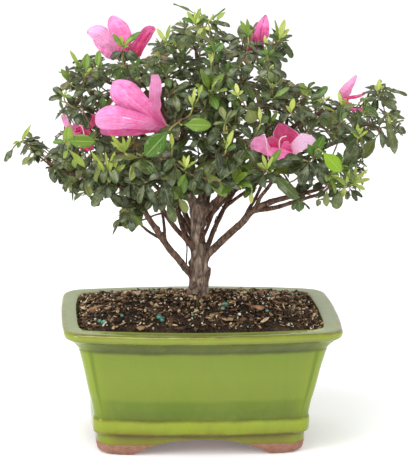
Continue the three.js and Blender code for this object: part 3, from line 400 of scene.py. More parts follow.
def glaze_material():
    m = Mat("green_glaze", Roughness=0.16, Coat_Weight=0.3, Coat_Roughness=0.05, IOR=1.42)
    m.b.inputs["Coat IOR"].default_value = 1.5
    z = m.xyz()[2]
    wave = m.noise(38, 3, 0.5)
    fine = m.noise(160, 3, 0.6)
    zz = m.math("ADD", z, m.math("MULTIPLY", m.math("SUBTRACT", wave, 0.5), 0.0035))
    zone = m.ramp(m.span(zz, 0.0, 0.1), [
        (0.00, srgb(118, 116, 30)), (0.115, srgb(116, 114, 28)), (0.142, srgb(96, 84, 16)), (0.162, srgb(92, 78, 14)),
        (0.182, srgb(132, 146, 18)), (0.255, srgb(142, 158, 26)), (0.285, srgb(92, 112, 4)), (0.34, srgb(86, 108, 2)),
        (0.415, srgb(92, 114, 4)), (0.445, srgb(112, 130, 24)), (0.62, srgb(117, 134, 32)), (0.79, srgb(112, 132, 26)),
        (0.815, srgb(62, 74, 4)), (0.86, srgb(66, 76, 4)), (0.895, srgb(76, 88, 6)), (0.912, srgb(118, 132, 20)),
        (0.95, srgb(134, 144, 22)), (1.0, srgb(134, 144, 22))])
    # cloudy thick and thin places, with streaks that ran down before the glaze set
    runs = m.noise(1.0, 3, 0.55, vector=m.stretch((210, 210, 30)))
    cloud = m.noise(24, 4, 0.6, distortion=0.6)
    col = m.mix(m.math("MULTIPLY", m.span(cloud, 0.38, 0.72), 0.3), zone, srgb(122, 134, 52))
    col = m.mix(m.math("MULTIPLY", m.span(runs, 0.52, 0.75), 0.25), col, m.mix(0.5, col, srgb(84, 110, 10)))
    col = m.mix(m.math("MULTIPLY", m.span(fine, 0.55, 0.8), 0.12), col, srgb(140, 150, 70))
    # the rounded corners are painted a lighter, yellower green: a painted highlight on the corners
    col = m.mix(m.math("MULTIPLY", m.attr("corner"), 0.5), col, srgb(134, 152, 20))
    # the real panel on each long side is pressed in, which the mesh leaves out; glaze pooled along its upright edges
    px, py, _ = m.xyz()[:3]
    ax, ay = m.math("ABSOLUTE", px), m.math("ABSOLUTE", py)
    off = m.math("ABSOLUTE", m.math("SUBTRACT", ax, m.math("ADD", 0.0680, m.math("MULTIPLY", z, 0.157))))
    groove = m.math("MULTIPLY", m.span(off, 0.0026, 0.0004, smooth=True), m.math("GREATER_THAN", ay, m.math("MULTIPLY", ax, 0.6)))
    groove = m.math("MULTIPLY", groove, m.math("MULTIPLY", m.span(zz, 0.0270, 0.034), m.span(zz, 0.084, 0.080)))
    col = m.mix(m.math("MULTIPLY", groove, 0.62), col, srgb(84, 108, 2))
    # the flat top of the rim carries a thicker, milky coat
    top = m.span(m.math("ADD", z, m.math("MULTIPLY", m.math("SUBTRACT", wave, 0.5), 0.0007)), 0.0950, 0.0956)
    col = m.mix(top, col, m.mix(m.span(cloud, 0.35, 0.7), srgb(126, 140, 64), srgb(122, 138, 58)))
    # along the inner lip of the front the rim top is painted paler: a painted reflection of the bright studio
    inner = m.math("ADD", ay, m.math("MULTIPLY", m.math("MULTIPLY", ax, ax), 0.9))
    front_lip_reflection = m.math("MULTIPLY", m.span(inner, 0.0590, 0.0550), m.math("MULTIPLY", m.span(ax, 0.086, 0.080), m.math("LESS_THAN", py, 0.0)))
    col = m.mix(m.math("MULTIPLY", m.math("MULTIPLY", front_lip_reflection, top), 0.9), col, srgb(172, 182, 96))
    # brown body shows through where the glaze drew back from a crest
    thin = m.math("MULTIPLY", m.attr("crest"), m.span(m.noise(70, 4, 0.65), 0.36, 0.62))
    col = m.mix(m.math("MULTIPLY", thin, 0.8), col, srgb(104, 72, 14))
    seam = m.math("MULTIPLY", m.attr("pool"), m.span(m.noise(90, 3, 0.6), 0.3, 0.6, 0.35, 1.0))
    col = m.mix(m.math("MULTIPLY", seam, 0.75), col, srgb(64, 72, 6))
    # bare stoneware on the feet and underneath, with a wavering edge and a thin brown line along it
    edge = m.math("ADD", m.attr("bare"), m.math("MULTIPLY", m.math("SUBTRACT", m.noise(75, 3, 0.55), 0.5), 2.2))
    bare = m.span(edge, -0.12, 0.12, smooth=True)
    rim = m.math("MULTIPLY", m.span(edge, -0.9, -0.1), m.math("SUBTRACT", 1.0, bare))
    col = m.mix(m.math("MULTIPLY", rim, 0.7), col, srgb(112, 92, 22))
    clay = m.ramp(m.noise(240, 5, 0.7), [(0.3, srgb(132, 90, 74)), (0.5, srgb(150, 108, 90)), (0.72, srgb(162, 124, 106))])
    clay = m.mix(m.span(m.noise(1200, 2, 0.5), 0.62, 0.72), clay, srgb(108, 70, 56))
    m.set("Base Color", m.mix(bare, col, clay))
    m.set("Roughness", m.mix(bare, m.math("ADD", 0.10, m.math("MULTIPLY", fine, 0.12)), m.math("ADD", 0.82, 0.0)))
    m.set("Coat Weight", m.math("MULTIPLY", m.math("SUBTRACT", 1.0, bare), m.span(zz, 0.088, 0.092, 0.1, 0.5)))
    wobble = m.bump(m.noise(60, 2, 0.5), 0.22, 0.0022)
    pits = m.bump(m.cells(420, random=1.0), 0.06, 0.0004, wobble)
    grain = m.bump(m.math("MULTIPLY", m.noise(1500, 3, 0.6), bare), 0.5, 0.0004, pits)
    m.set("Normal", grain)
    return m.m


def bark_material():
    m = Mat("azalea_bark", Roughness=0.86)
    m.b.inputs["Specular IOR Level"].default_value = 0.3
    girth = m.attr("girth")
    along = m.stretch((330, 330, 90))
    fib = m.noise(1.0, 5, 0.62, vector=along, distortion=0.8)
    flake = m.cells(1.0, feature="DISTANCE_TO_EDGE", vector=m.stretch((190, 190, 62)))
    patch = m.noise(70, 4, 0.6)
    old = m.ramp(fib, [(0.28, srgb(70, 54, 46)), (0.42, srgb(112, 92, 80)), (0.55, srgb(148, 130, 114)), (0.7, srgb(188, 172, 154))])
    old = m.mix(m.span(patch, 0.5, 0.72), old, m.ramp(fib, [(0.3, srgb(92, 66, 52)), (0.7, srgb(152, 118, 98))]))
    young = m.ramp(fib, [(0.3, srgb(50, 30, 24)), (0.5, srgb(82, 54, 42)), (0.68, srgb(128, 94, 76))])
    young = m.mix(m.span(patch, 0.52, 0.7), young, srgb(108, 84, 70))
    col = m.mix(m.span(girth, 1.5, 4.6), young, old)
    crack = m.span(flake, 0.0, 0.11)
    col = m.mix(m.math("MULTIPLY", m.math("SUBTRACT", 1.0, crack), m.span(girth, 1.2, 4.0, 0.12, 0.65)), col, srgb(40, 28, 24))
    col = m.mix(m.math("MULTIPLY", m.span(m.noise(520, 3, 0.6), 0.6, 0.7), 0.5), col, srgb(178, 168, 150))
    m.set("Base Color", col)
    b1 = m.bump(fib, 0.55, 0.0007)
    b2 = m.bump(m.span(flake, 0.0, 0.16), 0.45, 0.0006, b1)
    m.set("Normal", m.bump(m.noise(1400, 3, 0.6), 0.3, 0.0003, b2))
    return m.m


def twig_material():
    m = Mat("young_twig", Roughness=0.62)
    g = m.attr("green")
    n = m.noise(420, 4, 0.6, vector=None)
    red = m.ramp(n, [(0.3, srgb(68, 44, 32)), (0.52, srgb(104, 74, 54)), (0.72, srgb(146, 116, 88))])
    green = m.ramp(n, [(0.3, srgb(118, 122, 52)), (0.7, srgb(176, 184, 92))])
    m.set("Base Color", m.mix(g, red, green))
    m.set("Normal", m.bump(m.noise(1800, 3, 0.6), 0.35, 0.0002))
    return m.m


def leaf_material():
    m = Mat("azalea_leaf", Roughness=0.28, Coat_Weight=0.2, Coat_Roughness=0.1, IOR=1.38)
    u, v = m.attr("across"), m.attr("along")
    tone, young, under = m.attr("tone"), m.attr("young"), m.attr("under")
    au = m.math("ABSOLUTE", u)
    mature = m.ramp(tone, [(0.0, srgb(24, 32, 12)), (0.25, srgb(37, 49, 17)), (0.5, srgb(57, 69, 25)), (0.75, srgb(82, 92, 37)), (1.0, srgb(122, 126, 60))])
    fresh = m.ramp(tone, [(0.0, srgb(108, 130, 22)), (0.35, srgb(148, 166, 46)), (0.7, srgb(184, 196, 86)), (1.0, srgb(214, 218, 130))])
    mid = m.ramp(tone, [(0.0, srgb(46, 78, 8)), (0.5, srgb(64, 108, 8)), (1.0, srgb(98, 126, 32))])
    col = m.mix(m.span(young, 0.0, 0.5), mature, mid)
    col = m.mix(m.span(young, 0.5, 1.0), col, fresh)
    # one leaf in the picture is a clear lime, others have gone bronze
    col = m.mix(m.span(young, 1.05, 1.3), col, srgb(122, 160, 12))
    bronze = m.ramp(tone, [(0.0, srgb(62, 40, 22)), (0.5, srgb(96, 70, 36)), (1.0, srgb(128, 104, 56))])
    col = m.mix(m.span(young, 0.0, -0.9), col, bronze)
    cloud = m.noise(320, 3, 0.6)
    # painted highlight: pale grey-green patches along the middle of the upper side of older leaves stand in for the
    # shine of the lamps
    painted_leaf_highlight = m.math("MULTIPLY", m.span(m.noise(150, 3, 0.55), 0.5, 0.62), m.math("MULTIPLY", m.span(au, 1.0, 0.7), m.span(v, 0.05, 0.3)))
    col = m.mix(m.math("MULTIPLY", painted_leaf_highlight, m.span(young, 0.5, 0.0, 0.0, 0.5)), col, srgb(138, 148, 118))
    col = m.mix(m.math("MULTIPLY", m.span(cloud, 0.45, 0.75), 0.4), col, m.mix(0.5, col, srgb(112, 118, 60)))
    # midrib and side veins
    rib = m.span(au, 0.10, 0.03)
    lat = m.math("SINE", m.math("MULTIPLY", m.math("SUBTRACT", m.math("MULTIPLY", v, 7.0), m.math("MULTIPLY", au, 2.4)), 6.2832))
    vein = m.math("MULTIPLY", m.span(lat, 0.86, 1.0), m.span(au, 1.0, 0.6))
    pale = m.mix(0.6, col, srgb(176, 190, 120))
    col = m.mix(m.math("MULTIPLY", vein, 0.18), col, pale)
    col = m.mix(m.math("MULTIPLY", rib, m.span(young, 0.0, 0.5, 0.3, 0.6)), col, pale)
    # a dry or bronze edge and tip on some leaves
    worn = m.math("MULTIPLY", m.span(m.math("ADD", m.math("MULTIPLY", v, 0.7), m.math("MULTIPLY", au, 0.5)), 0.86, 1.12), m.span(m.noise(260, 3, 0.6), 0.5, 0.66))
    col = m.mix(m.math("MULTIPLY", worn, m.span(young, 0.6, 0.0, 0.0, 0.55)), col, srgb(126, 92, 52))
    # the underside is paler and duller
    back = m.mix(m.span(young, 0.0, 0.8), m.ramp(tone, [(0.0, srgb(84, 94, 56)), (1.0, srgb(128, 136, 88))]), m.mix(0.35, col, srgb(196, 208, 140)))
    back = m.mix(m.math("MULTIPLY", rib, 0.5), back, srgb(170, 178, 128))
    m.set("Base Color", m.mix(under, col, back))
    m.set("Roughness", m.mix(under, m.math("ADD", 0.2, m.math("MULTIPLY", cloud, 0.2)), m.math("ADD", 0.62, 0.0)))
    m.set("Coat Weight", m.math("MULTIPLY", m.math("SUBTRACT", 1.0, under), 0.14))
    h = m.math("ADD", m.math("MULTIPLY", rib, -0.8), m.math("MULTIPLY", m.span(lat, 0.5, 1.0), -0.5))
    bb = m.bump(h, 0.35, 0.0003)
    m.set("Normal", m.bump(m.noise(900, 3, 0.6), 0.22, 0.00025, bb))
    m.b.inputs["Sheen Weight"].default_value = 0.05
    return m.m


def petal_material():
    m = Mat("azalea_petal", Roughness=0.5, Coat_Weight=0.0, IOR=1.4)
    m.b.inputs["Subsurface Weight"].default_value = 0.18
    m.b.inputs["Subsurface Radius"].default_value = (0.004, 0.0016, 0.0022)
    m.b.inputs["Subsurface Scale"].default_value = 0.6
    m.b.inputs["Sheen Weight"].default_value = 0.18
    m.b.inputs["Sheen Roughness"].default_value = 0.4
    u, v, outer, flame, depth = m.attr("across"), m.attr("along"), m.attr("outer"), m.attr("flame"), m.attr("deep")
    au = m.math("ABSOLUTE", u)
    col = m.ramp(v, [(0.0, srgb(226, 60, 130)), (0.22, srgb(232, 74, 146)), (0.45, srgb(238, 96, 166)), (0.75, srgb(242, 118, 182)), (1.0, srgb(246, 146, 202))])
    cloud = m.noise(150, 4, 0.6)
    col = m.mix(m.math("MULTIPLY", m.span(cloud, 0.42, 0.72), 0.65), col, srgb(250, 164, 214))
    # darker crimson mottling: partly the petal's own colour, partly painted shade in the folds of the crumpled lobes
    blot_and_fold_shade = m.noise(1.0, 4, 0.62, vector=m.stretch((120, 150, 260), (3, 1, 2)), distortion=0.7)
    col = m.mix(m.math("MULTIPLY", m.span(blot_and_fold_shade, 0.52, 0.64), 0.55), col, srgb(224, 62, 136))
    # each lobe is painted paler or deeper as a whole: partly its own colour, partly painted shade on lobes folded into
    # shade and painted light on lobes the lamps leave dim
    col = m.mix(m.span(depth, 0.0, -1.0), col, srgb(255, 206, 240))
    # fine darker veins that fan out, and crumpled paler patches between them
    fan = m.math("SINE", m.math("ADD", m.math("MULTIPLY", u, 21.0), m.math("MULTIPLY", m.noise(260, 2, 0.5), 5.0)))
    vein = m.math("MULTIPLY", m.span(fan, 0.55, 1.0), m.span(v, 0.1, 0.5, 0.3, 1.0))
    col = m.mix(m.math("MULTIPLY", vein, 0.3), col, srgb(226, 66, 142))
    crease = m.span(m.noise(1.0, 4, 0.6, vector=m.stretch((240, 240, 480))), 0.56, 0.72)
    col = m.mix(m.math("MULTIPLY", crease, 0.28), col, srgb(252, 190, 228))
    # a pale midrib line outside, a deep throat inside, and a speckled flame on the upper lobes
    rib = m.math("MULTIPLY", m.math("MULTIPLY", m.span(au, 0.065, 0.02), outer), m.span(flame, 0.0, 0.5, 0.18, 0.8))
    col = m.mix(rib, col, srgb(254, 214, 226))
    throat = m.math("MULTIPLY", m.math("SUBTRACT", 1.0, outer), m.span(v, 0.56, 0.12))
    col = m.mix(m.math("MULTIPLY", throat, 0.75), col, srgb(206, 26, 84))
    spots = m.math("MULTIPLY", m.math("MULTIPLY", m.span(flame, 0.6, 1.0), m.span(m.cells(900), 0.34, 0.2)), m.span(v, 0.72, 0.5))
    col = m.mix(m.math("MULTIPLY", spots, 0.8), col, srgb(168, 14, 62))
    # deep above zero paints the lobe toward crimson: partly its own colour, partly painted shade
    crimson = m.mix(0.78, col, m.mix(m.span(m.noise(330, 3, 0.6), 0.42, 0.62), srgb(192, 12, 66), srgb(228, 44, 104)))
    col = m.mix(m.span(depth, 0.0, 1.0), col, crimson)
    # the seam along the margin: a thin mauve line on some lobes, a pale curled lip on others
    edge = m.attr("edge")
    margin = m.math("MAXIMUM", m.span(au, 0.86, 0.96), m.math("MULTIPLY", m.span(v, 0.955, 0.985), m.span(au, 0.0, 0.1, 1.0, 1.0)))
    margin = m.math("MULTIPLY", margin, m.span(v, 0.3, 0.5))
    col = m.mix(m.math("MULTIPLY", margin, m.span(edge, 0.0, 1.0, 0.0, 0.55)), col, srgb(176, 84, 136))
    col = m.mix(m.math("MULTIPLY", margin, m.span(edge, 0.0, -1.0, 0.0, 0.85)), col, srgb(255, 190, 206))
    m.set("Base Color", col)
    # painted glow: lobes with a pale lip (edge below zero) emit a little of their own colour, standing in for light
    # that comes through the thin lobes of the flower deep among the leaves
    m.set("Emission Color", col)
    m.set("Emission Strength", m.span(edge, -0.1, -0.6, 0.0, 0.2))
    h = m.math("ADD", m.math("MULTIPLY", m.span(fan, -1.0, 1.0), 0.35), m.noise(420, 4, 0.6))
    m.set("Normal", m.bump(h, 0.6, 0.0009))
    return m.m


def plain_plant_material(name, low, high, rough=0.55, scale=500, bump=0.3, sheen=0.1):
    m = Mat(name, Roughness=rough)
    m.b.inputs["Sheen Weight"].default_value = sheen
    n = m.noise(scale, 4, 0.6)
    along = m.attr("along")
    col = m.mix(m.span(m.math("ADD", m.math("MULTIPLY", along, 0.6), m.math("MULTIPLY", n, 0.5)), 0.2, 0.9), low, high)
    m.set("Base Color", col)
    m.set("Normal", m.bump(m.noise(scale * 4, 3, 0.6), bump, 0.0002))
    return m.m


def grain_material(name, stops, rough=0.95, scale=900, bump=0.6, fleck=None):
    """Colour from each grain's own tone, broken up by fine noise."""
    m = Mat(name, Roughness=rough)
    m.b.inputs["Specular IOR Level"].default_value = 0.25
    tone = m.attr("tone")
    n = m.noise(scale, 4, 0.65)
    col = m.ramp(m.math("ADD", m.math("MULTIPLY", tone, 0.8), m.math("MULTIPLY", n, 0.2)), stops)
    col = m.mix(m.math("MULTIPLY", m.span(n, 0.5, 0.75), 0.4), col, m.mix(0.5, col, (0.5, 0.4, 0.3, 1)))
    if fleck:
        col = m.mix(m.span(m.noise(scale * 2.2, 2, 0.5), 0.66, 0.74), col, fleck)
    m.set("Base Color", col)
    b1 = m.bump(n, bump, 0.0008)
    m.set("Normal", m.bump(m.noise(scale * 3, 3, 0.6), bump * 0.7, 0.0003, b1))
    return m.m


# ------------------------------------------------------------------ the pot
def outline(z, half_l, half_d, radius, bow_l, bow_s, arc=12, long=46, short=26):
    """A rectangle with round corners and gently bowed sides, seen from above, as the CAD pot has it."""
    a, b, r = half_l - bow_s, half_d - bow_l, max(radius, 0.5)
    flat = []
    corners = [(a - r, b - r, 0), (-(a - r), b - r, 90), (-(a - r), -(b - r), 180), (a - r, -(b - r), 270)]
    for k, (cx, cy, start) in enumerate(corners):
        for i in range(arc + 1):
            t = math.radians(start + 90 * i / arc)
            flat.append((cx + r * math.cos(t), cy + r * math.sin(t), 1.0))
        nx, ny, ns = corners[(k + 1) % 4]
        ex, ey, _ = flat[-1]
        t0 = math.radians(ns)
        fx, fy = nx + r * math.cos(t0), ny + r * math.sin(t0)
        n = long if k % 2 == 0 else short
        for i in range(1, n + 1):
            t = i / (n + 1)
            flat.append((ex + (fx - ex) * t, ey + (fy - ey) * t, 0.0))
    f = np.array(flat)
    x, y = f[:, 0], f[:, 1]
    xx = x + np.sign(x) * bow_s * (1 - np.minimum(1, (y / b) ** 2)) * np.minimum(1, np.abs(x) / a)
    yy = y + np.sign(y) * bow_l * (1 - np.minimum(1, (x / a) ** 2)) * np.minimum(1, np.abs(y) / b)
    return np.stack([xx, yy, np.full(len(xx), float(z))], -1), f[:, 2]


def chaikin(rows, rounds=2, keep_ends=True):
    p = np.asarray(rows, float)
    for _ in range(rounds):
        a = 0.75 * p[:-1] + 0.25 * p[1:]
        b = 0.25 * p[:-1] + 0.75 * p[1:]
        mid = np.stack([a, b], 1).reshape(-1, p.shape[1])
        p = np.vstack([p[:1], mid, p[-1:]]) if keep_ends else mid
    return p


def arch_height(x, y):
    """How high the lower edge of the apron is above the table, round the pot."""
    front = np.where(np.abs(x) < 52, 12.9 * (1 - (np.abs(x) / 52) ** 2.2), 0.0)
    side = np.where(np.abs(y) < 22, 12.2 * (1 - (np.abs(y) / 22) ** 2.2), 0.0)
    long_side = np.abs(y) / 45.0 > np.abs(x) / 76.0 * 1.0
    return np.where(long_side, front, side)


WALL_SHAPE = [
    # z, half length, half depth, corner radius, bow of the long sides, bow of the short sides, crest, pool
    (13.4, 76.9, 46.6, 9.4, 4.6, 1.8, 0.0, 0.0),
    (14.4, 76.9, 46.6, 9, 4.7, 1.8, 0.0, 0.5),
    (15.3, 77.2, 46.8, 8.4, 4.8, 1.8, 0.0, 1.0),
    (16.1, 78.4, 47.6, 8, 4.9, 1.8, 0.3, 0.3),
    (16.7, 79.2, 48.3, 8, 5.0, 1.8, 1.0, 0.0),
    (18.4, 79.6, 48.6, 8, 5.0, 1.9, 0.4, 0.0),
    (22.6, 79.8, 48.9, 7.6, 5.1, 1.9, 0.0, 0.0),
    (25.8, 79.8, 48.9, 7.4, 5.2, 2.0, 0.2, 0.0),
    (27.3, 79.6, 48.7, 7.2, 5.2, 2.0, 0.8, 0.0),
    (28.1, 79.1, 48.1, 7, 5.3, 2.0, 0.0, 0.8),
    (29.0, 79.0, 48.0, 7, 5.4, 2.0, 0.0, 0.5),
    (35.0, 80.0, 48.8, 7, 5.7, 2.1, 0.0, 0.0),
    (41.0, 81.2, 49.9, 7, 5.9, 2.2, 0.0, 0.0),
    (44.6, 82.2, 50.8, 7, 6.1, 2.2, 0.05, 0.0),
    (56.0, 84.8, 52.7, 7, 6.6, 2.4, 0.0, 0.0),
    (68.0, 87.4, 54.7, 7.2, 7.1, 2.6, 0.0, 0.0),
    (78.6, 90.1, 56.6, 7.4, 7.5, 2.7, 0.0, 0.0),
    (80.7, 90.8, 57.2, 7.5, 7.6, 2.8, 0.4, 0.0),
    (81.6, 90.9, 57.1, 7.6, 7.6, 2.8, 0.0, 0.9),
    (83.0, 92.0, 58.0, 7.8, 7.7, 2.8, 0.0, 0.3),
    (85.4, 94.0, 59.5, 8.4, 7.9, 2.8, 0.1, 0.1),
    (87.6, 96.2, 61.2, 9.0, 8.2, 2.8, 0.0, 0.2),
    (89.3, 98.6, 63.2, 9.8, 8.5, 2.9, 0.1, 0.5),
    (90.2, 100.2, 64.5, 10.4, 8.7, 3.0, 0.4, 0.1),
    (91.2, 101.0, 65.1, 10.6, 8.8, 3.0, 0.3, 0.0),
    (93.0, 101.4, 65.4, 10.8, 8.9, 3.1, 0.0, 0.0),
    (94.4, 101.3, 65.3, 10.8, 9.0, 3.1, 0.2, 0.0),
    (95.4, 100.5, 64.5, 10.6, 9.0, 3.1, 1.0, 0.0),
    (95.95, 99.2, 63.3, 9.8, 8.9, 3.0, 0.6, 0.0),
    (96.0, 97.0, 61.1, 9.2, 8.6, 3.0, 0.0, 0.0),
    (95.95, 93.4, 56.4, 8.8, 8.2, 2.8, 0.0, 0.0),
    (95.8, 91.0, 53.4, 8.5, 7.8, 2.6, 0.2, 0.0),
    (95.2, 90.0, 52.4, 8.2, 7.7, 2.6, 0.7, 0.0),
    (94.0, 89.4, 51.8, 8.0, 7.5, 2.6, 0.2, 0.0),
    (90.0, 87.4, 51.3, 8.0, 7.0, 2.4, 0.0, 0.2),
    (86.0, 86.0, 50.9, 8.0, 6.6, 2.2, 0.0, 0.0),
    (60.0, 81.0, 47.7, 7.8, 5.3, 1.9, 0.0, 0.0),
    (34.0, 76.1, 43.9, 7.4, 4.1, 1.6, 0.0, 0.0),
    (20.5, 73.5, 42.0, 7.0, 3.4, 1.4, 0.0, 0.0),
]


def make_pot(material):
    shape = np.array(WALL_SHAPE, float)
    top = chaikin(shape, 1)
    # longer plain stretches get more rows, so that the surface can waver a little
    rows = [top[0]]
    for a, b in zip(top[:-1], top[1:]):
        n = max(1, int(np.ceil(abs(b[0] - a[0]) / 3.2)))
        for i in range(1, n + 1):
            rows.append(a + (b - a) * i / n)
    rows = np.array(rows)
    ring0, _ = outline(0, *rows[0][1:6])
    count = len(ring0)
    verts, bare, crest, pool, corner = [], [], [], [], []

    def take(ring, isc, z_true, cr, po, unglazed=None):
        verts.append(ring)
        crest.append(np.full(count, cr))
        pool.append(np.full(count, po))
        corner.append(isc)
        bare.append(unglazed if unglazed is not None else (8.3 - ring[:, 2]) * 0.9)

    # apron: from its arched lower edge up to the underside of the moulding
    low_l, low_d = (74.2, 75.0, 75.3, 75.4), (44.4, 45.05, 45.25, 45.3)
    levels = [0.0, 0.05, 0.14, 0.3, 0.5, 0.75]
    apron = []
    for t in levels:
        ring, isc = outline(0, 76.9, 46.6, 10, 4.6, 1.8)
        zb = arch_height(ring[:, 0], ring[:, 1])
        z = zb + t * (13.4 - zb)
        inset = np.interp(z, [0, 0.8, 2.4, 6.0, 13.4], [2.4, 1.4, 0.8, 0.25, 0.0]) + (0.6 if t == 0 else 0.25 if t < 0.1 else 0.0)
        inset = inset * (1 + 0.9 * isc * np.clip((7 - z) / 7, 0, 1))
        d = ring[:, :2] / np.linalg.norm(ring[:, :2] / [76, 46], axis=1)[:, None] / [76, 46]
        d /= np.linalg.norm(d, axis=1)[:, None]
        xy = ring[:, :2] - d * inset[:, None]
        r = np.column_stack([xy, z])
        apron.append((r, isc, t))
    # inner face of the apron, from the floor's underside down to the lower edge
    inner = []
    for t in [1.0, 0.55, 0.15, 0.0]:
        ring, isc = outline(0, 64, 34, 6, 3.6, 1.4)
        zb = arch_height(ring[:, 0] * 76.9 / 64, ring[:, 1] * 46.6 / 34)
        z = zb + t * (14.0 - zb)
        r = np.column_stack([ring[:, :2], z])
        inner.append((r, isc, t))
    for r, isc, t in inner:
        take(r, isc, r[:, 2], 0, 0, unglazed=np.full(count, 3.0))
    mid_o, _ = outline(0, 73.2, 43.2, 9, 4.3, 1.7)
    zb = arch_height(mid_o[:, 0] * 76.9 / 73.2, mid_o[:, 1] * 46.6 / 43.2)
    take(np.column_stack([mid_o[:, :2], zb]), inner[0][1], zb, 0, 0, unglazed=np.full(count, 3.0))
    for r, isc, t in apron:
        take(r, isc, r[:, 2], 0.5 if t in (0.05, 0.14) else 0.1, 0)
    for row in rows[0:]:
        ring, isc = outline(row[0], *row[1:6])
        take(ring, isc, ring[:, 2], row[6], row[7], unglazed=np.full(count, -3.0) if row[0] > 17.2 else None)
    v = np.stack(verts)
    n_rows = len(verts)
    # hand-made irregularity: slow waves in the walls, softer at the rim
    p = v.reshape(-1, 3)
    wob = 0.32 * noise3(p, 34, 5) + 0.14 * noise3(p, 13, 6)
    flat = p[:, :2] / np.maximum(np.linalg.norm(p[:, :2], axis=1, keepdims=True), 1)
    keep = (np.clip((p[:, 2] - 1.5) / 4, 0, 1))[:, None]
    p2 = p.copy()
    p2[:, :2] += flat * (wob * keep[:, 0])[:, None]
    p2[:, 2] += 0.16 * noise3(p, 42, 8) * np.clip((p[:, 2] - 60) / 30, 0, 1)
    # the mouth is a little off true: its right side stands further in
    off = np.clip((p2[:, 0] - 58) / 26, 0, 1) * np.clip((p2[:, 2] - 84) / 8, 0, 1) * (np.abs(p2[:, 0]) < 91.6) * (np.abs(p2[:, 1]) < 57)
    p2[:, 0] -= 2.0 * off * off * (3 - 2 * off)
    b = Build()
    quads = grid_quads(n_rows, count, wrap=True)
    cr, po, co, ba = [np.concatenate(a) for a in (crest, pool, corner, bare)]
    # soften the corner mask round the pot
    co2 = co.reshape(n_rows, count)
    for _ in range(3):
        co2 = 0.25 * np.roll(co2, 1, 1) + 0.5 * co2 + 0.25 * np.roll(co2, -1, 1)
    b.add(p2, quads, crest=cr, pool=po, corner=co2.ravel(), bare=ba)

    # the floor, with its two drain holes, as one plate joined to the walls' two inner edges
    def plate(z, ring, up, unglazed):
        holes = [(-38.0, 0.0), (38.0, 0.0)]
        import_bm = bpy.data.meshes.new("tmp")
        import bmesh
        bm = bmesh.new()
        outer = [bm.verts.new((x, y, z)) for x, y in ring]
        edges = [bm.edges.new((outer[i], outer[(i + 1) % len(outer)])) for i in range(len(outer))]
        loops = []
        for hx, hy in holes:
            vs = [bm.verts.new((hx + 7 * math.cos(a), hy + 7 * math.sin(a), z)) for a in np.arange(32) / 32 * 2 * math.pi]
            loops.append(vs)
            edges += [bm.edges.new((vs[i], vs[(i + 1) % 32])) for i in range(32)]
        bmesh.ops.triangle_fill(bm, use_beauty=True, use_dissolve=False, edges=edges, normal=(0, 0, 1 if up else -1))
        bmesh.ops.triangulate(bm, faces=bm.faces[:])
        bm.verts.index_update()
        vv = np.array([w.co for w in bm.verts])
        ff = [[w.index for w in f.verts] for f in bm.faces]
        tri = np.array(ff)
        nz = np.cross(vv[tri[:, 1]] - vv[tri[:, 0]], vv[tri[:, 2]] - vv[tri[:, 0]])[:, 2]
        tri[(nz > 0) != up] = tri[(nz > 0) != up][:, ::-1]
        bm.free()
        bpy.data.meshes.remove(import_bm)
        b.add(vv, None, tri, crest=0, pool=0, corner=0, bare=unglazed)
        return loops
    last = p2.reshape(n_rows, count, 3)[-1]
    first = p2.reshape(n_rows, count, 3)[0]
    plate(float(last[:, 2].mean()), last[:, :2], True, 3.0)
    plate(float(first[:, 2].mean()), first[:, :2], False, 3.0)
    for hx in (-38.0, 38.0):
        a = np.arange(32) / 32 * 2 * math.pi
        z0, z1 = float(first[:, 2].mean()), float(last[:, 2].mean())
        rings = [np.column_stack([hx + r * np.cos(a), r * np.sin(a), np.full(32, z)]) for z, r in ((z0, 7.0), (z0 + 0.7, 6.7), (z1 - 0.7, 6.7), (z1, 7.0))]
        b.add(np.concatenate(rings), grid_quads(4, 32, wrap=True, flip=True), crest=0, pool=0, corner=0, bare=3.0)
    return b.make("pot_glazed_stoneware", material, slot="glaze", replaces=("pot",))


GLAZE = glaze_material()
make_pot(GLAZE)


# ------------------------------------------------------------------ the soil and what lies on it
SOIL_EDGE, SOIL_CROWN = 93.6, 107.4


def soil_height(x, y):
    x, y = np.asarray(x, float), np.asarray(y, float)
    a = np.minimum(1, np.abs(x) / 88.5)
    b = np.minimum(1, np.abs(y - 2) / 56) ** 3
    # behind the stock the ground falls away evenly to the far wall
    b = np.where(y > 0, np.minimum(1, (np.sqrt(y * y + 36) - 6) / 48.3), b)
    swell = (1 - a ** 2.8) * (1 - b)
    rough = 0.5 * np.sin(x * 0.31 + 1.3) * np.cos(y * 0.37) + 0.35 * np.sin(x * 0.77 + y * 0.61)
    return SOIL_EDGE + (SOIL_CROWN - SOIL_EDGE) * swell + rough * 0.8


def soil_edge(z):
    t = np.clip((z - 20.5) / 65.5, 0, 1.15)
    return 73.5 + 12.5 * t, 42 + 9.6 * t


def ico(level=1):
    import bmesh
    bm = bmesh.new()
    bmesh.ops.create_icosphere(bm, subdivisions=level, radius=1.0)
    v = np.array([q.co for q in bm.verts])
    f = np.array([[q.index for q in p.verts] for p in bm.faces])
    bm.free()
    return v, f


def random_turns(rng, n):
    q = unit(rng.normal(size=(n, 4)))
    w, x, y, z = q.T
    return np.stack([np.stack([1 - 2 * (y * y + z * z), 2 * (x * y - w * z), 2 * (x * z + w * y)], -1),
                     np.stack([2 * (x * y + w * z), 1 - 2 * (x * x + z * z), 2 * (y * z - w * x)], -1),
                     np.stack([2 * (x * z - w * y), 2 * (y * z + w * x), 1 - 2 * (x * x + y * y)], -1)], 1)


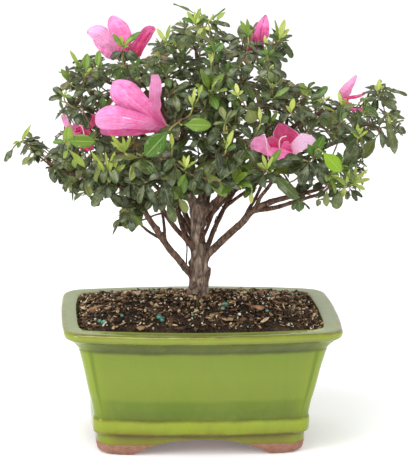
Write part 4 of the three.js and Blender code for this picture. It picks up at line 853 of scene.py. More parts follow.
def scatter(build, rng, shape, place, size, stretch, tone, rough=0.25, tilt=1.0):
    """Copies of one small shape, each turned, stretched and dented on its own."""
    v, f = shape
    n = len(place)
    turn = random_turns(rng, n)
    if tilt < 1.0:                      # flat pieces lie nearly level
        yaw = rng.uniform(0, 2 * math.pi, n)
        cx, cy = rng.normal(0, tilt, n), rng.normal(0, tilt, n)
        zax = unit(np.stack([cx, cy, np.ones(n)], -1))
        xax = np.stack([np.cos(yaw), np.sin(yaw), np.zeros(n)], -1)
        xax = unit(xax - (xax * zax).sum(-1, keepdims=True) * zax)
        turn = np.stack([xax, np.cross(zax, xax), zax], -1)
    pts = v[None] * stretch[:, None, :] * size[:, None, None]
    seeds = rng.uniform(0, 900, (n, 1, 3))
    pts = pts * (1 + rough * noise3(v[None] * 1.0 + seeds, 0.75, 3))[..., None]
    pts = np.einsum("nij,nkj->nki", turn, pts) + place[:, None, :]
    faces = (f[None] + (np.arange(n) * len(v))[:, None, None]).reshape(-1, 3)
    build.add(pts.reshape(-1, 3), None, faces, tone=np.repeat(tone, len(v)), along=np.tile(v[:, 0] * 0.5 + 0.5, n))


def on_soil(rng, n, margin=1.0, spread=1.0, clear=7.5):
    """Places spread over the soil, inside the pot and off the trunk."""
    out = []
    while len(out) < n:
        x = rng.uniform(-90, 90, 4 * n)
        y = rng.uniform(-55, 55, 4 * n)
        hl, hd = soil_edge(90.0)
        hl, hd = hl + 1.7 - margin, hd + 0.4 - margin
        keep = (np.abs(x) < hl + 2.0 * (1 - (y / hd) ** 2) - 1) & (np.abs(y) < hd - 6 + 6.4 * (1 - (x / hl) ** 2))
        cx, cy = np.abs(x) - (hl - 8), np.abs(y) - (hd - 13)
        keep &= ~((cx > 0) & (cy > 0) & (cx ** 2 + cy ** 2 > 60))
        keep &= ((x + 1.4) ** 2 + y ** 2 > clear ** 2) & (x < 85.6)
        out += list(np.stack([x[keep], y[keep]], -1))
    return np.array(out[:n])


def make_soil():
    rng = np.random.default_rng(4021)
    earth = grain_material("damp_peat", [(0.1, srgb(24, 17, 12)), (0.4, srgb(48, 36, 27)), (0.62, srgb(78, 60, 44)), (0.85, srgb(122, 98, 72)), (1.0, srgb(168, 142, 108))])
    # body of the soil: a lumpy sheet over straight sides
    b = Build()
    sheet, ks = [], list(np.linspace(0.0, 1.0, 46)[1:]) 
    hl, hd = 88.3, 51.6
    edge, _ = outline(0, hl, hd, 7.6, 6.8, 2.2, arc=14, long=58, short=34)
    count = len(edge)
    for k in ks:
        q = edge * k
        z = soil_height(q[:, 0], q[:, 1])
        p = np.column_stack([q[:, 0], q[:, 1], z])
        p[:, 2] += 0.9 * fbm(p, 7, 31) + 0.55 * fbm(p, 2.6, 32, 2)
        if k == ks[-1]:
            p[:, 2] -= 1.2
        sheet.append(p)
    centre = np.array([[0, 0, float(soil_height(0, 0))]])
    v = np.concatenate(sheet)
    tone = np.clip(0.42 + 0.3 * fbm(v, 6, 33) + 0.2 * fbm(v, 2, 34, 2), 0, 1)
    low = []
    for z in (88.0, 60.0, 24.0, 20.9):
        l, d = soil_edge(z)
        t = (z - 20.5) / 66
        r, _ = outline(z, l - 0.4, d - 0.4, 7.4, 3.4 + 3.2 * t, 1.4 + 0.8 * t, arc=14, long=58, short=34)
        low.append(r)
    allv = np.vstack([v, np.concatenate(low), centre, [[0, 0, 20.9]]])
    rows = len(sheet) + len(low)
    quads = grid_quads(rows, count, wrap=True, flip=True)
    s = np.arange(count)
    ci = rows * count
    tris = np.vstack([np.stack([np.full(count, ci), s, (s + 1) % count], -1),
                      np.stack([np.full(count, ci + 1), (rows - 1) * count + (s + 1) % count, (rows - 1) * count + s], -1)])
    tone = np.concatenate([tone, np.full(len(allv) - len(tone), 0.3)])
    b.add(allv, quads, tris, tone=tone, along=0.5)
    b.make("soil_bed", earth, slot="soil", replaces=("soil",))

    # loose crumbs
    crumbs = Build()
    n = 3300
    xy = on_soil(rng, n)
    size = np.clip(rng.lognormal(-0.05, 0.42, n), 0.45, 2.4) * 0.82
    z = soil_height(xy[:, 0], xy[:, 1]) + 0.75 + 0.35 * size + 0.9 * fbm(np.column_stack([xy, xy[:, :1] * 0]), 7, 31)
    tone = np.clip(rng.beta(1.6, 2.6, n), 0, 1)
    scatter(crumbs, rng, ico(1), np.column_stack([xy, z]), size, rng.uniform(0.6, 1.35, (n, 3)), tone, 0.5)
    crumbs.make("soil_crumbs", earth, slot="soil", smooth=False)

    # bark and wood bits, flat and angular
    bark = grain_material("bark_bits", [(0.08, srgb(50, 34, 24)), (0.35, srgb(96, 68, 48)), (0.52, srgb(152, 120, 86)), (0.72, srgb(206, 176, 136)), (1.0, srgb(242, 226, 196))], scale=700)
    bits = Build()
    n = 1700
    xy = on_soil(rng, n, margin=1.6)
    size = np.clip(rng.lognormal(0.12, 0.46, n), 0.5, 3.4) * 0.9
    z = soil_height(xy[:, 0], xy[:, 1]) + 1.5 + 0.9 * fbm(np.column_stack([xy, xy[:, :1] * 0]), 7, 31) + rng.uniform(0, 0.9, n)
    stretch = np.stack([rng.uniform(1.0, 1.9, n), rng.uniform(0.5, 1.0, n), rng.uniform(0.16, 0.4, n)], -1)
    scatter(bits, rng, ico(1), np.column_stack([xy, z]), size, stretch, np.clip(rng.beta(1.3, 1.5, n), 0, 1), 0.55, tilt=0.4)
    bits.make("bark_bits", bark, slot="bark_chip", smooth=False)

    # perlite and pale grit
    perlite = grain_material("perlite_grit", [(0.0, srgb(176, 160, 128)), (0.5, srgb(214, 200, 172)), (1.0, srgb(246, 240, 226))], rough=0.9, scale=1500, bump=0.4)
    white = Build()
    n = 420
    xy = on_soil(rng, n, margin=1.6)
    size = np.clip(rng.lognormal(-0.42, 0.4, n), 0.3, 1.25) * 0.85
    z = soil_height(xy[:, 0], xy[:, 1]) + 1.7 + 0.9 * fbm(np.column_stack([xy, xy[:, :1] * 0]), 7, 31) + rng.uniform(0, 0.5, n)
    scatter(white, rng, ico(1), np.column_stack([xy, z]), size, rng.uniform(0.45, 1.45, (n, 3)), rng.uniform(0, 1, n), 0.6)
    white.make("perlite_grit", perlite, slot="soil", smooth=False)

    # root hairs, needles and bark fibres
    fibre = plain_plant_material("fibres", srgb(74, 50, 34), srgb(150, 112, 78), rough=0.85, scale=600)
    hairs = Build()
    for k in range(230):
        x, y = on_soil(rng, 1, margin=4.0)[0]
        long = rng.uniform(3, 10)
        a = rng.uniform(0, 2 * math.pi)
        bend = rng.uniform(-0.9, 0.9)
        pts = []
        for s in np.linspace(-0.5, 0.5, 6):
            aa = a + bend * s
            px, py = x + long * s * math.cos(aa), y + long * s * math.sin(aa)
            hz = float(soil_height(px, py)) + 2.0 + 0.5 * math.sin(s * 5 + k) + rng.uniform(-0.2, 0.5)
            pts.append((px, py, hz))
        tube(hairs, smooth_line(pts, 9), np.linspace(0.26, 0.16, 9) * rng.uniform(0.7, 1.5), sides=5, along=np.linspace(0, 1, 9))
    hairs.make("soil_fibres", fibre, slot="bark_chip")


CHIPS = [("bark_chip_left", -75.5, -8, 11, 6, 0.4, 0.62), ("bark_chip_right", 39, -27, 10, 6.5, -0.5, 0.5),
         ("bark_chip_back", 45, 15, 9, 5, 0.9, 0.34)]
PELLETS = [("fertiliser_pellet_left", -71, -40, 2.0), ("fertiliser_pellet_middle", -32, -40, 2.0),
           ("fertiliser_pellet_right", 16.5, -24, 2.1)]


def make_chips():
    rng = np.random.default_rng(77)
    mat = grain_material("bark_chip", [(0.1, srgb(92, 60, 42)), (0.4, srgb(146, 102, 72)), (0.65, srgb(184, 142, 104)), (1.0, srgb(214, 180, 140))], scale=520)
    v, f = ico(3)
    for name, x, y, long, wide, turn, tone in CHIPS:
        b = Build()
        c = np.array([x, y, float(soil_height(x, y)) + 1.6])
        p = np.sign(v) * np.abs(v) ** np.array([0.72, 0.72, 0.5])
        p = p * np.array([long / 2, wide / 2, 1.35])
        p[:, 1] *= 1 - 0.28 * p[:, 0] / (long / 2)
        p[:, 2] += 0.35 * np.sin(p[:, 0] * 0.55) + 0.3 * noise3(p * [0.3, 1, 1] + x, 1.5, 9)
        p += 0.45 * np.stack([noise3(p + x, 2.2, k) for k in (1, 2, 3)], -1)
        ca, sa = math.cos(turn), math.sin(turn)
        q = np.column_stack([p[:, 0] * ca - p[:, 1] * sa, p[:, 0] * sa + p[:, 1] * ca, p[:, 2]]) + c
        b.add(q, None, f, tone=np.clip(tone + 0.25 * noise3(p, 2.5, 4), 0, 1), along=0.5)
        b.make(name + "_rough", mat, slot="bark_chip", replaces=(name,))
    bead = Mat("fertiliser_bead", Roughness=0.42, Coat_Weight=0.2)
    col = bead.ramp(bead.noise(700, 4, 0.6), [(0.3, srgb(30, 80, 70)), (0.5, srgb(62, 134, 116)), (0.72, srgb(150, 194, 174))])
    bead.set("Base Color", col)
    bead.set("Normal", bead.bump(bead.noise(1600, 3, 0.6), 0.3, 0.0003))
    v, f = ico(3)
    for name, x, y, r in PELLETS:
        b = Build()
        c = np.array([x, y, float(soil_height(x, y)) + 1.9])
        b.add(v * r * np.array([1.06, 0.96, 0.92]) * (1 + 0.05 * noise3(v + x, 0.8, 5))[:, None] + c, None, f, tone=0.5, along=0.5)
        b.make(name + "_bead", bead.m, slot="pellet", replaces=(name,))
    # a scatter of smaller, half-spent beads
    b = Build()
    spots = [(-83, -32, 1.5), (-74, -36, 1.7), (-30, -43, 1.6), (14, -30, 1.7), (46, -30, 1.2), (-58, -34, 1.2), (66, -22, 1.3),
             (-38, 12, 1.3), (-33, 8, 1.6), (28, 22, 1.2), (52, 4, 1.2), (-8, -38, 1.1), (-62, 22, 1.3), (8, 34, 1.4), (72, 26, 1.2)]
    for x, y, r in spots:
        c = np.array([x, y, float(soil_height(x, y)) + 1.7])
        vv, ff = ico(2)
        b.add(vv * r * (1 + 0.06 * noise3(vv + x, 0.8, 5))[:, None] + c, None, ff, tone=0.5, along=0.5)
    b.make("fertiliser_beads_small", bead.m, slot="pellet")


make_soil()
make_chips()


def make_drain_nets():
    """The two plastic nets over the drain holes: four flat bars each way, moulded in one."""
    net = Mat("drain_net_plastic", Roughness=0.5, IOR=1.46)
    dirt = net.noise(380, 4, 0.65)
    col = net.ramp(dirt, [(0.3, srgb(18, 22, 19)), (0.52, srgb(34, 42, 35)), (0.66, srgb(74, 60, 46)), (0.8, srgb(112, 92, 70))])
    net.set("Base Color", col)
    net.set("Roughness", net.span(dirt, 0.4, 0.7, 0.38, 0.85))
    net.set("Normal", net.bump(net.noise(1500, 3, 0.6), 0.35, 0.0002))
    for name, cx in (("drain_mesh_left", -38.0), ("drain_mesh_right", 38.0)):
        b = Build()
        s = np.linspace(-12.9, 12.9, 25)

        def flat(ring, a):
            k = ((np.abs(np.cos(a)) / 1.0) ** 3 + (np.abs(np.sin(a)) / 0.42) ** 3) ** (-1 / 3)
            return np.broadcast_to(k, ring.shape[:2]) * (1 + 0.03 * noise3(ring + cx, 1.4, 5))

        for at in (-11.8, -4.0, 4.0, 11.8):
            tube(b, np.column_stack([cx + s, np.full(25, at), np.full(25, 21.35)]), 1.18, sides=14, bumps=flat)
            tube(b, np.column_stack([np.full(25, cx + at), s, np.full(25, 21.35)]), 1.18, sides=14, bumps=flat)
        b.make(name + "_net", net.m, slot="mesh", replaces=(name,))


make_drain_nets()


# ------------------------------------------------------------------ the tree, as the CAD has it (mm)
# Every row is x, y, z and the radius of the wood there.
LIMBS = {
    "trunk": [(-1.1, 0, 99.2, 7.9), (-1.3, 0, 108.4, 7.6), (-1.2, 0, 115.2, 7.2), (-1.1, 0, 123.6, 6.9), (-1.3, 0, 133.4, 6.3), (-1.5, 0, 142.4, 5.7), (-2.1, 0, 149.2, 5.3), (-2.6, 0, 156.7, 5), (-2.7, 0, 164.9, 5.1), (-3.3, 0, 171.6, 5), (-3.8, 0, 175.3, 4.2)],
    "leader_left": [(-3.5, 0, 170.1, 3.8), (-6.4, -1, 177.8, 3.5), (-10.4, -3, 185, 3.1), (-12.3, -5, 195, 2.8), (-15.2, -8, 207.4, 2.5), (-19.1, -9, 220, 2.2), (-23.6, -10, 233.2, 2), (-28.7, -10, 246.8, 1.8), (-33.1, -9, 258.1, 1.6), (-34.5, -8, 267.9, 1.4)],
    "leader_right": [(-2.5, 0, 170.1, 3.8), (0, 2, 177.8, 3.4), (2.2, 5, 188.2, 3), (4.4, 8, 200.9, 2.7), (5.6, 8, 214.2, 2.5), (4.8, 6, 229.3, 2.2), (2.1, 4, 245, 2), (-1.2, 2, 260.5, 1.8), (-4.4, 0, 275.2, 1.5), (-6.1, 0, 288.1, 1.2)],
    "low_left": [(-5.3, 0, 122.1, 2.6), (-9.9, -2, 127.2, 2.5), (-15.5, -8, 135.7, 2.4), (-23.3, -14, 145.9, 2.3), (-28.8, -20, 154.9, 2.2), (-34, -26, 163.9, 2.1), (-41, -32, 175.6, 2), (-45.2, -36, 185.6, 1.9), (-52.8, -40, 194.5, 1.8), (-63.3, -43, 201.6, 1.7), (-75.8, -44, 206.1, 1.6), (-88.2, -42, 208.5, 1.5), (-100.6, -38, 209.7, 1.3), (-110.3, -34, 213.4, 1.2)],
    "low_left_up": [(-27.3, -19, 153.6, 1.2), (-28, -20, 164.1, 1.1), (-29.4, -20, 173.7, 1), (-33.5, -22, 185.1, 0.9)],
    "low_left_out": [(-30.9, -20, 156, 1.1), (-38.3, -24, 161.2, 1), (-44.5, -28, 167.3, 0.9), (-48.6, -30, 171.8, 0.8)],
    "left_2": [(-4.9, 0, 141.7, 1.9), (-12.1, -3, 151.5, 1.8), (-18.4, -6, 159, 1.7), (-23.9, -8, 166.6, 1.6), (-29.1, -9, 175.3, 1.5), (-37.1, -9, 185.6, 1.4), (-45.7, -7, 195.4, 1.4), (-55.6, -3, 204.8, 1.3), (-66.9, 3, 214.4, 1.2), (-76.9, 8, 224.2, 1.2), (-86.9, 8, 235.9, 1.1), (-93.4, 5, 245.8, 1)],
    "left_3": [(-4.8, 2, 144.2, 1.9), (-9.9, 4, 150.4, 1.8), (-13.4, 8, 157.6, 1.7), (-16.1, 14, 167.4, 1.6), (-17.7, 18, 174.7, 1.5), (-22, 28, 184.3, 1.4), (-29, 38, 196.4, 1.3), (-37.6, 46, 209.7, 1.2), (-45.7, 50, 223.9, 1.1)],
    "left_4": [(-4.1, 4, 154.2, 1.9), (-8.3, 8, 160.6, 1.8), (-11.4, 13, 166.9, 1.7), (-13.8, 17, 172.7, 1.6), (-15.5, 26, 180.3, 1.5), (-16.4, 38, 192.6, 1.4), (-18.2, 48, 205.5, 1.3), (-20.4, 52, 221.3, 1.2)],
    "low_right": [(1, -1, 133.7, 2.9), (5.1, -3, 139.5, 2.8), (10.4, -7, 146.2, 2.7), (18.4, -13, 156.3, 2.6), (27.5, -20, 167.4, 2.4), (35.2, -26, 178.4, 2.3), (47.3, -31, 185.5, 2), (58.6, -36, 190, 1.7), (70.7, -40, 194.2, 1.4), (82.2, -43, 198.2, 1.2)],
    "low_right_fork": [(34.6, -25, 177.1, 1.8), (41.3, -29, 179.2, 1.7), (49.9, -34, 181.9, 1.6), (60.4, -40, 187, 1.4), (72.3, -45, 192.2, 1.2), (80.2, -48, 195.4, 1)],
    "low_right_twig": [(27.5, -20, 167, 1.4), (32.2, -21, 177.6, 1.3), (36.2, -22, 185.1, 1.2), (40.3, -27, 197.3, 1.1)],
    "low_right_up": [(35.9, -26, 178.4, 1.5), (38.8, -30, 187.8, 1.4), (42.2, -36, 195, 1.3), (47.4, -44, 205.5, 1.1)],
    "right_thick": [(-1, 0, 164.9, 2.8), (3.5, -1, 171.5, 2.7), (10.7, -4, 179.3, 2.6), (16.7, -8, 187.6, 2.5), (24.7, -12, 198.9, 2.3), (34, -16, 210.7, 2.1), (44.7, -20, 222.5, 1.9), (55.9, -24, 233.4, 1.7), (67.7, -24, 242.1, 1.5), (80.6, -22, 247.4, 1.4), (93.5, -20, 250.7, 1.2), (105.3, -17, 252.3, 1.1)],
    "right_2": [(-1.4, -1, 146.5, 1.3), (2.2, -3, 154.5, 1.2), (5.5, -6, 164.2, 1.2), (9.1, -10, 176.7, 1.1), (11.7, -15, 190, 1.1), (14.5, -20, 205, 1), (16.6, -24, 221.1, 1)],
    "right_3": [(0.3, 1, 138.4, 2), (5, 2, 144.1, 1.9), (9.2, 6, 153.6, 1.8), (14.4, 10, 164.2, 1.7), (19.3, 14, 172.6, 1.6), (25, 18, 180.7, 1.5), (31.1, 22, 188, 1.5), (41.8, 28, 198.7, 1.4), (52.3, 32, 210.6, 1.3), (59.5, 34, 224.5, 1.2), (61.7, 32, 240.6, 1.2), (59.8, 26, 256.5, 1.1), (55.2, 16, 274.3, 1)],
    "right_3_out": [(18.2, 13, 170.6, 1.4), (26.1, 13, 177, 1.3), (33.9, 12, 182.9, 1.3), (44.5, 10, 191.6, 1.2), (57.9, 8, 200.2, 1.2), (72.4, 4, 208.6, 1.1), (89.7, 0, 218.3, 1), (105.5, -4, 226.5, 0.9), (117.7, -8, 231.8, 0.8)],
    "back_centre": [(-1.3, 3, 152.9, 2.2), (1.5, 12, 159.6, 2), (5.4, 26, 168.2, 1.9), (9.4, 42, 178, 1.7), (12.5, 55, 191.8, 1.5), (14.2, 62, 208.7, 1.4), (12.9, 60, 228.9, 1.3), (9.2, 48, 249.3, 1.1)],
    "back_left": [(-3.3, 3, 146.9, 2), (-7.8, 14, 153.1, 1.9), (-14.8, 32, 161.4, 1.7), (-23.6, 48, 170.4, 1.6), (-35.2, 58, 180.4, 1.4), (-48.6, 63, 188.4, 1.3), (-60.6, 64, 194.3, 1.1)],
    "back_right": [(-0.6, 3, 157.4, 2.1), (6, 14, 162.1, 2), (17.5, 30, 170.2, 1.8), (32.2, 46, 177.8, 1.6), (49.8, 58, 185.8, 1.4), (68.3, 63, 194.8, 1.3), (85.9, 60, 203.2, 1.1)],
    "front_left": [(-11.9, -5, 193.5, 1.9), (-17.4, -20, 204.3, 1.7), (-24.3, -38, 215.5, 1.5), (-30.3, -54, 224, 1.2)],
    "front_right": [(3.3, 6, 193.9, 1.9), (6.2, -10, 202, 1.7), (10.1, -28, 213.3, 1.5), (13.9, -46, 224.4, 1.3), (15.3, -58, 233.3, 1.1)],
    "upper_front": [(-18.3, -9, 217.8, 1.7), (-17.2, -22, 229.2, 1.5), (-14.9, -36, 242.1, 1.3), (-11.8, -48, 252.9, 1.1)],
    "upper_left": [(-27.3, -10, 242.5, 1.6), (-36, -12, 250.8, 1.4), (-47.4, -14, 258.9, 1.3), (-61.5, -15, 264.7, 1.2), (-74.1, -14, 269.4, 1)],
    "top_left": [(-32.3, -9, 256.7, 1.5), (-38.2, -12, 265.7, 1.3), (-44.9, -17, 273, 1.2), (-50, -21, 277.8, 1)],
    "upper_right": [(4, 6, 232.9, 1.7), (12.4, 6, 243.9, 1.5), (22.2, 6, 255.6, 1.4), (30.3, 4, 267.5, 1.2), (34.8, 2, 279.4, 1)],
    "upper_front_right": [(2.9, 4, 241.4, 1.6), (9.2, -12, 251.7, 1.4), (17.5, -28, 259.7, 1.2), (25.8, -42, 265.8, 1)],
    "upper_right_out": [(56.6, -24, 234.1, 1.4), (57, -24, 244.2, 1.2), (57, -22, 253.8, 1.1), (55.8, -18, 263, 1)],
    "far_right": [(93.5, -20, 250.7, 1.1), (105.1, -19, 250.5, 1), (117.1, -16, 248.6, 0.9)],
    "flower_twig_front": [(-23.6, -10, 233.2, 1.3), (-25.5, -24, 235.7, 1.2), (-27.5, -38, 238.5, 1.1), (-29.1, -48, 241.3, 1)],
    "flower_twig_right": [(47.4, -44, 205.5, 1.1), (49.7, -47, 211.2, 1)],
    "flower_twig_bud": [(34.5, 2, 278, 1), (34.7, -1, 285.6, 0.9)],
    "flower_twig_far_right": [(85, -21, 248, 1.1), (87, -24, 248.9, 1), (88.4, -26.5, 249.8, 0.9)],
    "flower_twig_side": [(-76.9, 8, 224.2, 1.1), (-80, -8, 223.2, 1), (-82.5, -24, 225.2, 0.95), (-83.3, -34, 227.3, 0.9)],
}
# The middle of every leafy part of the crown.
SHOOTS = [
    ("foliage_far_left", (-124.8, -31, 220.9)),
    ("foliage_left_tip", (-103.4, -38, 218.2)),
    ("foliage_left_low", (-84.8, -46, 199.5)),
    ("foliage_left_front", (-66.8, -62, 218.7)),
    ("foliage_left_inner_low", (-52.3, -32, 178.2)),
    ("foliage_left_outer_high", (-97.6, 4, 256.8)),
    ("foliage_left_high", (-79.7, -15, 275.9)),
    ("foliage_left_middle", (-92.9, -26, 229.8)),
    ("foliage_inner_front_left", (-40.5, -55, 212.2)),
    ("foliage_top_left", (-51.6, -8, 290.5)),
    ("foliage_upper_left", (-31, 8, 278)),
    ("foliage_centre_front", (-14.9, -62, 218.8)),
    ("foliage_centre_front_high", (-13.5, -52, 256.4)),
    ("foliage_crown", (-6.3, 0, 302.3)),
    ("foliage_crown_right", (19.5, 0, 286.8)),
    ("foliage_top_right", (46.5, 10, 278.2)),
    ("foliage_top_right_outer", (58.1, -14, 273)),
    ("foliage_right_front_high", (27.9, -48, 267)),
    ("foliage_right_front", (17.6, -62, 239.8)),
    ("foliage_inner_front_right", (24.4, -30, 199.4)),
    ("foliage_right_high", (76.4, -24, 257.1)),
    ("foliage_far_right_high", (124.8, -12, 252.2)),
    ("foliage_far_right", (122.5, -14, 229.4)),
    ("foliage_right_low_inner", (48, -56, 206.9)),
    ("foliage_right_low_middle", (71.8, -46, 201)),
    ("foliage_right_low_tip", (97.2, -46, 200.3)),
    ("foliage_right_middle", (89, -26, 233.2)),
    ("foliage_back_centre", (7.3, 66, 194)),
    ("foliage_back_high", (9.8, 48, 258.2)),
    ("foliage_back_right", (82.5, 64, 206.2)),
    ("foliage_back_left", (-41.7, 66, 190.1)),
    ("foliage_back_left_high", (-36.9, 52, 236.3)),
]


# ------------------------------------------------------------------ the wood
# Roots that leave the stock just under the soil, and the stock itself.
ROOTS = [
    [(-1.5, 0, 106, 4.4), (8, 3, 101, 3.4), (22, 8, 93, 2.2), (38, 12, 80, 1.2)],
    [(-1.5, 0, 106, 4.4), (3, 9, 100, 3.2), (7, 22, 90, 2.0), (9, 33, 76, 1.2)],
    [(-1.5, 0, 106, 4.4), (-11, 4, 101, 3.4), (-25, 9, 92, 2.2), (-42, 12, 78, 1.2)],
    [(-1.5, 0, 106, 4.4), (-8, -8, 100, 3.2), (-18, -20, 88, 2.0), (-26, -27, 72, 1.2)],
    [(-1.5, 0, 106, 4.4), (6, -8, 100, 3.0), (15, -19, 89, 2.0), (23, -27, 74, 1.2)],
]
STOCK = [(-1.2, 0, 84, 5.6), (-1.4, 0, 96, 7.2)] + LIMBS["trunk"][1:]
CORE_LO, CORE_HI, CELL = np.array([-46.0, -30.0, 90.0]), np.array([44.0, 40.0, 206.0]), 0.72


def limb_line(name, step=1.6):
    p = np.asarray(LIMBS[name], float)
    n = max(6, int(np.linalg.norm(np.diff(p[:, :3], axis=0), axis=1).sum() / step))
    return smooth_line(p, n)


def round_cone(points, a, b, ra, rb):
    """Distance from points to the skin of a length of wood that tapers from ra to rb."""
    ab = b - a
    t = np.clip(((points - a) @ ab) / max(ab @ ab, 1e-9), 0, 1)
    return np.linalg.norm(points - a - t[..., None] * ab, axis=-1) - (ra + (rb - ra) * t)


def soft_union(parts, lo, hi, cell):
    """A field over a grid: the union of parts, each a line of x, y, z, radius, blended where they meet."""
    n = np.ceil((hi - lo) / cell).astype(int) + 1
    axes = [lo[k] + cell * np.arange(n[k]) for k in range(3)]
    field = np.full(n, 9.0)
    for line, blend in parts:
        line = np.asarray(line, float)
        a0 = np.maximum(((line[:, :3].min(0) - 10 - lo) / cell).astype(int), 0)
        a1 = np.minimum(((line[:, :3].max(0) + 10 - lo) / cell).astype(int) + 1, n)
        if (a1 - a0 < 2).any():
            continue
        own = np.full(a1 - a0, 9.0)
        for p, q in zip(line[:-1], line[1:]):
            m = max(p[3], q[3]) + 4.5
            b0 = np.maximum(((np.minimum(p[:3], q[:3]) - m - lo) / cell).astype(int), a0)
            b1 = np.minimum(((np.maximum(p[:3], q[:3]) + m - lo) / cell).astype(int) + 1, a1)
            if (b1 - b0 < 1).any():
                continue
            g = np.stack(np.meshgrid(*[axes[k][b0[k]:b1[k]] for k in range(3)], indexing="ij"), -1)
            d = round_cone(g, p[:3], q[:3], p[3], q[3])
            sl = tuple(slice(b0[k] - a0[k], b1[k] - a0[k]) for k in range(3))
            own[sl] = np.minimum(own[sl], d)
        sl = tuple(slice(a0[k], a1[k]) for k in range(3))
        f = field[sl]
        h = np.clip(0.5 + 0.5 * (f - own) / blend, 0, 1)
        field[sl] = np.where(own > 8.9, f, f * (1 - h) + own * h - blend * h * (1 - h))
    return field, axes


def skin(field, lo, cell):
    """Surface nets: a mesh of quads over the zero level of a field, negative inside."""
    n = np.array(field.shape)
    m = n - 1
    cells = int(m.prod())
    stride = np.array([m[1] * m[2], m[2], 1])
    total = np.zeros((cells, 3))
    count = np.zeros(cells)
    edges = []
    for ax in range(3):
        lo_s = [slice(None)] * 3
        hi_s = [slice(None)] * 3
        lo_s[ax], hi_s[ax] = slice(0, -1), slice(1, None)
        a, b = field[tuple(lo_s)], field[tuple(hi_s)]
        idx = np.stack(np.nonzero((a < 0) != (b < 0)), -1)
        va, vb = a[tuple(idx.T)], b[tuple(idx.T)]
        pos = idx.astype(float)
        pos[:, ax] += va / (va - vb)
        u, w = [(1, 2), (2, 0), (0, 1)][ax]
        ok = (idx[:, u] > 0) & (idx[:, w] > 0) & (idx[:, u] < m[u]) & (idx[:, w] < m[w])
        around = []
        for du, dw in ((-1, -1), (0, -1), (0, 0), (-1, 0)):
            c = idx.copy()
            c[:, u] += du
            c[:, w] += dw
            good = ((c >= 0) & (c < m)).all(1)
            flat = c @ stride
            total += np.stack([np.bincount(flat[good], pos[good, k], cells) for k in range(3)], -1)
            count += np.bincount(flat[good], minlength=cells)
            around.append(flat)
        quad = np.stack(around, -1)[ok]
        inside_first = (va < 0)[ok]
        quad[~inside_first] = quad[~inside_first][:, ::-1]
        edges.append(quad)
    quads = np.concatenate(edges)
    used, inverse = np.unique(quads, return_inverse=True)
    verts = lo + cell * (total[used] / count[used][:, None])
    return verts, inverse.reshape(quads.shape)


def vertex_normals(v, quads):
    n = np.cross(v[quads[:, 2]] - v[quads[:, 0]], v[quads[:, 3]] - v[quads[:, 1]])
    out = np.zeros_like(v)
    for k in range(4):
        for c in range(3):
            out[:, c] += np.bincount(quads[:, k], n[:, c], len(v))
    return unit(out)


def nearest_girth(v, stations):
    from mathutils.kdtree import KDTree
    tree = KDTree(len(stations))
    for k, s in enumerate(stations):
        tree.insert(Vector(s[:3]), k)
    tree.balance()
    out = np.empty(len(v))
    for k, p in enumerate(v):
        out[k] = max(stations[i][3] for _, i, d in tree.find_n(Vector(p), 5) if d < 12) if True else 0
    return out


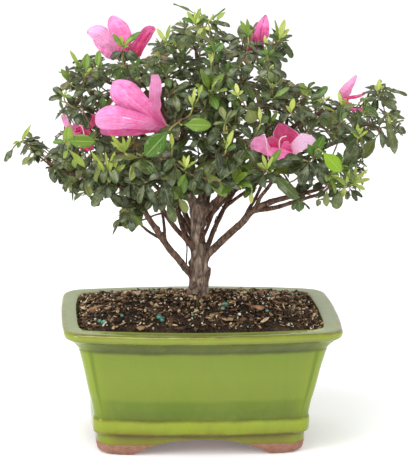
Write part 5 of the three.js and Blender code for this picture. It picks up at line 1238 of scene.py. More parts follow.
def make_wood(material):
    b = Build()
    names = [n for n in LIMBS if n != "trunk"]
    lines = {n: limb_line(n) for n in names}
    stock = smooth_line(STOCK, 60)
    parts = [(stock, 1.0)]
    for r in ROOTS:
        parts.append((smooth_line(r, 26), 3.6))
    # little buttresses where the roots leave the stock
    for ang, reach, thick in ((0.2, 15, 2.6), (1.5, 13, 2.2), (2.7, 16, 2.8), (3.7, 14, 2.4), (5.2, 15, 2.7)):
        c, s = math.cos(ang), math.sin(ang)
        parts.append(([(-1.2 + 1.2 * c, 1.2 * s, 111, 4.6), (-1.2 + 4.6 * c, 4.6 * s, 106.5, 2.8), (-1.2 + reach * c, reach * s, 100.5, thick * 0.6)], 2.4))
    # knots, stubs of limbs that were cut long ago, and the ragged spur low on the right
    knots = [((206.0, 277), 0.5, 2.2), ((207.2, 271.5), -1, 1.9), ((208.6, 274.5), 0, 1.0), ((207.0, 258.5), 0.0, 1.9), ((190.8, 262.5), 1.5, 2.0),
             ((196.5, 252.5), -5.4, 2.0), ((201.5, 281), -6.0, 2.5), ((193.5, 284), -5.0, 2.4), ((199, 232), -4.0, 1.8), ((190.5, 238.5), 1.0, 1.6),
             ((204.8, 224), 2.0, 1.6), ((197.0, 206.5), -3.6, 2.4), ((192.0, 212), -1.0, 1.6), ((203.6, 209), -1.0, 1.5), ((196, 268), 6.0, 2.4)]
    for (px, py), y, r in knots:
        p = unproj(px, py, y)
        parts.append(([(*p, r), (p[0] + 0.4, p[1], p[2] + 1.0, r * 0.85)], 2.2))
    spur = unproj(208.8, 270.2, -0.5)
    parts.append(([(*spur, 1.3), (spur[0] + 0.6, spur[1] - 0.4, spur[2] + 1.4, 0.8)], 1.0))
    inside = []
    for n in names:
        l = lines[n]
        keep = (l[:, 3] > 1.05) & (l[:, :3] > CORE_LO + 4).all(1) & (l[:, :3] < CORE_HI - 4).all(1)
        if keep[:2].all():
            end = len(keep) if keep.all() else int(np.argmin(keep))
            if end >= 2:
                parts.append((l[:end], 1.9 if l[0, 3] > 1.8 else 1.2))
                inside.append((n, end))
    field, axes = soft_union(parts, CORE_LO, CORE_HI, CELL)
    v, quads = skin(field, CORE_LO, CELL)
    stations = [tuple(s) for s in stock] + [tuple(s) for n, e in inside for s in lines[n][:e]] + [tuple(s) for r in ROOTS for s in smooth_line(r, 12)]
    girth = nearest_girth(v, stations)
    nrm = vertex_normals(v, quads)
    # bark: lengthwise ridges and plates on old wood, finer lines on young wood
    q = v * np.array([1.0, 1.0, 0.42])
    ridges = 1 - 2 * np.abs(noise3(q, 2.6, 31)) + 0.6 * noise3(q, 1.3, 32)
    plates = noise3(v * np.array([1, 1, 0.7]), 5.5, 33)
    lumps = noise3(v * np.array([1, 1, 0.8]), 11.0, 34)
    amp = np.clip((girth - 1.0) / 5.5, 0.06, 1)
    v = v + nrm * ((0.24 * ridges + 0.26 * plates + 0.3 * lumps) * amp)[:, None]
    b.add(v, quads, girth=girth)
    core_tris = b.tris_count()
    # the rest of every limb, with slight swellings where leaves once sat
    for n in names:
        l = lines[n]
        phase = float(sum(map(ord, n)) % 17)
        length = np.linalg.norm(l[-1, :3] - l[0, :3])

        def bumps(ring, a, phase=phase, l=l):
            s = np.arange(len(ring)) * 1.6 + phase
            node = np.maximum(0, np.sin(s / 9.5 * 2 * math.pi + 2.0 * np.sin(s / 23))) ** 6
            return 1 + 0.14 * node[:, None] + 0.12 * noise3(ring * np.array([1, 1, 0.6]), 3.4, 41) + 0.05 * noise3(ring, 1.5, 42)
        tube(b, l, l[:, 3], sides=10 if l[0, 3] > 1.5 else 8, bumps=bumps, girth=l[:, 3])
    # short dead spurs and thin side twigs close to the stem
    spurs = [
        ([(186.4, 267.5), (186.6, 256), (187.0, 247), (185.4, 240.5)], -1.0, 0.55),
        ([(188.6, 221.8), (186.2, 222.2), (183.4, 223.4)], -2.0, 0.35),
        ([(160.0, 229.5), (159.0, 227.0), (156.9, 225.8)], -13.5, 0.42),
        ([(163.4, 234.0), (162.4, 232.0)], -16, 0.5),
        ([(214.4, 222.5), (215.6, 218.6), (216.8, 215.9)], 3.0, 0.38),
        ([(215.3, 229.6), (216.6, 231.2)], 2.0, 0.5),
        ([(209.0, 272.4), (209.6, 269.4), (208.8, 268.4)], -0.6, 0.7),
        ([(221.0, 203), (222.6, 208.5), (222.0, 212)], -4.0, 0.45),
    ]
    for pts, y, r in spurs:
        l = smooth_line([(*unproj(px, py, y), r * (1 - 0.3 * k / len(pts))) for k, (px, py) in enumerate(pts)], 9)
        tube(b, l, l[:, 3], sides=7, bumps=lambda ring, a: 1 + 0.18 * noise3(ring, 1.6, 44), girth=l[:, 3])
    print("wood", core_tris, b.tris_count())
    return b.make("wood_stem_and_limbs", material, slot="bark", replaces=("trunk_and_branches",))


make_wood(bark_material())


# ------------------------------------------------------------------ the crown's outline, seen from the front (picture units)
CROWN = [(3, 160), (8, 150), (12, 147), (17, 141), (22, 135), (29, 124), (32, 128), (36, 136), (42, 137), (48, 141), (53, 143), (52, 128), (54, 116),
         (53, 108), (49, 98), (56, 88), (58, 80), (57, 70), (63, 68), (68, 60), (70, 49), (76, 52), (80, 60), (84, 52), (90, 54), (96, 50), (104, 51), (104, 60),
         (112, 62), (122, 58), (137, 60), (150, 50), (156, 38), (155, 27), (160, 27), (165, 38), (168, 26), (173, 22), (178, 20), (187, 14), (192, 10),
         (182, 7), (175, 2), (183, 1), (193, 8), (203, 9), (206, 13), (214, 13), (224, 7), (226, 11), (218, 18), (230, 23), (224, 28), (226, 35), (241, 34),
         (240, 20), (249, 19), (254, 30), (270, 36), (274, 22), (284, 19), (288, 28), (291, 35), (294, 57), (288, 62), (281, 69), (288, 76), (300, 81), (312, 86),
         (324, 87), (328, 94), (338, 98), (350, 98), (362, 95), (366, 86), (374, 82), (381, 78), (391, 84), (407, 92), (399, 104), (406, 113), (405, 128),
         (406, 134), (398, 152), (391, 150), (384, 143), (378, 141), (370, 150), (364, 157), (368, 172), (363, 194), (357, 201), (350, 196), (342, 209),
         (330, 205), (322, 206), (311, 209), (300, 212), (291, 206), (297, 199), (287, 190), (278, 184), (262, 181), (256, 186), (254, 203), (248, 201),
         (246, 190), (236, 194), (226, 197), (214, 191), (207, 194), (196, 194), (188, 196), (183, 206), (177, 222), (170, 213), (163, 205), (158, 211),
         (152, 209), (146, 212), (145, 224), (137, 228), (135, 233), (128, 231), (120, 226), (113, 236), (110, 230), (118, 215), (116, 207), (106, 195),
         (98, 206), (90, 206), (85, 196), (78, 196), (73, 203), (69, 193), (64, 192), (60, 186), (48, 181), (50, 172), (40, 165), (30, 166), (20, 160), (8, 163)]
# Places where the background shows through: middle and half sizes.
HOLES = [(156.6, 187.4, 6.0, 4.2), (113.5, 190.5, 2.6, 2.0), (132.6, 200, 2.6, 2.2), (144.5, 161, 2.4, 1.4), (197, 147.5, 3.6, 4.4), (184.5, 80, 4.4, 3.6),
         (173, 74, 2.2, 1.8), (211, 36, 2.4, 2.2), (84, 109, 2.6, 3.6), (52, 149.5, 5.6, 2.0),
         (295, 180, 6.6, 6.4), (338, 148, 6, 3.6), (56.5, 124, 3.6, 9), (107, 84, 3.6, 4), (106, 71, 2.6, 3), (286, 73, 5, 4), (288, 53, 3.4, 3), (309, 195.4, 4.4, 1.8), (318, 193.4, 4.8, 2.0), (328, 191.2, 4.8, 2.0)]
# Outlines that the flowers fill; no leaf may come between them and the viewer.
BLOOMS = [
    ([(87, 31), (96, 25), (107, 28), (107, 20), (112, 15), (124, 20), (131, 29), (133, 36), (140, 30), (148, 24), (157, 27), (148, 46), (141, 58), (134, 50),
      (121, 48), (112, 52), (106, 58), (98, 50), (92, 41)], -30),
    ([(94, 114), (104, 105), (117, 105), (110, 97), (111, 82), (116, 77), (134, 78), (142, 86), (151, 95), (148, 76), (153, 72), (160, 74), (163, 90), (162, 106), (167, 128),
      (150, 133), (124, 137), (104, 136), (99, 128), (94, 122)], -58),
    ([(249, 149), (250, 140), (256, 133), (264, 134), (270, 142), (272, 132), (278, 122), (284, 120), (300, 133), (311, 134), (318, 140), (302, 152), (291, 161),
      (268, 156), (254, 154)], -54),
    ([(250, 40), (254, 26), (265, 13), (269, 20), (270, 34), (264, 41)], -4),
    ([(338, 91), (348, 80), (357, 74), (352, 92), (366, 92), (360, 100), (344, 99)], -32),
    ([(145, 149), (147, 142), (153, 135), (160, 131), (170, 129), (170, 138), (165, 147), (158, 153), (150, 156), (146, 154)], -100),
    ([(321, 150), (330, 151), (340, 158), (343, 168), (340, 173), (332, 170), (325, 162)], -100),
    ([(64, 128), (72, 126), (76, 134), (92, 138), (94, 143), (82, 149), (72, 150), (64, 148)], -100),
    ([(184, 119), (196, 118), (211, 124), (208, 130), (196, 131), (186, 128)], -100),
    ([(61, 113), (68, 118), (69, 125), (64, 126)], -44), ([(88, 117), (95, 111), (96, 124), (89, 123)], -44), ([(78, 128), (84, 124), (90, 130), (88, 136), (78, 136)], -46),
]


def inside_polygon(points, poly):
    p = np.asarray(points, float)
    q = np.asarray(poly, float)
    x, y = p[..., 0], p[..., 1]
    inside = np.zeros(x.shape, bool)
    for (x0, y0), (x1, y1) in zip(q, np.roll(q, -1, 0)):
        cond = (y0 > y) != (y1 > y)
        t = (y - y0) / (y1 - y0 if y1 != y0 else 1e-9)
        inside ^= cond & (x < x0 + t * (x1 - x0))
    return inside


def proj(p):
    d = np.asarray(p, float) - CAM
    k = FOCAL / (d @ FWD)
    return np.stack([IMG_W / 2 + (d @ RIGHT) * k, IMG_H / 2 - (d @ UP) * k], -1)


def clear_view(points, margin=0.0):
    """True where a point is seen inside the crown, away from its windows and from the flowers behind it."""
    p = np.asarray(points, float)
    q = proj(p)
    ok = inside_polygon(q, CROWN)
    for cx, cy, hx, hy in HOLES:
        ok &= ((q[..., 0] - cx) / (hx + margin)) ** 2 + ((q[..., 1] - cy) / (hy + margin)) ** 2 > 1
    for poly, y in BLOOMS:
        ok &= ~(inside_polygon(q, poly) & (p[..., 1] < y + 22))
    return ok


def reach_front(px, py, share=0.86):
    """A point seen at a picture position, near the front of the rounded crown."""
    y = -40.0
    for _ in range(4):
        p = unproj(px, py, y)
        y = -92 * share * math.sqrt(max(0.03, 1 - (p[0] / 152) ** 2 - ((p[2] - 240) / 100) ** 2))
    return unproj(px, py, y)


# ------------------------------------------------------------------ leaves
class Leaves:
    def __init__(self):
        self.rows = []
        self.tips = []

    def add(self, base, direction, face, length, width, fold=0.3, bend=0.5, tone=0.5, young=0.0, peak=1.05, twist=0.0, group=None):
        self.rows.append((tuple(base), tuple(direction), tuple(face), length, width, fold, bend, tone, young, peak, twist, group))


ROW_T = np.array([0, 0.08, 0.21, 0.39, 0.58, 0.76, 0.89, 0.97, 1.0])
COL_U = np.array([-1, -0.55, 0, 0.55, 1])


def leaf_shells(rows):
    """All blades at once: vertices (leaf, side, row, column, 3) and the values that colour them."""
    base = np.array([r[0] for r in rows], float)
    d = unit(np.array([r[1] for r in rows], float))
    f = np.array([r[2] for r in rows], float)
    f = unit(f - (f * d).sum(-1, keepdims=True) * d)
    side = np.cross(f, d)
    length, width, fold, bend, tone, young, peak, twist = [np.array([r[k] for r in rows], float) for k in range(3, 11)]
    n = len(rows)
    t = ROW_T
    fine = np.linspace(0, 1, 25)
    ang = -bend[:, None] * (fine ** 1.4)[None] + 0.12 * bend[:, None]
    step = length[:, None] / 24
    cx = np.concatenate([np.zeros((n, 1)), np.cumsum(np.cos(ang[:, 1:]) * step, 1)], 1)
    cz = np.concatenate([np.zeros((n, 1)), np.cumsum(np.sin(ang[:, 1:]) * step, 1)], 1)
    at = t * 24
    i = np.minimum(at.astype(int), 23)
    w = at - i
    px = cx[:, i] * (1 - w) + cx[:, i + 1] * w
    pz = cz[:, i] * (1 - w) + cz[:, i + 1] * w
    a = ang[:, i] * (1 - w) + ang[:, i + 1] * w
    tang = np.cos(a)[..., None] * d[:, None] + np.sin(a)[..., None] * f[:, None]
    nor = -np.sin(a)[..., None] * d[:, None] + np.cos(a)[..., None] * f[:, None]
    tw = twist[:, None] * t[None]
    s = np.cos(tw)[..., None] * side[:, None] + np.sin(tw)[..., None] * nor
    nor = np.cos(tw)[..., None] * nor - np.sin(tw)[..., None] * side[:, None]
    centre = base[:, None] + px[..., None] * d[:, None] + pz[..., None] * f[:, None]
    # widest beyond the middle, wedge-shaped to the stalk, round at the end; young blades are narrower and more pointed
    top_at = np.clip(0.5 + 0.34 * (peak - 0.95), 0.48, 0.65)[:, None]
    to_tip = np.clip((t[None] - top_at) / (1 - top_at), 0, 1)
    to_foot = np.clip((top_at - t[None]) / top_at, 0, 1)
    shape = np.where(t[None] >= top_at, np.maximum(1 - to_tip ** 2, 0) ** (0.5 + 0.4 * np.clip(young, 0, 1)[:, None]), 1 - to_foot ** 1.7)
    petiole = 0.05 + 0.95 * np.clip((t[None] - 0.03) / 0.3, 0, 1) ** 1.1
    half = np.maximum(width[:, None] / 2 * shape * petiole, 0.24)
    half[:, -1] = 0.12
    u = COL_U
    wave = np.sin(t[None] * 11 + tone[:, None] * 40)[..., None] * np.array([1, 0.25, 0, -0.2, -0.9])[None, None] * 0.05
    lift = fold[:, None, None] * np.abs(u)[None, None] ** 1.15 * half[..., None] + wave * length[:, None, None] * 0.6
    spread = np.cos(np.arctan(fold))[:, None, None]
    top = centre[:, :, None] + s[:, :, None] * (u[None, None] * half[..., None] * spread)[..., None] + nor[:, :, None] * lift[..., None]
    thick = np.interp(t, [0, 0.1, 0.9, 1], [0.42, 0.3, 0.24, 0.14])[None, :, None] * np.array([0.6, 1, 1.5, 1, 0.6])[None, None]
    bottom = top - nor[:, :, None] * thick[..., None]
    v = np.stack([top, bottom], 1)
    across = np.broadcast_to(u, v.shape[:-1])
    along = np.broadcast_to(t[:, None], v.shape[:-1])
    under = np.broadcast_to(np.array([0.0, 1.0])[:, None, None], v.shape[:-1])
    tn = np.broadcast_to(tone[:, None, None, None], v.shape[:-1])
    yg = np.broadcast_to(young[:, None, None, None], v.shape[:-1])
    return v, dict(across=across, along=along, under=under, tone=tn, young=yg)


def shell_quads():
    R, C = len(ROW_T), len(COL_U)
    top = grid_quads(R, C)
    bottom = grid_quads(R, C, flip=True) + R * C
    rim = []
    b = R * C
    for r in range(R - 1):
        rim.append((r * C, (r + 1) * C, b + (r + 1) * C, b + r * C))
        rim.append((r * C + C - 1, b + r * C + C - 1, b + (r + 1) * C + C - 1, (r + 1) * C + C - 1))
    for c in range(C - 1):
        rim.append((c, b + c, b + c + 1, c + 1))
        e = (R - 1) * C
        rim.append((e + c, e + c + 1, b + e + c + 1, b + e + c))
    return np.vstack([top, bottom, np.array(rim)])


SHELL = shell_quads()


def rand(seed):
    state = [seed & 0xFFFFFFFF]

    def nxt(lo=0.0, hi=1.0):
        state[0] = (state[0] * 1664525 + 1013904223) & 0xFFFFFFFF
        x = state[0]
        x ^= x >> 16
        return lo + (hi - lo) * ((x * 2654435761) & 0xFFFFFF) / float(0xFFFFFF)
    for _ in range(4):
        nxt()
    return nxt


def side_dirs(axis):
    axis = unit(axis)
    ref = np.array([0, 0, 1.0]) if abs(axis[2]) < 0.9 else np.array([1.0, 0, 0])
    e1 = unit(np.cross(axis, ref))
    return e1, np.cross(axis, e1)


def rosette(leaves, base, axis, seed, count=7, size=18.0, young=0.0, tone=0.5, check=True, spread=(52, 92), tight=0.0):
    """A whorl of leaves at the end of a twig, with a few small upright ones in its middle."""
    r = rand(seed)
    axis = unit(axis)
    e1, e2 = side_dirs(axis)
    made = 0
    for k in range(count):
        inner = k >= count - 2
        a = k * 2.39996 + r(-0.25, 0.25) + seed
        s = math.radians(r(*spread) if not inner else r(16, 38)) * (1 - tight)
        out = e1 * math.cos(a) + e2 * math.sin(a)
        d = axis * math.cos(s) + out * math.sin(s)
        length = size * (r(0.78, 1.12) if not inner else r(0.42, 0.66))
        d = unit(d + np.array([0, 0, -0.16 if not inner else 0.1]))
        face = axis * 0.8 + np.array([r(-0.2, 0.2), r(-0.25, 0.05), 0.65])
        b = np.asarray(base) - axis * (0.55 * (count - k) if not inner else 0) + out * 0.45
        width = length * r(0.36, 0.47) * (0.86 if inner else 1)
        if check:
            q = b + np.outer([0.35, 0.7, 1.0], d * length)
            if not clear_view(q, 0.6).all():
                length *= 0.72
                width *= 0.8
                if not clear_view(b + np.outer([0.5, 1.0], d * length), 0.2).all():
                    continue
        yk = min(1.0, young + (0.35 if inner else 0) * (young > 0.1) + r(-0.08, 0.08))
        leaves.add(b, d, face, length, width, fold=r(0.16, 0.5), bend=r(0.15, 0.85) * (0.6 if inner else 1),
                   tone=min(1, max(0, tone + r(-0.32, 0.32))), young=max(0, yk) if young >= 0 else young, peak=r(0.95, 1.35), twist=r(-0.35, 0.35))
        made += 1
    if made:
        leaves.tips.append((np.asarray(base, float), axis, young))
    return made


def placed(leaves, base_px, tips, y=None, dy=0.0, share=0.86, joined=True):
    """Leaves given by where they are seen: foot (x, y), then for each leaf tip x, tip y, width, young, tone, face, depth."""
    base = reach_front(*base_px, share) if y is None else unproj(*base_px, y)
    mean = np.zeros(3)
    for k, row in enumerate(tips):
        tx, ty, w, young, tone, face = row[:6]
        deep = row[6] if len(row) > 6 else (-3.0 if k % 2 else 2.0)
        tip = unproj(tx, ty, base[1] + deep + dy)
        d = tip - base
        length = np.linalg.norm(d)
        d = d / length
        view = -FWD
        up = np.array([0, 0, 1.0])
        s = unit(np.cross(d, view))
        if s @ up < 0:
            s = -s
        n = unit(view * math.cos(face) + s * math.sin(face)) if face is not None else up
        leaves.add(base, d, n, length * 1.03, w * 0.733 * (0.86 if young > 0.6 and w < 9 else 1.0) / max(0.55, abs(math.cos(face))), fold=0.24 + 0.12 * (k % 3), bend=0.25 + 0.16 * (k % 4),
                   tone=tone, young=young, peak=1.05 + 0.1 * (k % 4), twist=0.0)
        mean += d
    if joined:
        leaves.tips.append((base, unit(mean), max(r[3] for r in tips)))


# ------------------------------------------------------------------ leaves that can be told apart from the front
# For every group: where its foot is seen, then tip x, tip y, width, how fresh (0 old, 1 new), tone, tilt of the face.
GROUPS = [
    # far left
    ((22, 142), [(30, 125, 4.5, .8, .6, .4), (25, 131, 3, .8, .5, .5), (12, 143, 3, .7, .5, .9), (17, 147, 3.5, .5, .5, .7)]),
    ((24, 142), [(40, 136.5, 3.5, 0, .2, 1.0), (45, 144, 4, 0, .3, .9), (38, 141, 4, .1, .4, .8)]),
    ((29, 146), [(50, 147.5, 3.6, 0, .25, 1.0), (44, 151, 4, 0, .5, .8), (41, 158, 6, 0, .4, .5)]),
    ((13, 148), [(4.5, 161.5, 5.6, 0, .55, .3), (9, 158, 4, 0, .3, .5)]),
    ((33, 157), [(21.5, 163.5, 6.2, .15, .95, .5), (28, 165, 4, 0, .3, .6), (40, 162, 6, 0, .2, .5)]),
    ((46, 156), [(58, 148, 5, 0, .4, .8), (60, 158, 6, 0, .6, .6), (50, 164, 5, 0, .3, .6), (36, 152, 4.5, 0, .4, .8)]),
    # hanging at the lower left
    ((54, 167), [(50.5, 180, 6, 0, .5, .3), (62, 171, 7, 0, .2, .5), (48, 172, 5, 0, .4, .6)]),
    ((60, 172), [(61.5, 184.5, 6, 0, .15, .3), (68, 178, 7, 0, .4, .5), (54, 176, 5, 0, .3, .6)]),
    ((67, 176), [(65, 192, 5, 0, .4, .3), (75, 182, 8, 0, .7, .4), (60, 182, 5, 0, .5, .5)]),
    ((72, 184), [(73, 201, 1.8, 0, .3, .2), (77, 195, 4.4, 0, .2, .4), (81, 186, 7, 0, .6, .5)]),
    ((85, 180), [(86, 195, 4.6, 0, .6, .4), (91, 195, 7.5, .05, 1.0, .3), (80, 190, 5, 0, .3, .5), (94, 183, 8, 0, .5, .5)]),
    ((107, 184), [(92, 206, 10.5, 0, .55, .3), (98, 193, 9, 0, .35, .5), (108, 199, 9, 0, .2, .5), (117, 190, 8, 0, .3, .6)]),
    ((64, 162), [(55, 160, 8, 0, .3, .6), (72, 170, 9, 0, .55, .5), (80, 168, 8, 0, .35, .6), (59, 168, 6, 0, .5, .6)]),
    ((84, 170), [(76, 176, 8, 0, .6, .5), (95, 172, 9, 0, .3, .5), (90, 180, 9, 0, .7, .4), (78, 165, 7, 0, .4, .6)]),
    ((96, 176), [(104, 184, 10, 0, .5, .5), (88, 186, 8, 0, .35, .5), (112, 182, 8, 0, .3, .6)]),
    # upper left
    ((82, 72), [(70.5, 50.5, 4.6, .75, .6, .3), (77, 62, 4, .6, .4, .5)]),
    ((86, 73), [(86.8, 54, 9, .58, .45, .25), (91, 68, 3, .85, .6, .5), (94, 69.5, 3, .8, .6, .5), (75.5, 67, 5, .1, .3, .8)]),
    ((98, 69), [(98.6, 51, 7, .6, .5, .3), (110, 63.5, 3.4, 0, .2, .9), (109.5, 69.5, 3.2, 0, .25, .9), (103, 76, 7, .1, .3, .5)]),
    ((84, 78), [(72, 82, 6.5, 0, .3, .6), (76, 75, 5.5, 0, .25, .8), (93, 84, 6, 0, .3, .6)]),
    ((97, 78), [(110, 79.4, 3.2, 0, .2, .9), (88, 81, 7, 0, .15, .6), (102, 83, 6, .2, .4, .6)]),
    ((70, 83), [(61.5, 69, 5.6, .5, .95, .3), (65, 75, 4, .4, .8, .5), (74, 90, 6, 0, .3, .6)]),
    ((64, 96), [(53.5, 87.5, 7, 0, .3, .4), (49, 99, 5.6, 0, .3, .4), (75, 104, 8, 0, .3, .4), (60, 91, 3, .75, .6, .6), (67, 91, 3, .75, .6, .6), (71, 97, 4, .6, .5, .6)]),
    ((66, 106), [(54.6, 119.5, 2.4, 0, .5, .2), (76, 111, 4.5, 0, .4, .7)]),
    ((86, 90), [(72.6, 96.5, 5.6, 0, .35, .6), (76, 87, 6, 0, .3, .7), (94, 97, 6, 0, .5, .6)]),
    ((98, 95), [(83, 105.5, 6, 0, .3, .5), (88, 100, 5, 0, .25, .8), (90, 112, 5, 0, .3, .6)]),
    ((104, 96), [(102, 107.5, 9, .38, .4, .3), (95, 92, 5, 0, .4, .7)]),
    ((81, 109), [(67.5, 112, 5, 0, .4, .7), (71, 117, 5, 0, .4, .5), (95, 112, 6, 0, .2, .6)]),
    ((81, 113), [(76.5, 125, 7, 0, .2, .4), (88.5, 129, 7.5, 0, .3, .3), (92, 119, 7, 0, .35, .5)]),
    # the bright shoot on the left
    ((65, 141), [(94, 141.5, 13.5, .6, .35, .05, -4)], -78),
    ((68, 149), [(68.5, 126.5, 11, .72, .5, .15, -3), (64, 158, 5.4, .66, .55, .4), (85.5, 166.5, 7.4, .8, .55, .2, -4)], -76),
    ((66, 141), [(52.6, 142, 5, .55, .45, .4)], -72),
    ((76, 156), [(74, 168, 6.5, .55, .95, .3)]),
    ((88, 144), [(95.5, 131, 6.5, .5, .3, .3), (100, 141, 7, .2, .3, .6), (80, 140, 7, .55, .2, .3)]),
    ((99, 140), [(109, 153, 9.5, 0, .25, .4), (100, 154, 9, 0, .35, .5), (110, 142, 8, 0, .3, .6)]),
    # fresh shoots in front on the left
    ((108, 179), [(92.5, 152.5, 5.6, .86, .55, .2), (99, 160, 4, .85, .6, .5), (106.5, 152.5, 4, .86, .7, .3), (113.2, 152.5, 4.8, .84, .5, .2), (124.8, 164.5, 7, .78, .5, .3), (116, 170, 5, .8, .7, .5), (104, 168, 4, .9, .8, .4)], -76),
    ((110, 180), [(117.6, 157.5, 4.2, .9, .7, .2), (100.4, 170, 4, .8, .6, .4)], -74),
    ((125, 153), [(111.5, 135, 4.6, .84, .6, .2), (112, 141.5, 3.8, .84, .6, .4), (120, 142, 3.5, .85, .8, .4), (123.8, 137.5, 3.6, .8, .5, .3), (130.2, 136, 4.4, .76, .5, .2), (118, 148, 4, .7, .6, .5)]),
    ((169, 130.5), [(146, 155.4, 19.5, .5, .3, .05, -2)], -84),
    ((172, 150), [(171.6, 133.5, 5.4, .82, .7, .2), (165, 143, 6, .2, .4, .5), (179, 146, 6, .1, .5, .5)]),
    ((186, 168), [(183.6, 155.5, 4.4, .97, .8, .2), (188.6, 156, 4, .97, .9, .2), (178, 160, 3, .8, .6, .5), (196, 160, 3, .75, .6, .5), (191, 164, 4, .9, .8, .4)]),
    ((182, 125), [(210.5, 125, 13.5, .6, .5, .15, -2)], -84),
    # middle left
    ((175, 166), [(169.5, 187, 9.5, 0, .6, .25), (163, 176, 8, 0, .4, .5), (180, 180, 7, .1, .6, .4)]),
    ((186, 173), [(183.5, 193, 7, .5, .7, .3), (178, 185, 5, .5, .9, .4)]),
    ((195, 177), [(204, 187.5, 10, 0, .35, .3), (191, 190, 9, 0, .45, .4), (200, 170, 8, 0, .2, .6)]),
    ((160, 158), [(172.5, 151, 7.5, 0, .4, .5), (150, 152, 7, 0, .3, .6), (158, 170, 9, 0, .3, .5)]),
    ((135, 178), [(122, 172, 9, 0, .3, .6), (145, 172, 9, 0, .25, .6), (131, 188, 10, 0, .35, .5), (146, 183, 8, 0, .3, .6)]),
    ((130, 184), [(141, 198, 10.5, 0, .3, .4), (118, 180, 9, 0, .35, .6), (126, 197, 9, 0, .3, .5)]),
    ((126, 209), [(112.5, 195.5, 10.5, 0, .4, .3), (123, 197, 8, 0, .25, .6), (135.5, 204.5, 5.4, 0, .2, .5)]),
    ((128, 212), [(142.5, 214, 7.4, 0, .25, .5), (120.5, 221.5, 8.2, 0, .35, .25), (134.5, 222.5, 8.4, 0, .2, .3), (143.5, 224.5, 5.4, .35, .8, .4)]),
    ((129, 218), [(133.5, 231.5, 8.2, 0, .25, .2)]),
    ((124, 211), [(112, 235, 2.6, 0, .5, .1)]),
    ((155, 197), [(156.5, 212.5, 6.4, 0, .3, .3), (146, 208.5, 7.4, 0, .3, .4), (163, 204, 7, 0, .4, .5), (147, 195, 8, 0, .25, .6)]),
    ((166, 203), [(175.5, 222, 9.4, .1, .6, .2), (160, 210, 7, 0, .5, .4)]),
    ((178, 197), [(187.5, 212.5, 8, .1, 1.0, .3), (170, 205, 8, 0, .4, .5), (189, 199, 7, .1, .5, .6)]),
    ((168, 190), [(158, 198, 8, .05, .5, .5), (178, 198, 7, .3, .8, .5), (172, 202, 8, 0, .3, .5)]),
    # the brown and olive mass to the right of the flower in front
    ((176, 98), [(165, 92, 9, -.5, .5, .4), (186, 92, 10, -.3, .6, .4), (170, 108, 10, -.7, .3, .3), (184, 106, 11, -.4, .4, .3)], -26),
    ((178, 118), [(166, 112, 9, -.7, .3, .4), (190, 114, 10, -.3, .5, .4), (172, 126, 8, -.6, .3, .4), (186, 125, 9, -.4, .4, .3)], -22),
    ((168, 84), [(163, 96, 8, -.5, .4, .4), (178, 90, 9, -.2, .5, .3), (162, 78, 8, 0, .3, .5)], -16),
    ((192, 96), [(182, 100, 9, -.2, .3, .4), (200, 112, 10, -.2, .4, .4), (190, 108, 9, -.4, .3, .3)], -12),
    ((174, 108), [(163, 104, 8, -.8, .2, .4), (180, 116, 9, -.6, .4, .4), (166, 120, 8, -.6, .3, .4)], 4),
    ((146, 88), [(138, 82, 8, -.2, .3, .4), (148, 98, 8, -.5, .3, .4), (144, 76, 8, 0, .3, .4)], -24),
    ((128, 72), [(122, 64, 6, -.8, .4, .4), (134, 66, 6, -.7, .5, .4), (126, 80, 7, -.6, .3, .4)], -44),
    # round the top left flower
    ((123, 47), [(113, 34, 4.6, .5, .9, .3), (117, 42, 4, .6, .8, .5), (121, 35, 3.6, .7, .8, .3), (131, 37, 4, .6, .8, .4), (139.5, 31.5, 6, .4, .6, .4), (128, 46, 4, .6, .6, .5)], -62),
    ((123, 51), [(110.5, 58.5, 7.5, 0, .1, .4), (137, 59, 9.5, 0, .15, .3), (118, 62, 5, 0, .2, .6), (129, 60, 6, 0, .2, .5)], -66),
    ((121, 67), [(116, 78, 8.5, .4, .5, .3), (128, 76, 7, .1, .4, .5), (111, 68, 5, .1, .4, .7)], -56),
    ((137, 67), [(139, 56.5, 3.4, .5, .5, .3), (130.5, 60, 3.4, .5, .6, .4), (146, 60, 3.4, .5, .6, .4), (129.5, 71, 3.6, .4, .5, .5), (146, 72, 4, .2, .3, .5), (138, 77, 5, .1, .3, .4)]),
    ((148, 64), [(158, 57, 5, 0, .3, .7), (153, 73, 6, 0, .3, .5), (141, 60, 5, 0, .25, .7)]),
    # top
    ((166, 43), [(157.2, 28.5, 5.4, .78, .9, .2), (169.4, 25.5, 4.4, .72, .6, .2), (163, 36, 4, .7, .8, .4), (174, 39, 5, .3, .4, .6)]),
    ((165, 46), [(148, 43.5, 3.4, 0, .25, .9), (153, 50, 4.4, 0, .3, .8), (160, 55, 6, .15, .4, .5), (174, 52, 7, .1, .3, .5)]),
    ((187, 35), [(168.5, 37.5, 6, 0, .3, .7), (177, 43, 10, 0, .45, .4), (175, 28.5, 3.4, 0, .4, .9), (194, 42, 8, 0, .3, .5)]),
    ((196, 25), [(187.5, 11.5, 5.2, .8, .6, .3), (199.5, 9, 5.2, .78, .5, .3), (204.5, 13.5, 4.2, .62, .5, .5), (184, 17, 4.2, .5, .4, .7), (195, 11, 3.6, .95, .8, .2), (192, 18, 3.5, .85, .8, .3), (208, 19, 4.4, .3, .5, .6), (199, 17, 3.4, .9, .9, .3)]),
    ((196, 14), [(174.5, 2.8, 2.2, .1, .7, .9)]),
    ((209, 22), [(224.5, 8, 1.7, .3, .5, .5), (230, 24.5, 4.4, 0, .35, .9), (215, 15, 3.4, .75, .7, .6), (218, 30, 5, .1, .3, .6)]),
    ((204, 27), [(197, 34, 5, .85, .9, .4), (211, 30, 4.4, .85, .8, .5), (204, 37, 5.5, .8, .7, .4), (213, 37, 5, .1, .3, .6)]),
    ((213, 29), [(223.5, 36, 3.2, 0, .3, .7)]),
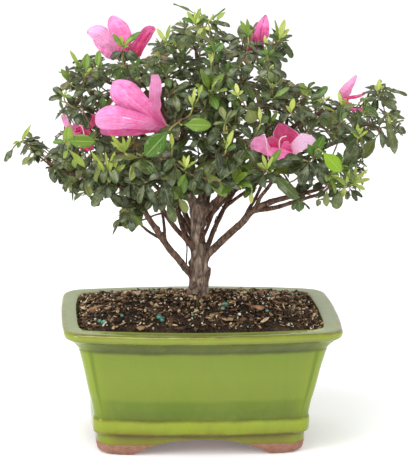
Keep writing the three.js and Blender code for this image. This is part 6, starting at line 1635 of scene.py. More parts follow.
    ((240, 38), [(221, 37.4, 7, 0, .35, .8), (232, 44, 6.5, 0, .3, .6), (238, 31, 4, .1, .4, .8)]),
    ((248, 37), [(241, 20.5, 5.4, .68, .5, .3), (247.8, 19.5, 4.6, .66, .5, .3), (252, 29, 3.6, .6, .6, .5), (239, 33, 4.4, .1, .3, .8)]),
    ((256, 45), [(245, 41, 5.4, 0, .3, .7), (265, 51, 6.4, 0, .2, .6), (250, 54, 6, 0, .25, .5), (262, 43, 4, 0, .2, .8)], -16),
    ((266, 47), [(265, 35.5, 4.6, .93, .9, .2), (270, 42, 3.4, .8, .7, .5)], -18),
    ((279, 40), [(275.6, 20.5, 2.8, .6, .7, .4), (284.2, 20.5, 7, .84, .8, .15), (281, 31, 4, .85, .8, .4), (288, 29, 5, .8, .8, .3), (292, 35, 4.4, .1, .3, .7), (269.6, 36, 5.4, 0, .35, .7), (274, 32, 3.6, .5, .5, .5)]),
    ((282, 42), [(293, 57.5, 7, 0, .5, .35), (273, 49, 6, .1, .3, .6), (288, 47, 5, .1, .3, .7)]),
    ((268, 56), [(261, 50.5, 3.6, .45, .5, .5), (265, 48, 3.4, .6, .7, .4), (284, 55, 5.4, .1, .35, .6), (273, 49.5, 3.8, .4, .5, .5), (258, 63, 5, .2, .3, .5), (276, 62, 6, .1, .3, .5)]),
    ((272, 60), [(281, 69.5, 9.4, 0, .25, .4), (264, 70, 7, 0, .3, .5), (268, 66, 6, .1, .3, .6)]),
    ((214, 53), [(223, 43.5, 9.5, .5, .2, .3), (205, 50, 7, .3, .3, .5), (219, 61, 9, .45, .25, .4), (212, 41, 4, .4, .6, .5)]),
    ((210.5, 64), [(208.4, 44, 4, .86, .9, .2), (214.6, 47, 3.6, .9, .8, .3), (211.6, 51, 3.6, .8, .7, .2)], -52),
    ((269, 67), [(262.6, 51.5, 4, .62, .7, .3), (270.4, 49.5, 4.6, .58, .6, .3), (277.6, 57, 5, .5, .6, .4), (259, 60, 4, .55, .6, .5)], -34),
    ((211, 66), [(212, 52.5, 4.4, .7, .9, .3), (204, 61, 6, .1, .3, .5), (220, 72, 8, .1, .3, .5), (206, 74, 8, .1, .3, .5)]),
    ((247, 53), [(237, 63.5, 7, 0, .4, .5), (240, 54, 6, 0, .3, .7), (256, 62, 7, 0, .3, .5)]),
    ((268, 69), [(280.5, 85, 8.4, 0, .6, .3), (260, 76, 7, 0, .3, .5), (288, 76, 7, 0, .35, .5), (273, 82, 7, .1, .8, .4)]),
    ((240, 68), [(227, 75, 8.4, 0, .35, .5), (231, 64, 6, .1, .35, .6), (247, 78, 8, 0, .3, .5), (251, 68, 7, .1, .3, .6)]),
    # middle and right of the middle
    ((192.5, 107), [(194.8, 87.5, 4, .82, .8, .2), (186, 99, 6, .1, .4, .5), (201, 104, 6, .1, .4, .5), (190, 96, 3.4, .8, .8, .4)]),
    ((198, 99), [(202, 85, 4.2, .72, .7, .2), (207, 93, 6, .1, .3, .5)]),
    ((238, 96), [(236, 83.5, 5.4, .92, .9, .2), (231, 91, 4, .8, .8, .4), (243, 90, 4, .8, .8, .4), (228, 98, 8, .1, .3, .5), (248, 99, 8, .1, .3, .5)]),
    ((247, 108), [(254, 122.5, 14, .1, .95, .15), (237, 113, 9, 0, .4, .5), (257, 105, 8, 0, .35, .6)]),
    ((260.4, 124), [(259.6, 107.5, 4.8, .8, 1.0, .2), (268, 117, 7, .1, .4, .5)]),
    ((252, 139), [(264, 125.5, 9.4, .1, .3, .4), (243, 128, 9, 0, .3, .5), (245, 146, 10, 0, .4, .4)]),
    ((272, 99), [(289, 87, 5.4, .42, .8, .4), (262, 94, 7, .1, .4, .5), (279, 108, 8, 0, .3, .5)]),
    ((309, 99), [(301, 83.5, 7.6, .42, 1.0, .25), (318, 95, 6, .1, .3, .6), (300, 105, 7, 0, .35, .5)]),
    ((310, 103), [(327, 86.5, 8.6, .3, .5, .3), (321, 106, 7, .1, .3, .5)]),
    ((306, 90), [(322.5, 87, 3.4, 0, .25, .9), (314, 82, 3.6, 0, .3, .9), (298, 84, 5, 0, .3, .8)]),
    ((291, 113), [(293.5, 98.5, 6.4, .9, .7, .15), (287, 106, 4, .8, .7, .4), (279, 121.5, 8.4, 0, .3, .4), (300, 118, 8, 0, .3, .4)]),
    ((298, 106), [(303.5, 121, 8.4, 0, .45, .3), (308, 112, 7, 0, .3, .5)]),
    ((318, 118), [(331, 113, 7, 0, .3, .6), (310, 127, 9, 0, .3, .5), (327, 126, 9, .1, .5, .4), (307, 113, 6, 0, .3, .6)]),
    ((342, 106), [(338.6, 92, 5, .9, .9, .2), (346, 99, 5, .85, .6, .3), (331, 103, 6, 0, .3, .7), (350, 109, 6, 0, .3, .6)], -48),
    ((378, 93), [(379.4, 79.5, 6, .85, .8, .2), (375, 85, 3.6, .8, .8, .4), (384, 85, 3.4, .8, .8, .4)]),
    ((377, 91), [(362, 93, 2.8, 0, .4, .8), (366, 86.5, 2.8, 0, .5, .8), (393, 87, 2.8, 0, .4, .8), (397, 96, 4.6, 0, .4, .6)]),
    ((384, 89), [(407.5, 94, 4.4, 0, .5, .7)]),
    ((379, 98), [(397, 108.5, 9.4, 0, .6, .35), (366, 100, 7, 0, .4, .6), (374, 110, 8, 0, .35, .5)]),
    ((388, 113), [(405, 117.5, 3.6, 0, .6, .7), (400, 111, 4, 0, .3, .8), (398.5, 118.5, 4.4, .8, 1.0, .4), (390, 126, 4.4, .7, .9, .4)]),
    ((396, 126), [(406, 133, 6.4, 0, .3, .3)]),
    ((385, 117), [(396.5, 153.5, 9.4, 0, .7, .25), (378, 124, 6, 0, .5, .6)]),
    ((379, 130), [(390, 147, 5.4, 0, .3, .3), (384, 148, 5, 0, .4, .4), (370, 128, 7, 0, .4, .6)]),
    ((377, 136), [(362.5, 157.5, 11, 0, .8, .2), (366, 134, 7, 0, .5, .6)]),
    ((358, 137), [(346.5, 165.5, 14.5, 0, .5, .15), (346, 146, 9, 0, .35, .4), (366, 153, 2.8, 0, .3, .4)]),
    ((357, 139), [(357.6, 123.5, 4, .92, .7, .2), (367.4, 130.5, 3.4, .86, .7, .3), (352, 130, 3.6, .85, .6, .3), (362, 127, 3, .85, .7, .4), (347, 136, 5, .3, .5, .6)]),
    ((357, 160), [(367.5, 166.5, 2.4, 0, .3, .5), (350, 167, 6, .1, .6, .5)]),
    ((321.5, 151), [(341.5, 171.5, 14.5, 1.35, .4, .05, -3)], -78),
    ((313, 158), [(323.5, 136, 9.6, .5, .55, .2), (309, 145, 7, .45, .5, .4), (316, 140, 5, .55, .7, .4), (321, 150, 6, .3, .4, .5)]),
    ((309, 162), [(287, 172, 8.6, 0, .3, .5), (300.5, 185, 12, 0, .2, .25), (292, 160, 7, 0, .35, .7), (318, 172, 8, 0, .25, .5)]),
    ((314, 165), [(329.5, 183, 14.5, 0, .3, .2), (331, 165, 8, 0, .25, .6), (309, 187, 5.4, 0, .2, .4)]),
    ((303, 160), [(271, 165.5, 8.6, .05, .35, .5), (286, 156, 7, 0, .3, .7)]),
    ((270, 173), [(298, 198.5, 12.6, .08, .5, .25)]),
    ((267, 170), [(262.6, 154.5, 4.4, .8, .8, .2), (272, 157, 4, .75, .8, .4), (280, 149, 7, .5, .9, .25), (259, 163, 4, .7, .6, .5), (275, 166, 5, .4, .6, .5)], -78),
    ((264, 173), [(242, 184.5, 10.4, .05, .3, .4), (252, 172, 8, 0, .3, .6), (262, 188, 9, .05, .35, .4), (277, 181, 8, 0, .3, .5)]),
    ((252, 190), [(250.6, 204, 5.4, .75, 1.0, .3), (244, 197, 5, .1, .6, .5)]),
    ((246, 149), [(231, 167, 12.4, 0, .55, .25), (239, 158, 9, 0, .4, .5), (258, 160, 10, 0, .4, .4)]),
    ((227, 159), [(220, 177.5, 11.4, 0, .65, .2), (212, 166, 9, 0, .4, .5), (236, 172, 10, 0, .35, .4)]),
    ((222, 133), [(207.5, 142, 11.4, 0, .3, .4), (213, 131, 8, 0, .4, .6), (231, 143, 9, 0, .35, .5)]),
    ((226, 150), [(225.2, 123.5, 6, .9, .8, .15), (232.4, 131, 6, .86, .8, .15), (221, 141, 5, .5, .6, .4), (235, 145, 6, .3, .5, .5)]),
    ((203, 169), [(226.5, 196.5, 11.6, .3, .95, .1), (196, 180, 8, 0, .3, .5)]),
    ((206, 180), [(210, 196, 7, 0, .2, .4), (219, 187, 8, 0, .35, .5)]),
    # lower right
    ((346, 186), [(340.4, 198, 7.4, .95, .9, .2), (349, 170.5, 4, .9, .8, .3), (342, 178, 4, .85, .8, .4), (336, 185, 5, .4, .6, .6)]),
    ((352, 184), [(356.5, 167, 4.6, .9, .8, .2), (366.8, 169.5, 4.2, .88, .8, .3), (370.4, 178, 5.4, .84, .8, .3), (366, 189, 4.6, .84, .7, .3), (361, 176, 4, .9, .9, .3)]),
    ((350, 189), [(357.5, 201, 5.4, 0, .3, .3), (362.6, 196.5, 4.4, 0, .3, .4), (346, 200, 5, 0, .4, .4)]),
    ((340, 189), [(335.5, 209, 11.4, .05, .75, .15), (329, 196, 7, 0, .4, .5)]),
    ((327, 190), [(325.8, 206.5, 6.6, .1, .95, .2), (318, 196, 6, 0, .4, .5)]),
    ((298, 199), [(300.6, 211.5, 9.4, .25, .4, .2), (292.4, 209.5, 5.6, .1, .3, .3), (311.6, 209, 2.4, 0, .2, .4), (304, 195, 6, 0, .3, .6)]),
    ((252.6, 33), [(257.6, 22.2, 4.4, -.4, .8, .3), (250.2, 25.4, 4, .2, .7, .4)], -8),
]


def add_placed(leaves):
    for g in GROUPS:
        placed(leaves, g[0], g[1], y=g[2] if len(g) > 2 else None)


# ------------------------------------------------------------------ the rest of the crown
FLOWER_PLACES = [
    ((-55.3, -30, 287), (-0.1, -0.3, 0.95), 0.86, 0.85), ((-31.2, -54, 243.5), (-0.93, -0.1, 0.34), 1.1, 0.74),
    ((53.7, -52, 220.2), (-0.05, -0.78, 0.62), 0.95, 1.0), ((35.9, -4, 294.7), (0.34, -0.1, 0.94), 0.62, 0.1),
    ((95.1, -32, 255.8), (0.34, -0.45, 0.82), 0.58, 0.62), ((-85.6, -44, 230.8), (-0.55, -0.5, 0.67), 0.74, 0.8),
]


def in_flower(points):
    out = np.zeros(np.asarray(points).shape[:-1], bool)
    for base, axis, size, opened in FLOWER_PLACES:
        a = unit(axis)
        d = np.asarray(points, float) - np.array(base, float)
        h = d @ a
        radial = np.sqrt(np.maximum((d * d).sum(-1) - h * h, 0))
        reach = 46 * size
        limit = 4.0 + (opened * 30 + 3) * size * np.clip(h / reach, 0, 1) ** 0.75
        out |= (h > -4) & (h < reach) & (radial < limit)
    return out


def fill_crown(leaves, wanted=380, seed=77):
    r = rand(seed)
    placed_tips = np.array([t[0] for t in leaves.tips]) if leaves.tips else np.zeros((0, 3))
    centres = [p for p in placed_tips]
    made = 0
    for k in range(60000):
        if made >= wanted:
            break
        x, y, z = r(-146, 147), r(-88, 88), r(130, 318)
        s = math.sqrt((x / 150) ** 2 + (y / 92) ** 2 + ((z - 236) / 86) ** 2)
        if s > 1.0 or s < 0.34:
            continue
        if s < 0.6 and r() < 0.45:
            continue
        p = np.array([x, y, z])
        if not clear_view(p[None], 0.3)[0]:
            continue
        q = proj(p)
        rim = 4.5 if p[2] > 150 else 3.0
        if not inside_polygon(q[None] + rim * np.array([(1, 0), (-1, 0), (0, 1), (0, -1), (0.7, 0.7), (-0.7, 0.7), (0.7, -0.7), (-0.7, -0.7)]), CROWN).all():
            continue
        gap = 11.6 + 3.4 * (y > -20)
        c = np.array(centres)
        if len(c) and (((c - p) ** 2).sum(-1) < gap * gap).any():
            continue
        if in_flower(p[None])[0]:
            continue
        axis = unit(np.array([x / 150, y / 92, (z - 205) / 86 * 0.9 + 0.35]) + np.array([r(-.35, .35), r(-.35, .35), r(-.25, .35)]))
        small = np.clip((abs(x) - 60) / 90, 0, 1)
        size = (16.5 - 4.5 * small) * r(0.84, 1.16)
        if z > 285:
            size *= 0.85
        fresh = r()
        plain = 0.42 if 180 < q[0] < 228 and q[1] < 116 else (0.52 if q[0] > 300 else 0.64)
        young = 0.0 if fresh < plain else (r(0.1, 0.4) if fresh < 0.84 else r(0.5, 0.85))
        if s < 0.7:
            young *= 0.4
        if young < 0.05 and r() < (0.34 if s < 0.75 else 0.17):
            young = -r(0.3, 0.9)
        before = len(leaves.rows)
        n = 6 + int(r(0, 3.2))
        if young > 0.55:
            made_now = rosette(leaves, p, axis, k, count=n, size=size * 0.9, young=young, tone=r(.3, .8), spread=(24, 62))
        else:
            made_now = rosette(leaves, p, axis, k, count=n, size=size, young=young, tone=r(.12, .8))
        keep = []
        for row in leaves.rows[before:]:
            b, d, length = np.array(row[0]), np.array(row[1]), row[3]
            q = b + np.outer([0.3, 0.7, 1.0], d * length)
            if in_flower(q).any() or (np.abs(q[:, 0]) > 147).any() or (np.abs(q[:, 1]) > 92).any() or (q[:, 2] > 318).any():
                continue
            keep.append(row)
        del leaves.rows[before:]
        leaves.rows.extend(keep)
        if len(keep) < 3:
            del leaves.rows[before:]
            if made_now:
                leaves.tips.pop()
            continue
        centres.append(p)
        made += 1
    return made


def nearest_shoot(points):
    c = np.array([s[1] for s in SHOOTS], float)
    d = ((np.asarray(points, float)[:, None] - c[None]) ** 2).sum(-1)
    return d.argmin(1)


def make_twigs(leaves, material):
    """A thin curved twig joins every whorl to the wood, or to a twig that was grown before it."""
    nodes, radius, tangent = [], [], []
    for n in LIMBS:
        if n == "trunk":
            continue
        l = limb_line(n, 4.0)
        tang = unit(np.gradient(l[:, :3], axis=0))
        for k in range(2, len(l)):
            nodes.append(l[k, :3])
            radius.append(l[k, 3])
            tangent.append(tang[k])
    wood = np.array(nodes)
    order = sorted(range(len(leaves.tips)), key=lambda k: ((wood - leaves.tips[k][0]) ** 2).sum(-1).min())
    groups = nearest_shoot([t[0] for t in leaves.tips])
    builds = {}
    heart = np.array([0, 0, 175.0])
    for k in order:
        tip, axis, young = leaves.tips[k]
        pts = np.array(nodes)
        d = tip - pts
        dist = np.linalg.norm(d, axis=1)
        u = d / np.maximum(dist, 1e-6)[:, None]
        inward = unit(pts - heart)
        grows_out = (u * inward).sum(1)
        arrives = u @ axis
        cost = dist * (1.25 - 0.35 * grows_out - 0.25 * arrives) + 18 * (dist < 4) + 8 * (u[:, 2] < -0.5)
        j = int(cost.argmin())
        a, ra = pts[j], radius[j]
        length = dist[j]
        if length < 1.5:
            continue
        start_dir = unit(0.7 * np.array(tangent[j]) + 0.9 * u[j] + np.array([0, 0, 0.1]))
        c1 = a + start_dir * length * 0.35
        c2 = tip - axis * length * 0.38
        n = int(np.clip(length / 2.6, 5, 16))
        t = np.linspace(0, 1, n)[:, None]
        line = (1 - t) ** 3 * a + 3 * (1 - t) ** 2 * t * c1 + 3 * (1 - t) * t * t * c2 + t ** 3 * tip
        wig = np.stack([noise3(line + 3, 7.0, 61), noise3(line + 9, 7.0, 62), noise3(line + 5, 7.0, 63)], -1)
        line = line + wig * (0.9 * np.sin(math.pi * t))
        r0 = min(ra * 0.8, 0.52 + 0.011 * length)
        rr = np.linspace(r0, 0.5, n)
        g = np.clip(np.linspace(-0.5, 0.35 + 0.8 * young, n), 0, 1)
        b = builds.setdefault(int(groups[k]), Build())
        phase = float(k % 7)
        tube(b, line, rr, sides=6, bumps=lambda ring, ang: 1 + 0.16 * noise3(ring, 1.9, 45) + 0.16 * (np.sin(np.arange(len(ring)) * 1.9 + phase) > 0.6)[:, None],
             green=g, girth=rr)
        for i in (n // 2, n - 2):
            nodes.append(line[i])
            radius.append(rr[i])
            tangent.append(unit(line[min(i + 1, n - 1)] - line[i - 1]))
    total = 0
    for g, b in builds.items():
        total += b.tris_count()
        b.make(SHOOTS[g][0].replace("foliage_", "twigs_"), material, slot="bark")
    return total


def make_leaves(leaves, material):
    v, values = leaf_shells(leaves.rows)
    n = len(leaves.rows)
    per = 2 * len(ROW_T) * len(COL_U)
    group = nearest_shoot(np.array([r[0] for r in leaves.rows]))
    total = 0
    lo_h, hi_h = np.array(CAD_LO) * 1000, np.array(CAD_HI) * 1000
    for g, (name, centre) in enumerate(SHOOTS):
        pick = np.nonzero(group == g)[0]
        if not len(pick):
            raise RuntimeError("no leaves for " + name)
        b = Build()
        verts = v[pick].reshape(-1, 3)
        quads = (SHELL[None] + (np.arange(len(pick)) * per)[:, None, None]).reshape(-1, 4)
        b.add(verts, quads, **{k: a[pick].ravel() for k, a in values.items()})
        total += b.tris_count()
        b.make(name.replace("foliage_", "leaves_"), material, slot="leaf", replaces=(name,))
    return total


crown_leaves = Leaves()
add_placed(crown_leaves)
n_placed = len(crown_leaves.rows)
n_whorls = fill_crown(crown_leaves)
t_leaf = make_leaves(crown_leaves, leaf_material())
t_twig = make_twigs(crown_leaves, twig_material())
print("leaves", n_placed, len(crown_leaves.rows), "whorls", n_whorls, "triangles", t_leaf, t_twig)


# ------------------------------------------------------------------ flowers
def lobe_shell(b, base, axis, tip, width, seed, rows=26, cols=13, keel=0.16, ruffle=1.3, tube_r=2.3, deep=0.0, flame=0.0, blunt=1.0, turn=0.0, length_share=0.36, cup=0.0):
    """One lobe of a funnel: it starts as a fifth of the tube, widens, and ends round and ruffled at its tip."""
    base, tip, axis = np.array(base, float), np.array(tip, float), unit(axis)
    d = tip - base
    h = float(d @ axis)
    perp = d - h * axis
    R = float(np.linalg.norm(perp))
    out = perp / max(R, 1e-6)
    L = float(np.linalg.norm(d))
    ctrl = np.array([(tube_r, 0.0), (tube_r + 0.05 * L, length_share * L), (tube_r + 0.42 * R, max(0.62 * L * 0.9, h * 0.9)), (R, h)])
    t = np.linspace(0, 1, rows)
    bz = ((1 - t) ** 3)[:, None] * ctrl[0] + (3 * (1 - t) ** 2 * t)[:, None] * ctrl[1] + (3 * (1 - t) * t * t)[:, None] * ctrl[2] + (t ** 3)[:, None] * ctrl[3]
    mid = base + out * bz[:, :1] + axis * bz[:, 1:]
    tang = unit(np.gradient(mid, axis=0))
    s0 = unit(np.cross(axis, out))
    nor = unit(np.cross(s0, tang))
    flip = np.sign((nor * out).sum(-1).mean()) or 1.0
    nor = nor * flip
    ang = turn * t[:, None] ** 1.2
    side = s0[None] * np.cos(ang) + nor * np.sin(ang)
    nor = nor * np.cos(ang) - s0[None] * np.sin(ang)
    u = np.linspace(-1, 1, cols)
    W = width / 2
    grow = np.clip((t - 0.16) / 0.5, 0, 1)
    grow = grow * grow * (3 - 2 * grow)
    w = tube_r * 0.72 + (W - tube_r * 0.72) * grow
    w = np.maximum(w, np.where(t < 0.45, 0.6 * bz[:, 0], 0))
    end = np.clip((t - 0.64) / 0.36, 0, 1)
    w = w * np.sqrt(np.maximum(1 - end ** (2.2 * blunt), 0.0)) + 0.25
    r_eff = bz[:, 0]
    phi = np.clip(w / np.maximum(r_eff, 0.5), 0, 1.2)
    # tube part: bent round the axis; limb part: nearly flat
    flat = np.clip((t - 0.22) / 0.3, 0, 1)
    flat = flat * flat * (3 - 2 * flat)
    arc_s = r_eff[:, None] * np.sin(phi[:, None] * u)
    arc_n = -r_eff[:, None] * (1 - np.cos(phi[:, None] * u))
    lin_s = w[:, None] * u
    lin_n = -(keel * w[:, None] * np.abs(u) ** 1.3) + cup * w[:, None] * u ** 2
    ds = arc_s * (1 - flat[:, None]) + lin_s * flat[:, None]
    dn = arc_n * (1 - flat[:, None]) + lin_n * flat[:, None]
    edge = np.abs(u)[None] ** 2.2 * np.clip((t[:, None] - 0.3) / 0.35, 0, 1)
    ph = seed * 1.7
    wave = np.sin(t[:, None] * 15.0 + ph + np.sign(u)[None] * 1.3) + 0.55 * np.sin(t[:, None] * 31.0 + ph * 2.3 + np.sign(u)[None] * 2.1)
    dn = dn + ruffle * 0.62 * edge * wave
    pos = mid[:, None] + side[:, None] * ds[..., None] + nor[:, None] * dn[..., None]
    crumple = 0.42 * noise3(pos + seed, 7.5, 71) + 0.2 * noise3(pos + seed, 3.2, 72)
    amount = np.clip((t[:, None] - 0.2) / 0.4, 0, 1)
    # the edge wanders a little in its own plane too
    jig = 0.5 * noise3(pos + 31 + seed, 4.0, 73) * np.abs(u)[None] ** 3 * amount
    pos = pos + nor[:, None] * (crumple * amount)[..., None] * min(1.0, ruffle) + side[:, None] * (jig * np.sign(u)[None])[..., None]
    thick = np.interp(t, [0, 0.3, 1], [0.5, 0.36, 0.26])[:, None] * (1 - 0.4 * np.abs(u)[None])
    outer = pos + nor[:, None] * (thick / 2)[..., None]
    inner = pos - nor[:, None] * (thick / 2)[..., None]
    verts = np.concatenate([outer.reshape(-1, 3), inner.reshape(-1, 3)])
    n = rows * cols
    q = [grid_quads(rows, cols), grid_quads(rows, cols, flip=True) + n]
    rim = []
    for r in range(rows - 1):
        a, c = r * cols, (r + 1) * cols
        rim.append((a, n + a, n + c, c))
        rim.append((a + cols - 1, c + cols - 1, n + c + cols - 1, n + a + cols - 1))
    e = (rows - 1) * cols
    for c in range(cols - 1):
        rim.append((c, c + 1, n + c + 1, n + c))
        rim.append((e + c, n + e + c, n + e + c + 1, e + c + 1))
    quads = np.vstack([*q, np.array(rim)])
    # outward faces: the outer sheet's normals point along nor
    f = verts[quads[:, :3]][: len(q[0])]
    nn = np.cross(f[:, 1] - f[:, 0], f[:, 2] - f[:, 0])
    ref = np.repeat(nor, cols - 1, 0)[: len(nn)] if False else nor[np.minimum(np.arange(len(nn)) // (cols - 1), rows - 1)]
    if (nn * ref).sum() < 0:
        quads = quads[:, ::-1]
    uu = np.tile(u, rows)
    tt = np.repeat(t, cols)
    b.add(verts, quads, across=np.tile(uu, 2), along=np.tile(tt, 2), outer=np.concatenate([np.ones(n), np.zeros(n)]), flame=flame, deep=deep, edge=0.0)


def green_cup(b, base, axis, size):
    """Five narrow hairy sepals round the foot of the tube."""
    axis = unit(axis)
    e1, e2 = side_dirs(axis)
    line = np.array([np.array(base) - axis * 3.2, np.array(base) - axis * 1.6, np.array(base) + axis * 0.6])
    l = smooth_line(np.column_stack([line, [0.8, 1.9, 2.4]]), 7)
    tube(b, l, l[:, 3], sides=12, along=np.linspace(0.1, 0.5, 7))
    for k in range(5):
        a = k * 2 * math.pi / 5 + 0.4
        o = e1 * math.cos(a) + e2 * math.sin(a)
        p0 = np.array(base) + o * 1.7 - axis * 1.0
        p1 = np.array(base) + o * 3.0 + axis * 1.6
        p2 = np.array(base) + o * (3.6 + 0.4 * (k % 2)) + axis * (4.4 + 0.6 * (k % 3))
        l = smooth_line(np.array([(*p0, 1.05), (*p1, 0.85), (*p2, 0.18)]), 8)
        tube(b, l, l[:, 3], sides=7, along=np.linspace(0.4, 1.0, 8))


def flower_stalk(b, base, axis, carrier=None):
    axis = unit(axis)
    foot = np.array(base) - axis * 3.0
    neck = np.array(base) - axis * 8.5
    pts = []
    for n in LIMBS:
        if n == "trunk" or n.startswith("leader"):
            continue
        l = limb_line(n, 3.0)
        pts.extend(l[2:, :3])
    pts = np.array(pts)
    d = np.linalg.norm(pts - neck, axis=1)
    a = pts[int(d.argmin())]
    line = smooth_line(np.array([(*a, 0.85), (*(a * 0.45 + neck * 0.55 + np.array([0, 0, 0.8])), 0.72), (*neck, 0.75), (*foot, 0.95)]), 16)
    tube(b, line, line[:, 3], sides=8, bumps=lambda ring, ang: 1 + 0.12 * noise3(ring, 1.8, 46), along=np.linspace(0, 0.5, 16))


def filament(b, anther, pts, r=0.26, n=14, head=True):
    l = smooth_line(np.column_stack([np.array(pts, float), np.linspace(r * 1.25, r * 0.8, len(pts))]), n)
    tube(b, l, l[:, 3], sides=6, along=np.linspace(0, 1, n))
    if head:
        e = l[-1, :3]
        t = unit(l[-1, :3] - l[-3, :3])
        s, _ = side_dirs(t)
        a = smooth_line(np.array([(*(e - s * 0.55 - t * 0.1), 0.32), (*(e + t * 0.35), 0.46), (*(e + s * 0.75 + t * 0.1), 0.3)]), 7)
        tube(anther, a, a[:, 3], sides=7, along=1.0)


def unproj_grid(px, py, y):
    """Points on planes Y = y (mm) that lie on the lines of sight through picture positions."""
    ray = FWD + RIGHT * ((np.asarray(px, float) - IMG_W / 2) / FOCAL)[..., None] - UP * ((np.asarray(py, float) - IMG_H / 2) / FOCAL)[..., None]
    k = (np.asarray(y, float) - CAM[1]) / ray[..., 1]
    return CAM + k[..., None] * ray


def blade(b, left, right, y, dys, seed, keel=0.8, tilt=0.0, ruffle=0.5, rows=26, cols=15, deep=0.0, flame=0.0, edge=0.0, outer=1.0):
    """A lobe given by the two edges that are seen, from the foot of the flower to the tip, and by its depth on the way."""
    t = np.linspace(0, 1, rows)
    u = np.linspace(-1, 1, cols)
    el = smooth_line(np.column_stack([np.array(left, float), np.zeros(len(left))]), rows)
    er = smooth_line(np.column_stack([np.array(right, float), np.zeros(len(right))]), rows)
    mid, half = (el + er) / 2, (er - el) / 2
    px = mid[:, None, 0] + u[None] * half[:, None, 0]
    py = mid[:, None, 1] + u[None] * half[:, None, 1]
    width = np.linalg.norm(half[:, :2], axis=1) * 0.733
    depth = y + np.interp(t, np.linspace(0, 1, len(dys)), dys)[:, None] + tilt * u[None] * t[:, None]
    bow = np.minimum(width, 8.0)[:, None] * 0.2
    depth = depth - keel * bow * (1 - np.abs(u)[None] ** 1.6)
    pos = unproj_grid(px, py, depth)
    amount = np.clip(t[:, None] / 0.45, 0, 1)
    side = np.sign(u)[None]
    wave = np.sin(t[:, None] * 13.0 + seed * 1.7 + side * 1.3) + 0.55 * np.sin(t[:, None] * 27.0 + seed * 3.9 + side * 2.1)
    back = ruffle * (0.9 * np.abs(u)[None] ** 2.2 * wave + 1.4 * noise3(pos + seed, 8.0, 71) + 0.8 * noise3(pos + seed, 3.6, 72)) * amount
    shift = 0.35 * noise3(pos + 31 + seed, 4.2, 73) * np.abs(u)[None] ** 3 * amount * np.clip((1 - t[:, None]) * 6, 0, 1)
    pos = unproj_grid(px + shift * side, py, depth + back)
    du, dv = np.gradient(pos, axis=1), np.gradient(pos, axis=0)
    nor = unit(np.cross(du, dv))
    face = np.sign((nor * (CAM - pos)).sum(-1).mean()) or 1.0
    nor = nor * face
    thick = (np.interp(t, [0, 0.3, 1], [0.5, 0.38, 0.28])[:, None] * (1 - 0.45 * np.abs(u)[None]))[..., None]
    front, rear = pos + nor * thick / 2, pos - nor * thick / 2
    n = rows * cols
    verts = np.concatenate([front.reshape(-1, 3), rear.reshape(-1, 3)])
    rim = []
    for r in range(rows - 1):
        a, c = r * cols, (r + 1) * cols
        rim.append((a, n + a, n + c, c))
        rim.append((a + cols - 1, c + cols - 1, n + c + cols - 1, n + a + cols - 1))
    e = (rows - 1) * cols
    for c in range(cols - 1):
        rim.append((c, c + 1, n + c + 1, n + c))
        rim.append((e + c, n + e + c, n + e + c + 1, e + c + 1))
    quads = np.vstack([grid_quads(rows, cols), grid_quads(rows, cols, flip=True) + n, np.array(rim)])
    f = verts[grid_quads(rows, cols)[:, :3]]
    nn = np.cross(f[:, 1] - f[:, 0], f[:, 2] - f[:, 0])
    if (nn @ (CAM - pos.mean((0, 1)))).sum() < 0:
        quads = quads[:, ::-1]
    b.add(verts, quads, across=np.tile(np.tile(u, rows), 2), along=np.tile(np.repeat(t, cols), 2),
          outer=np.concatenate([np.full(n, outer), np.full(n, 1.0 - outer)]), flame=flame, deep=deep, edge=edge)


def funnel(b, base, axis, r0, r1, length, deep=0.2, rows=12, around=24):
    """The tube that the lobes share, closed round its axis and open at the top."""
    axis = unit(axis)
    e1, e2 = side_dirs(axis)
    t = np.linspace(0, 1, rows)
    a = np.arange(around) / around * 2 * math.pi
    r = r0 + (r1 - r0) * t ** 1.6
    o = np.cos(a)[:, None] * e1 + np.sin(a)[:, None] * e2
    ridge = 1 + 0.06 * np.cos(5 * a)[None] * t[:, None]
    out = np.asarray(base, float) + axis * (length * t)[:, None, None] + o[None] * (r[:, None] * ridge)[..., None]
    inn = np.asarray(base, float) + axis * (length * t + 0.3 * (1 - t))[:, None, None] + o[None] * ((r[:, None] - 0.35) * ridge)[..., None]
    n = rows * around
    verts = np.concatenate([out.reshape(-1, 3), inn.reshape(-1, 3), [np.asarray(base, float) - axis * 0.3, np.asarray(base, float) + axis * 0.4]])
    quads = [grid_quads(rows, around, wrap=True), grid_quads(rows, around, wrap=True, flip=True) + n]
    s = np.arange(around)
    e = (rows - 1) * around
    quads.append(np.stack([e + s, e + (s + 1) % around, n + e + (s + 1) % around, n + e + s], -1))
    tris = np.vstack([np.stack([np.full(around, 2 * n), (s + 1) % around, s], -1), np.stack([np.full(around, 2 * n + 1), n + s, n + (s + 1) % around], -1)])
    along = np.concatenate([np.tile(np.repeat(t * 0.4, around), 2), [0, 0]])
    outer = np.concatenate([np.ones(n), np.zeros(n), [1, 0]])
    across = np.full(2 * n + 2, 0.5)
    b.add(verts, np.vstack(quads), tris, across=across, along=along, outer=outer, flame=0.0, deep=deep, edge=0.0)
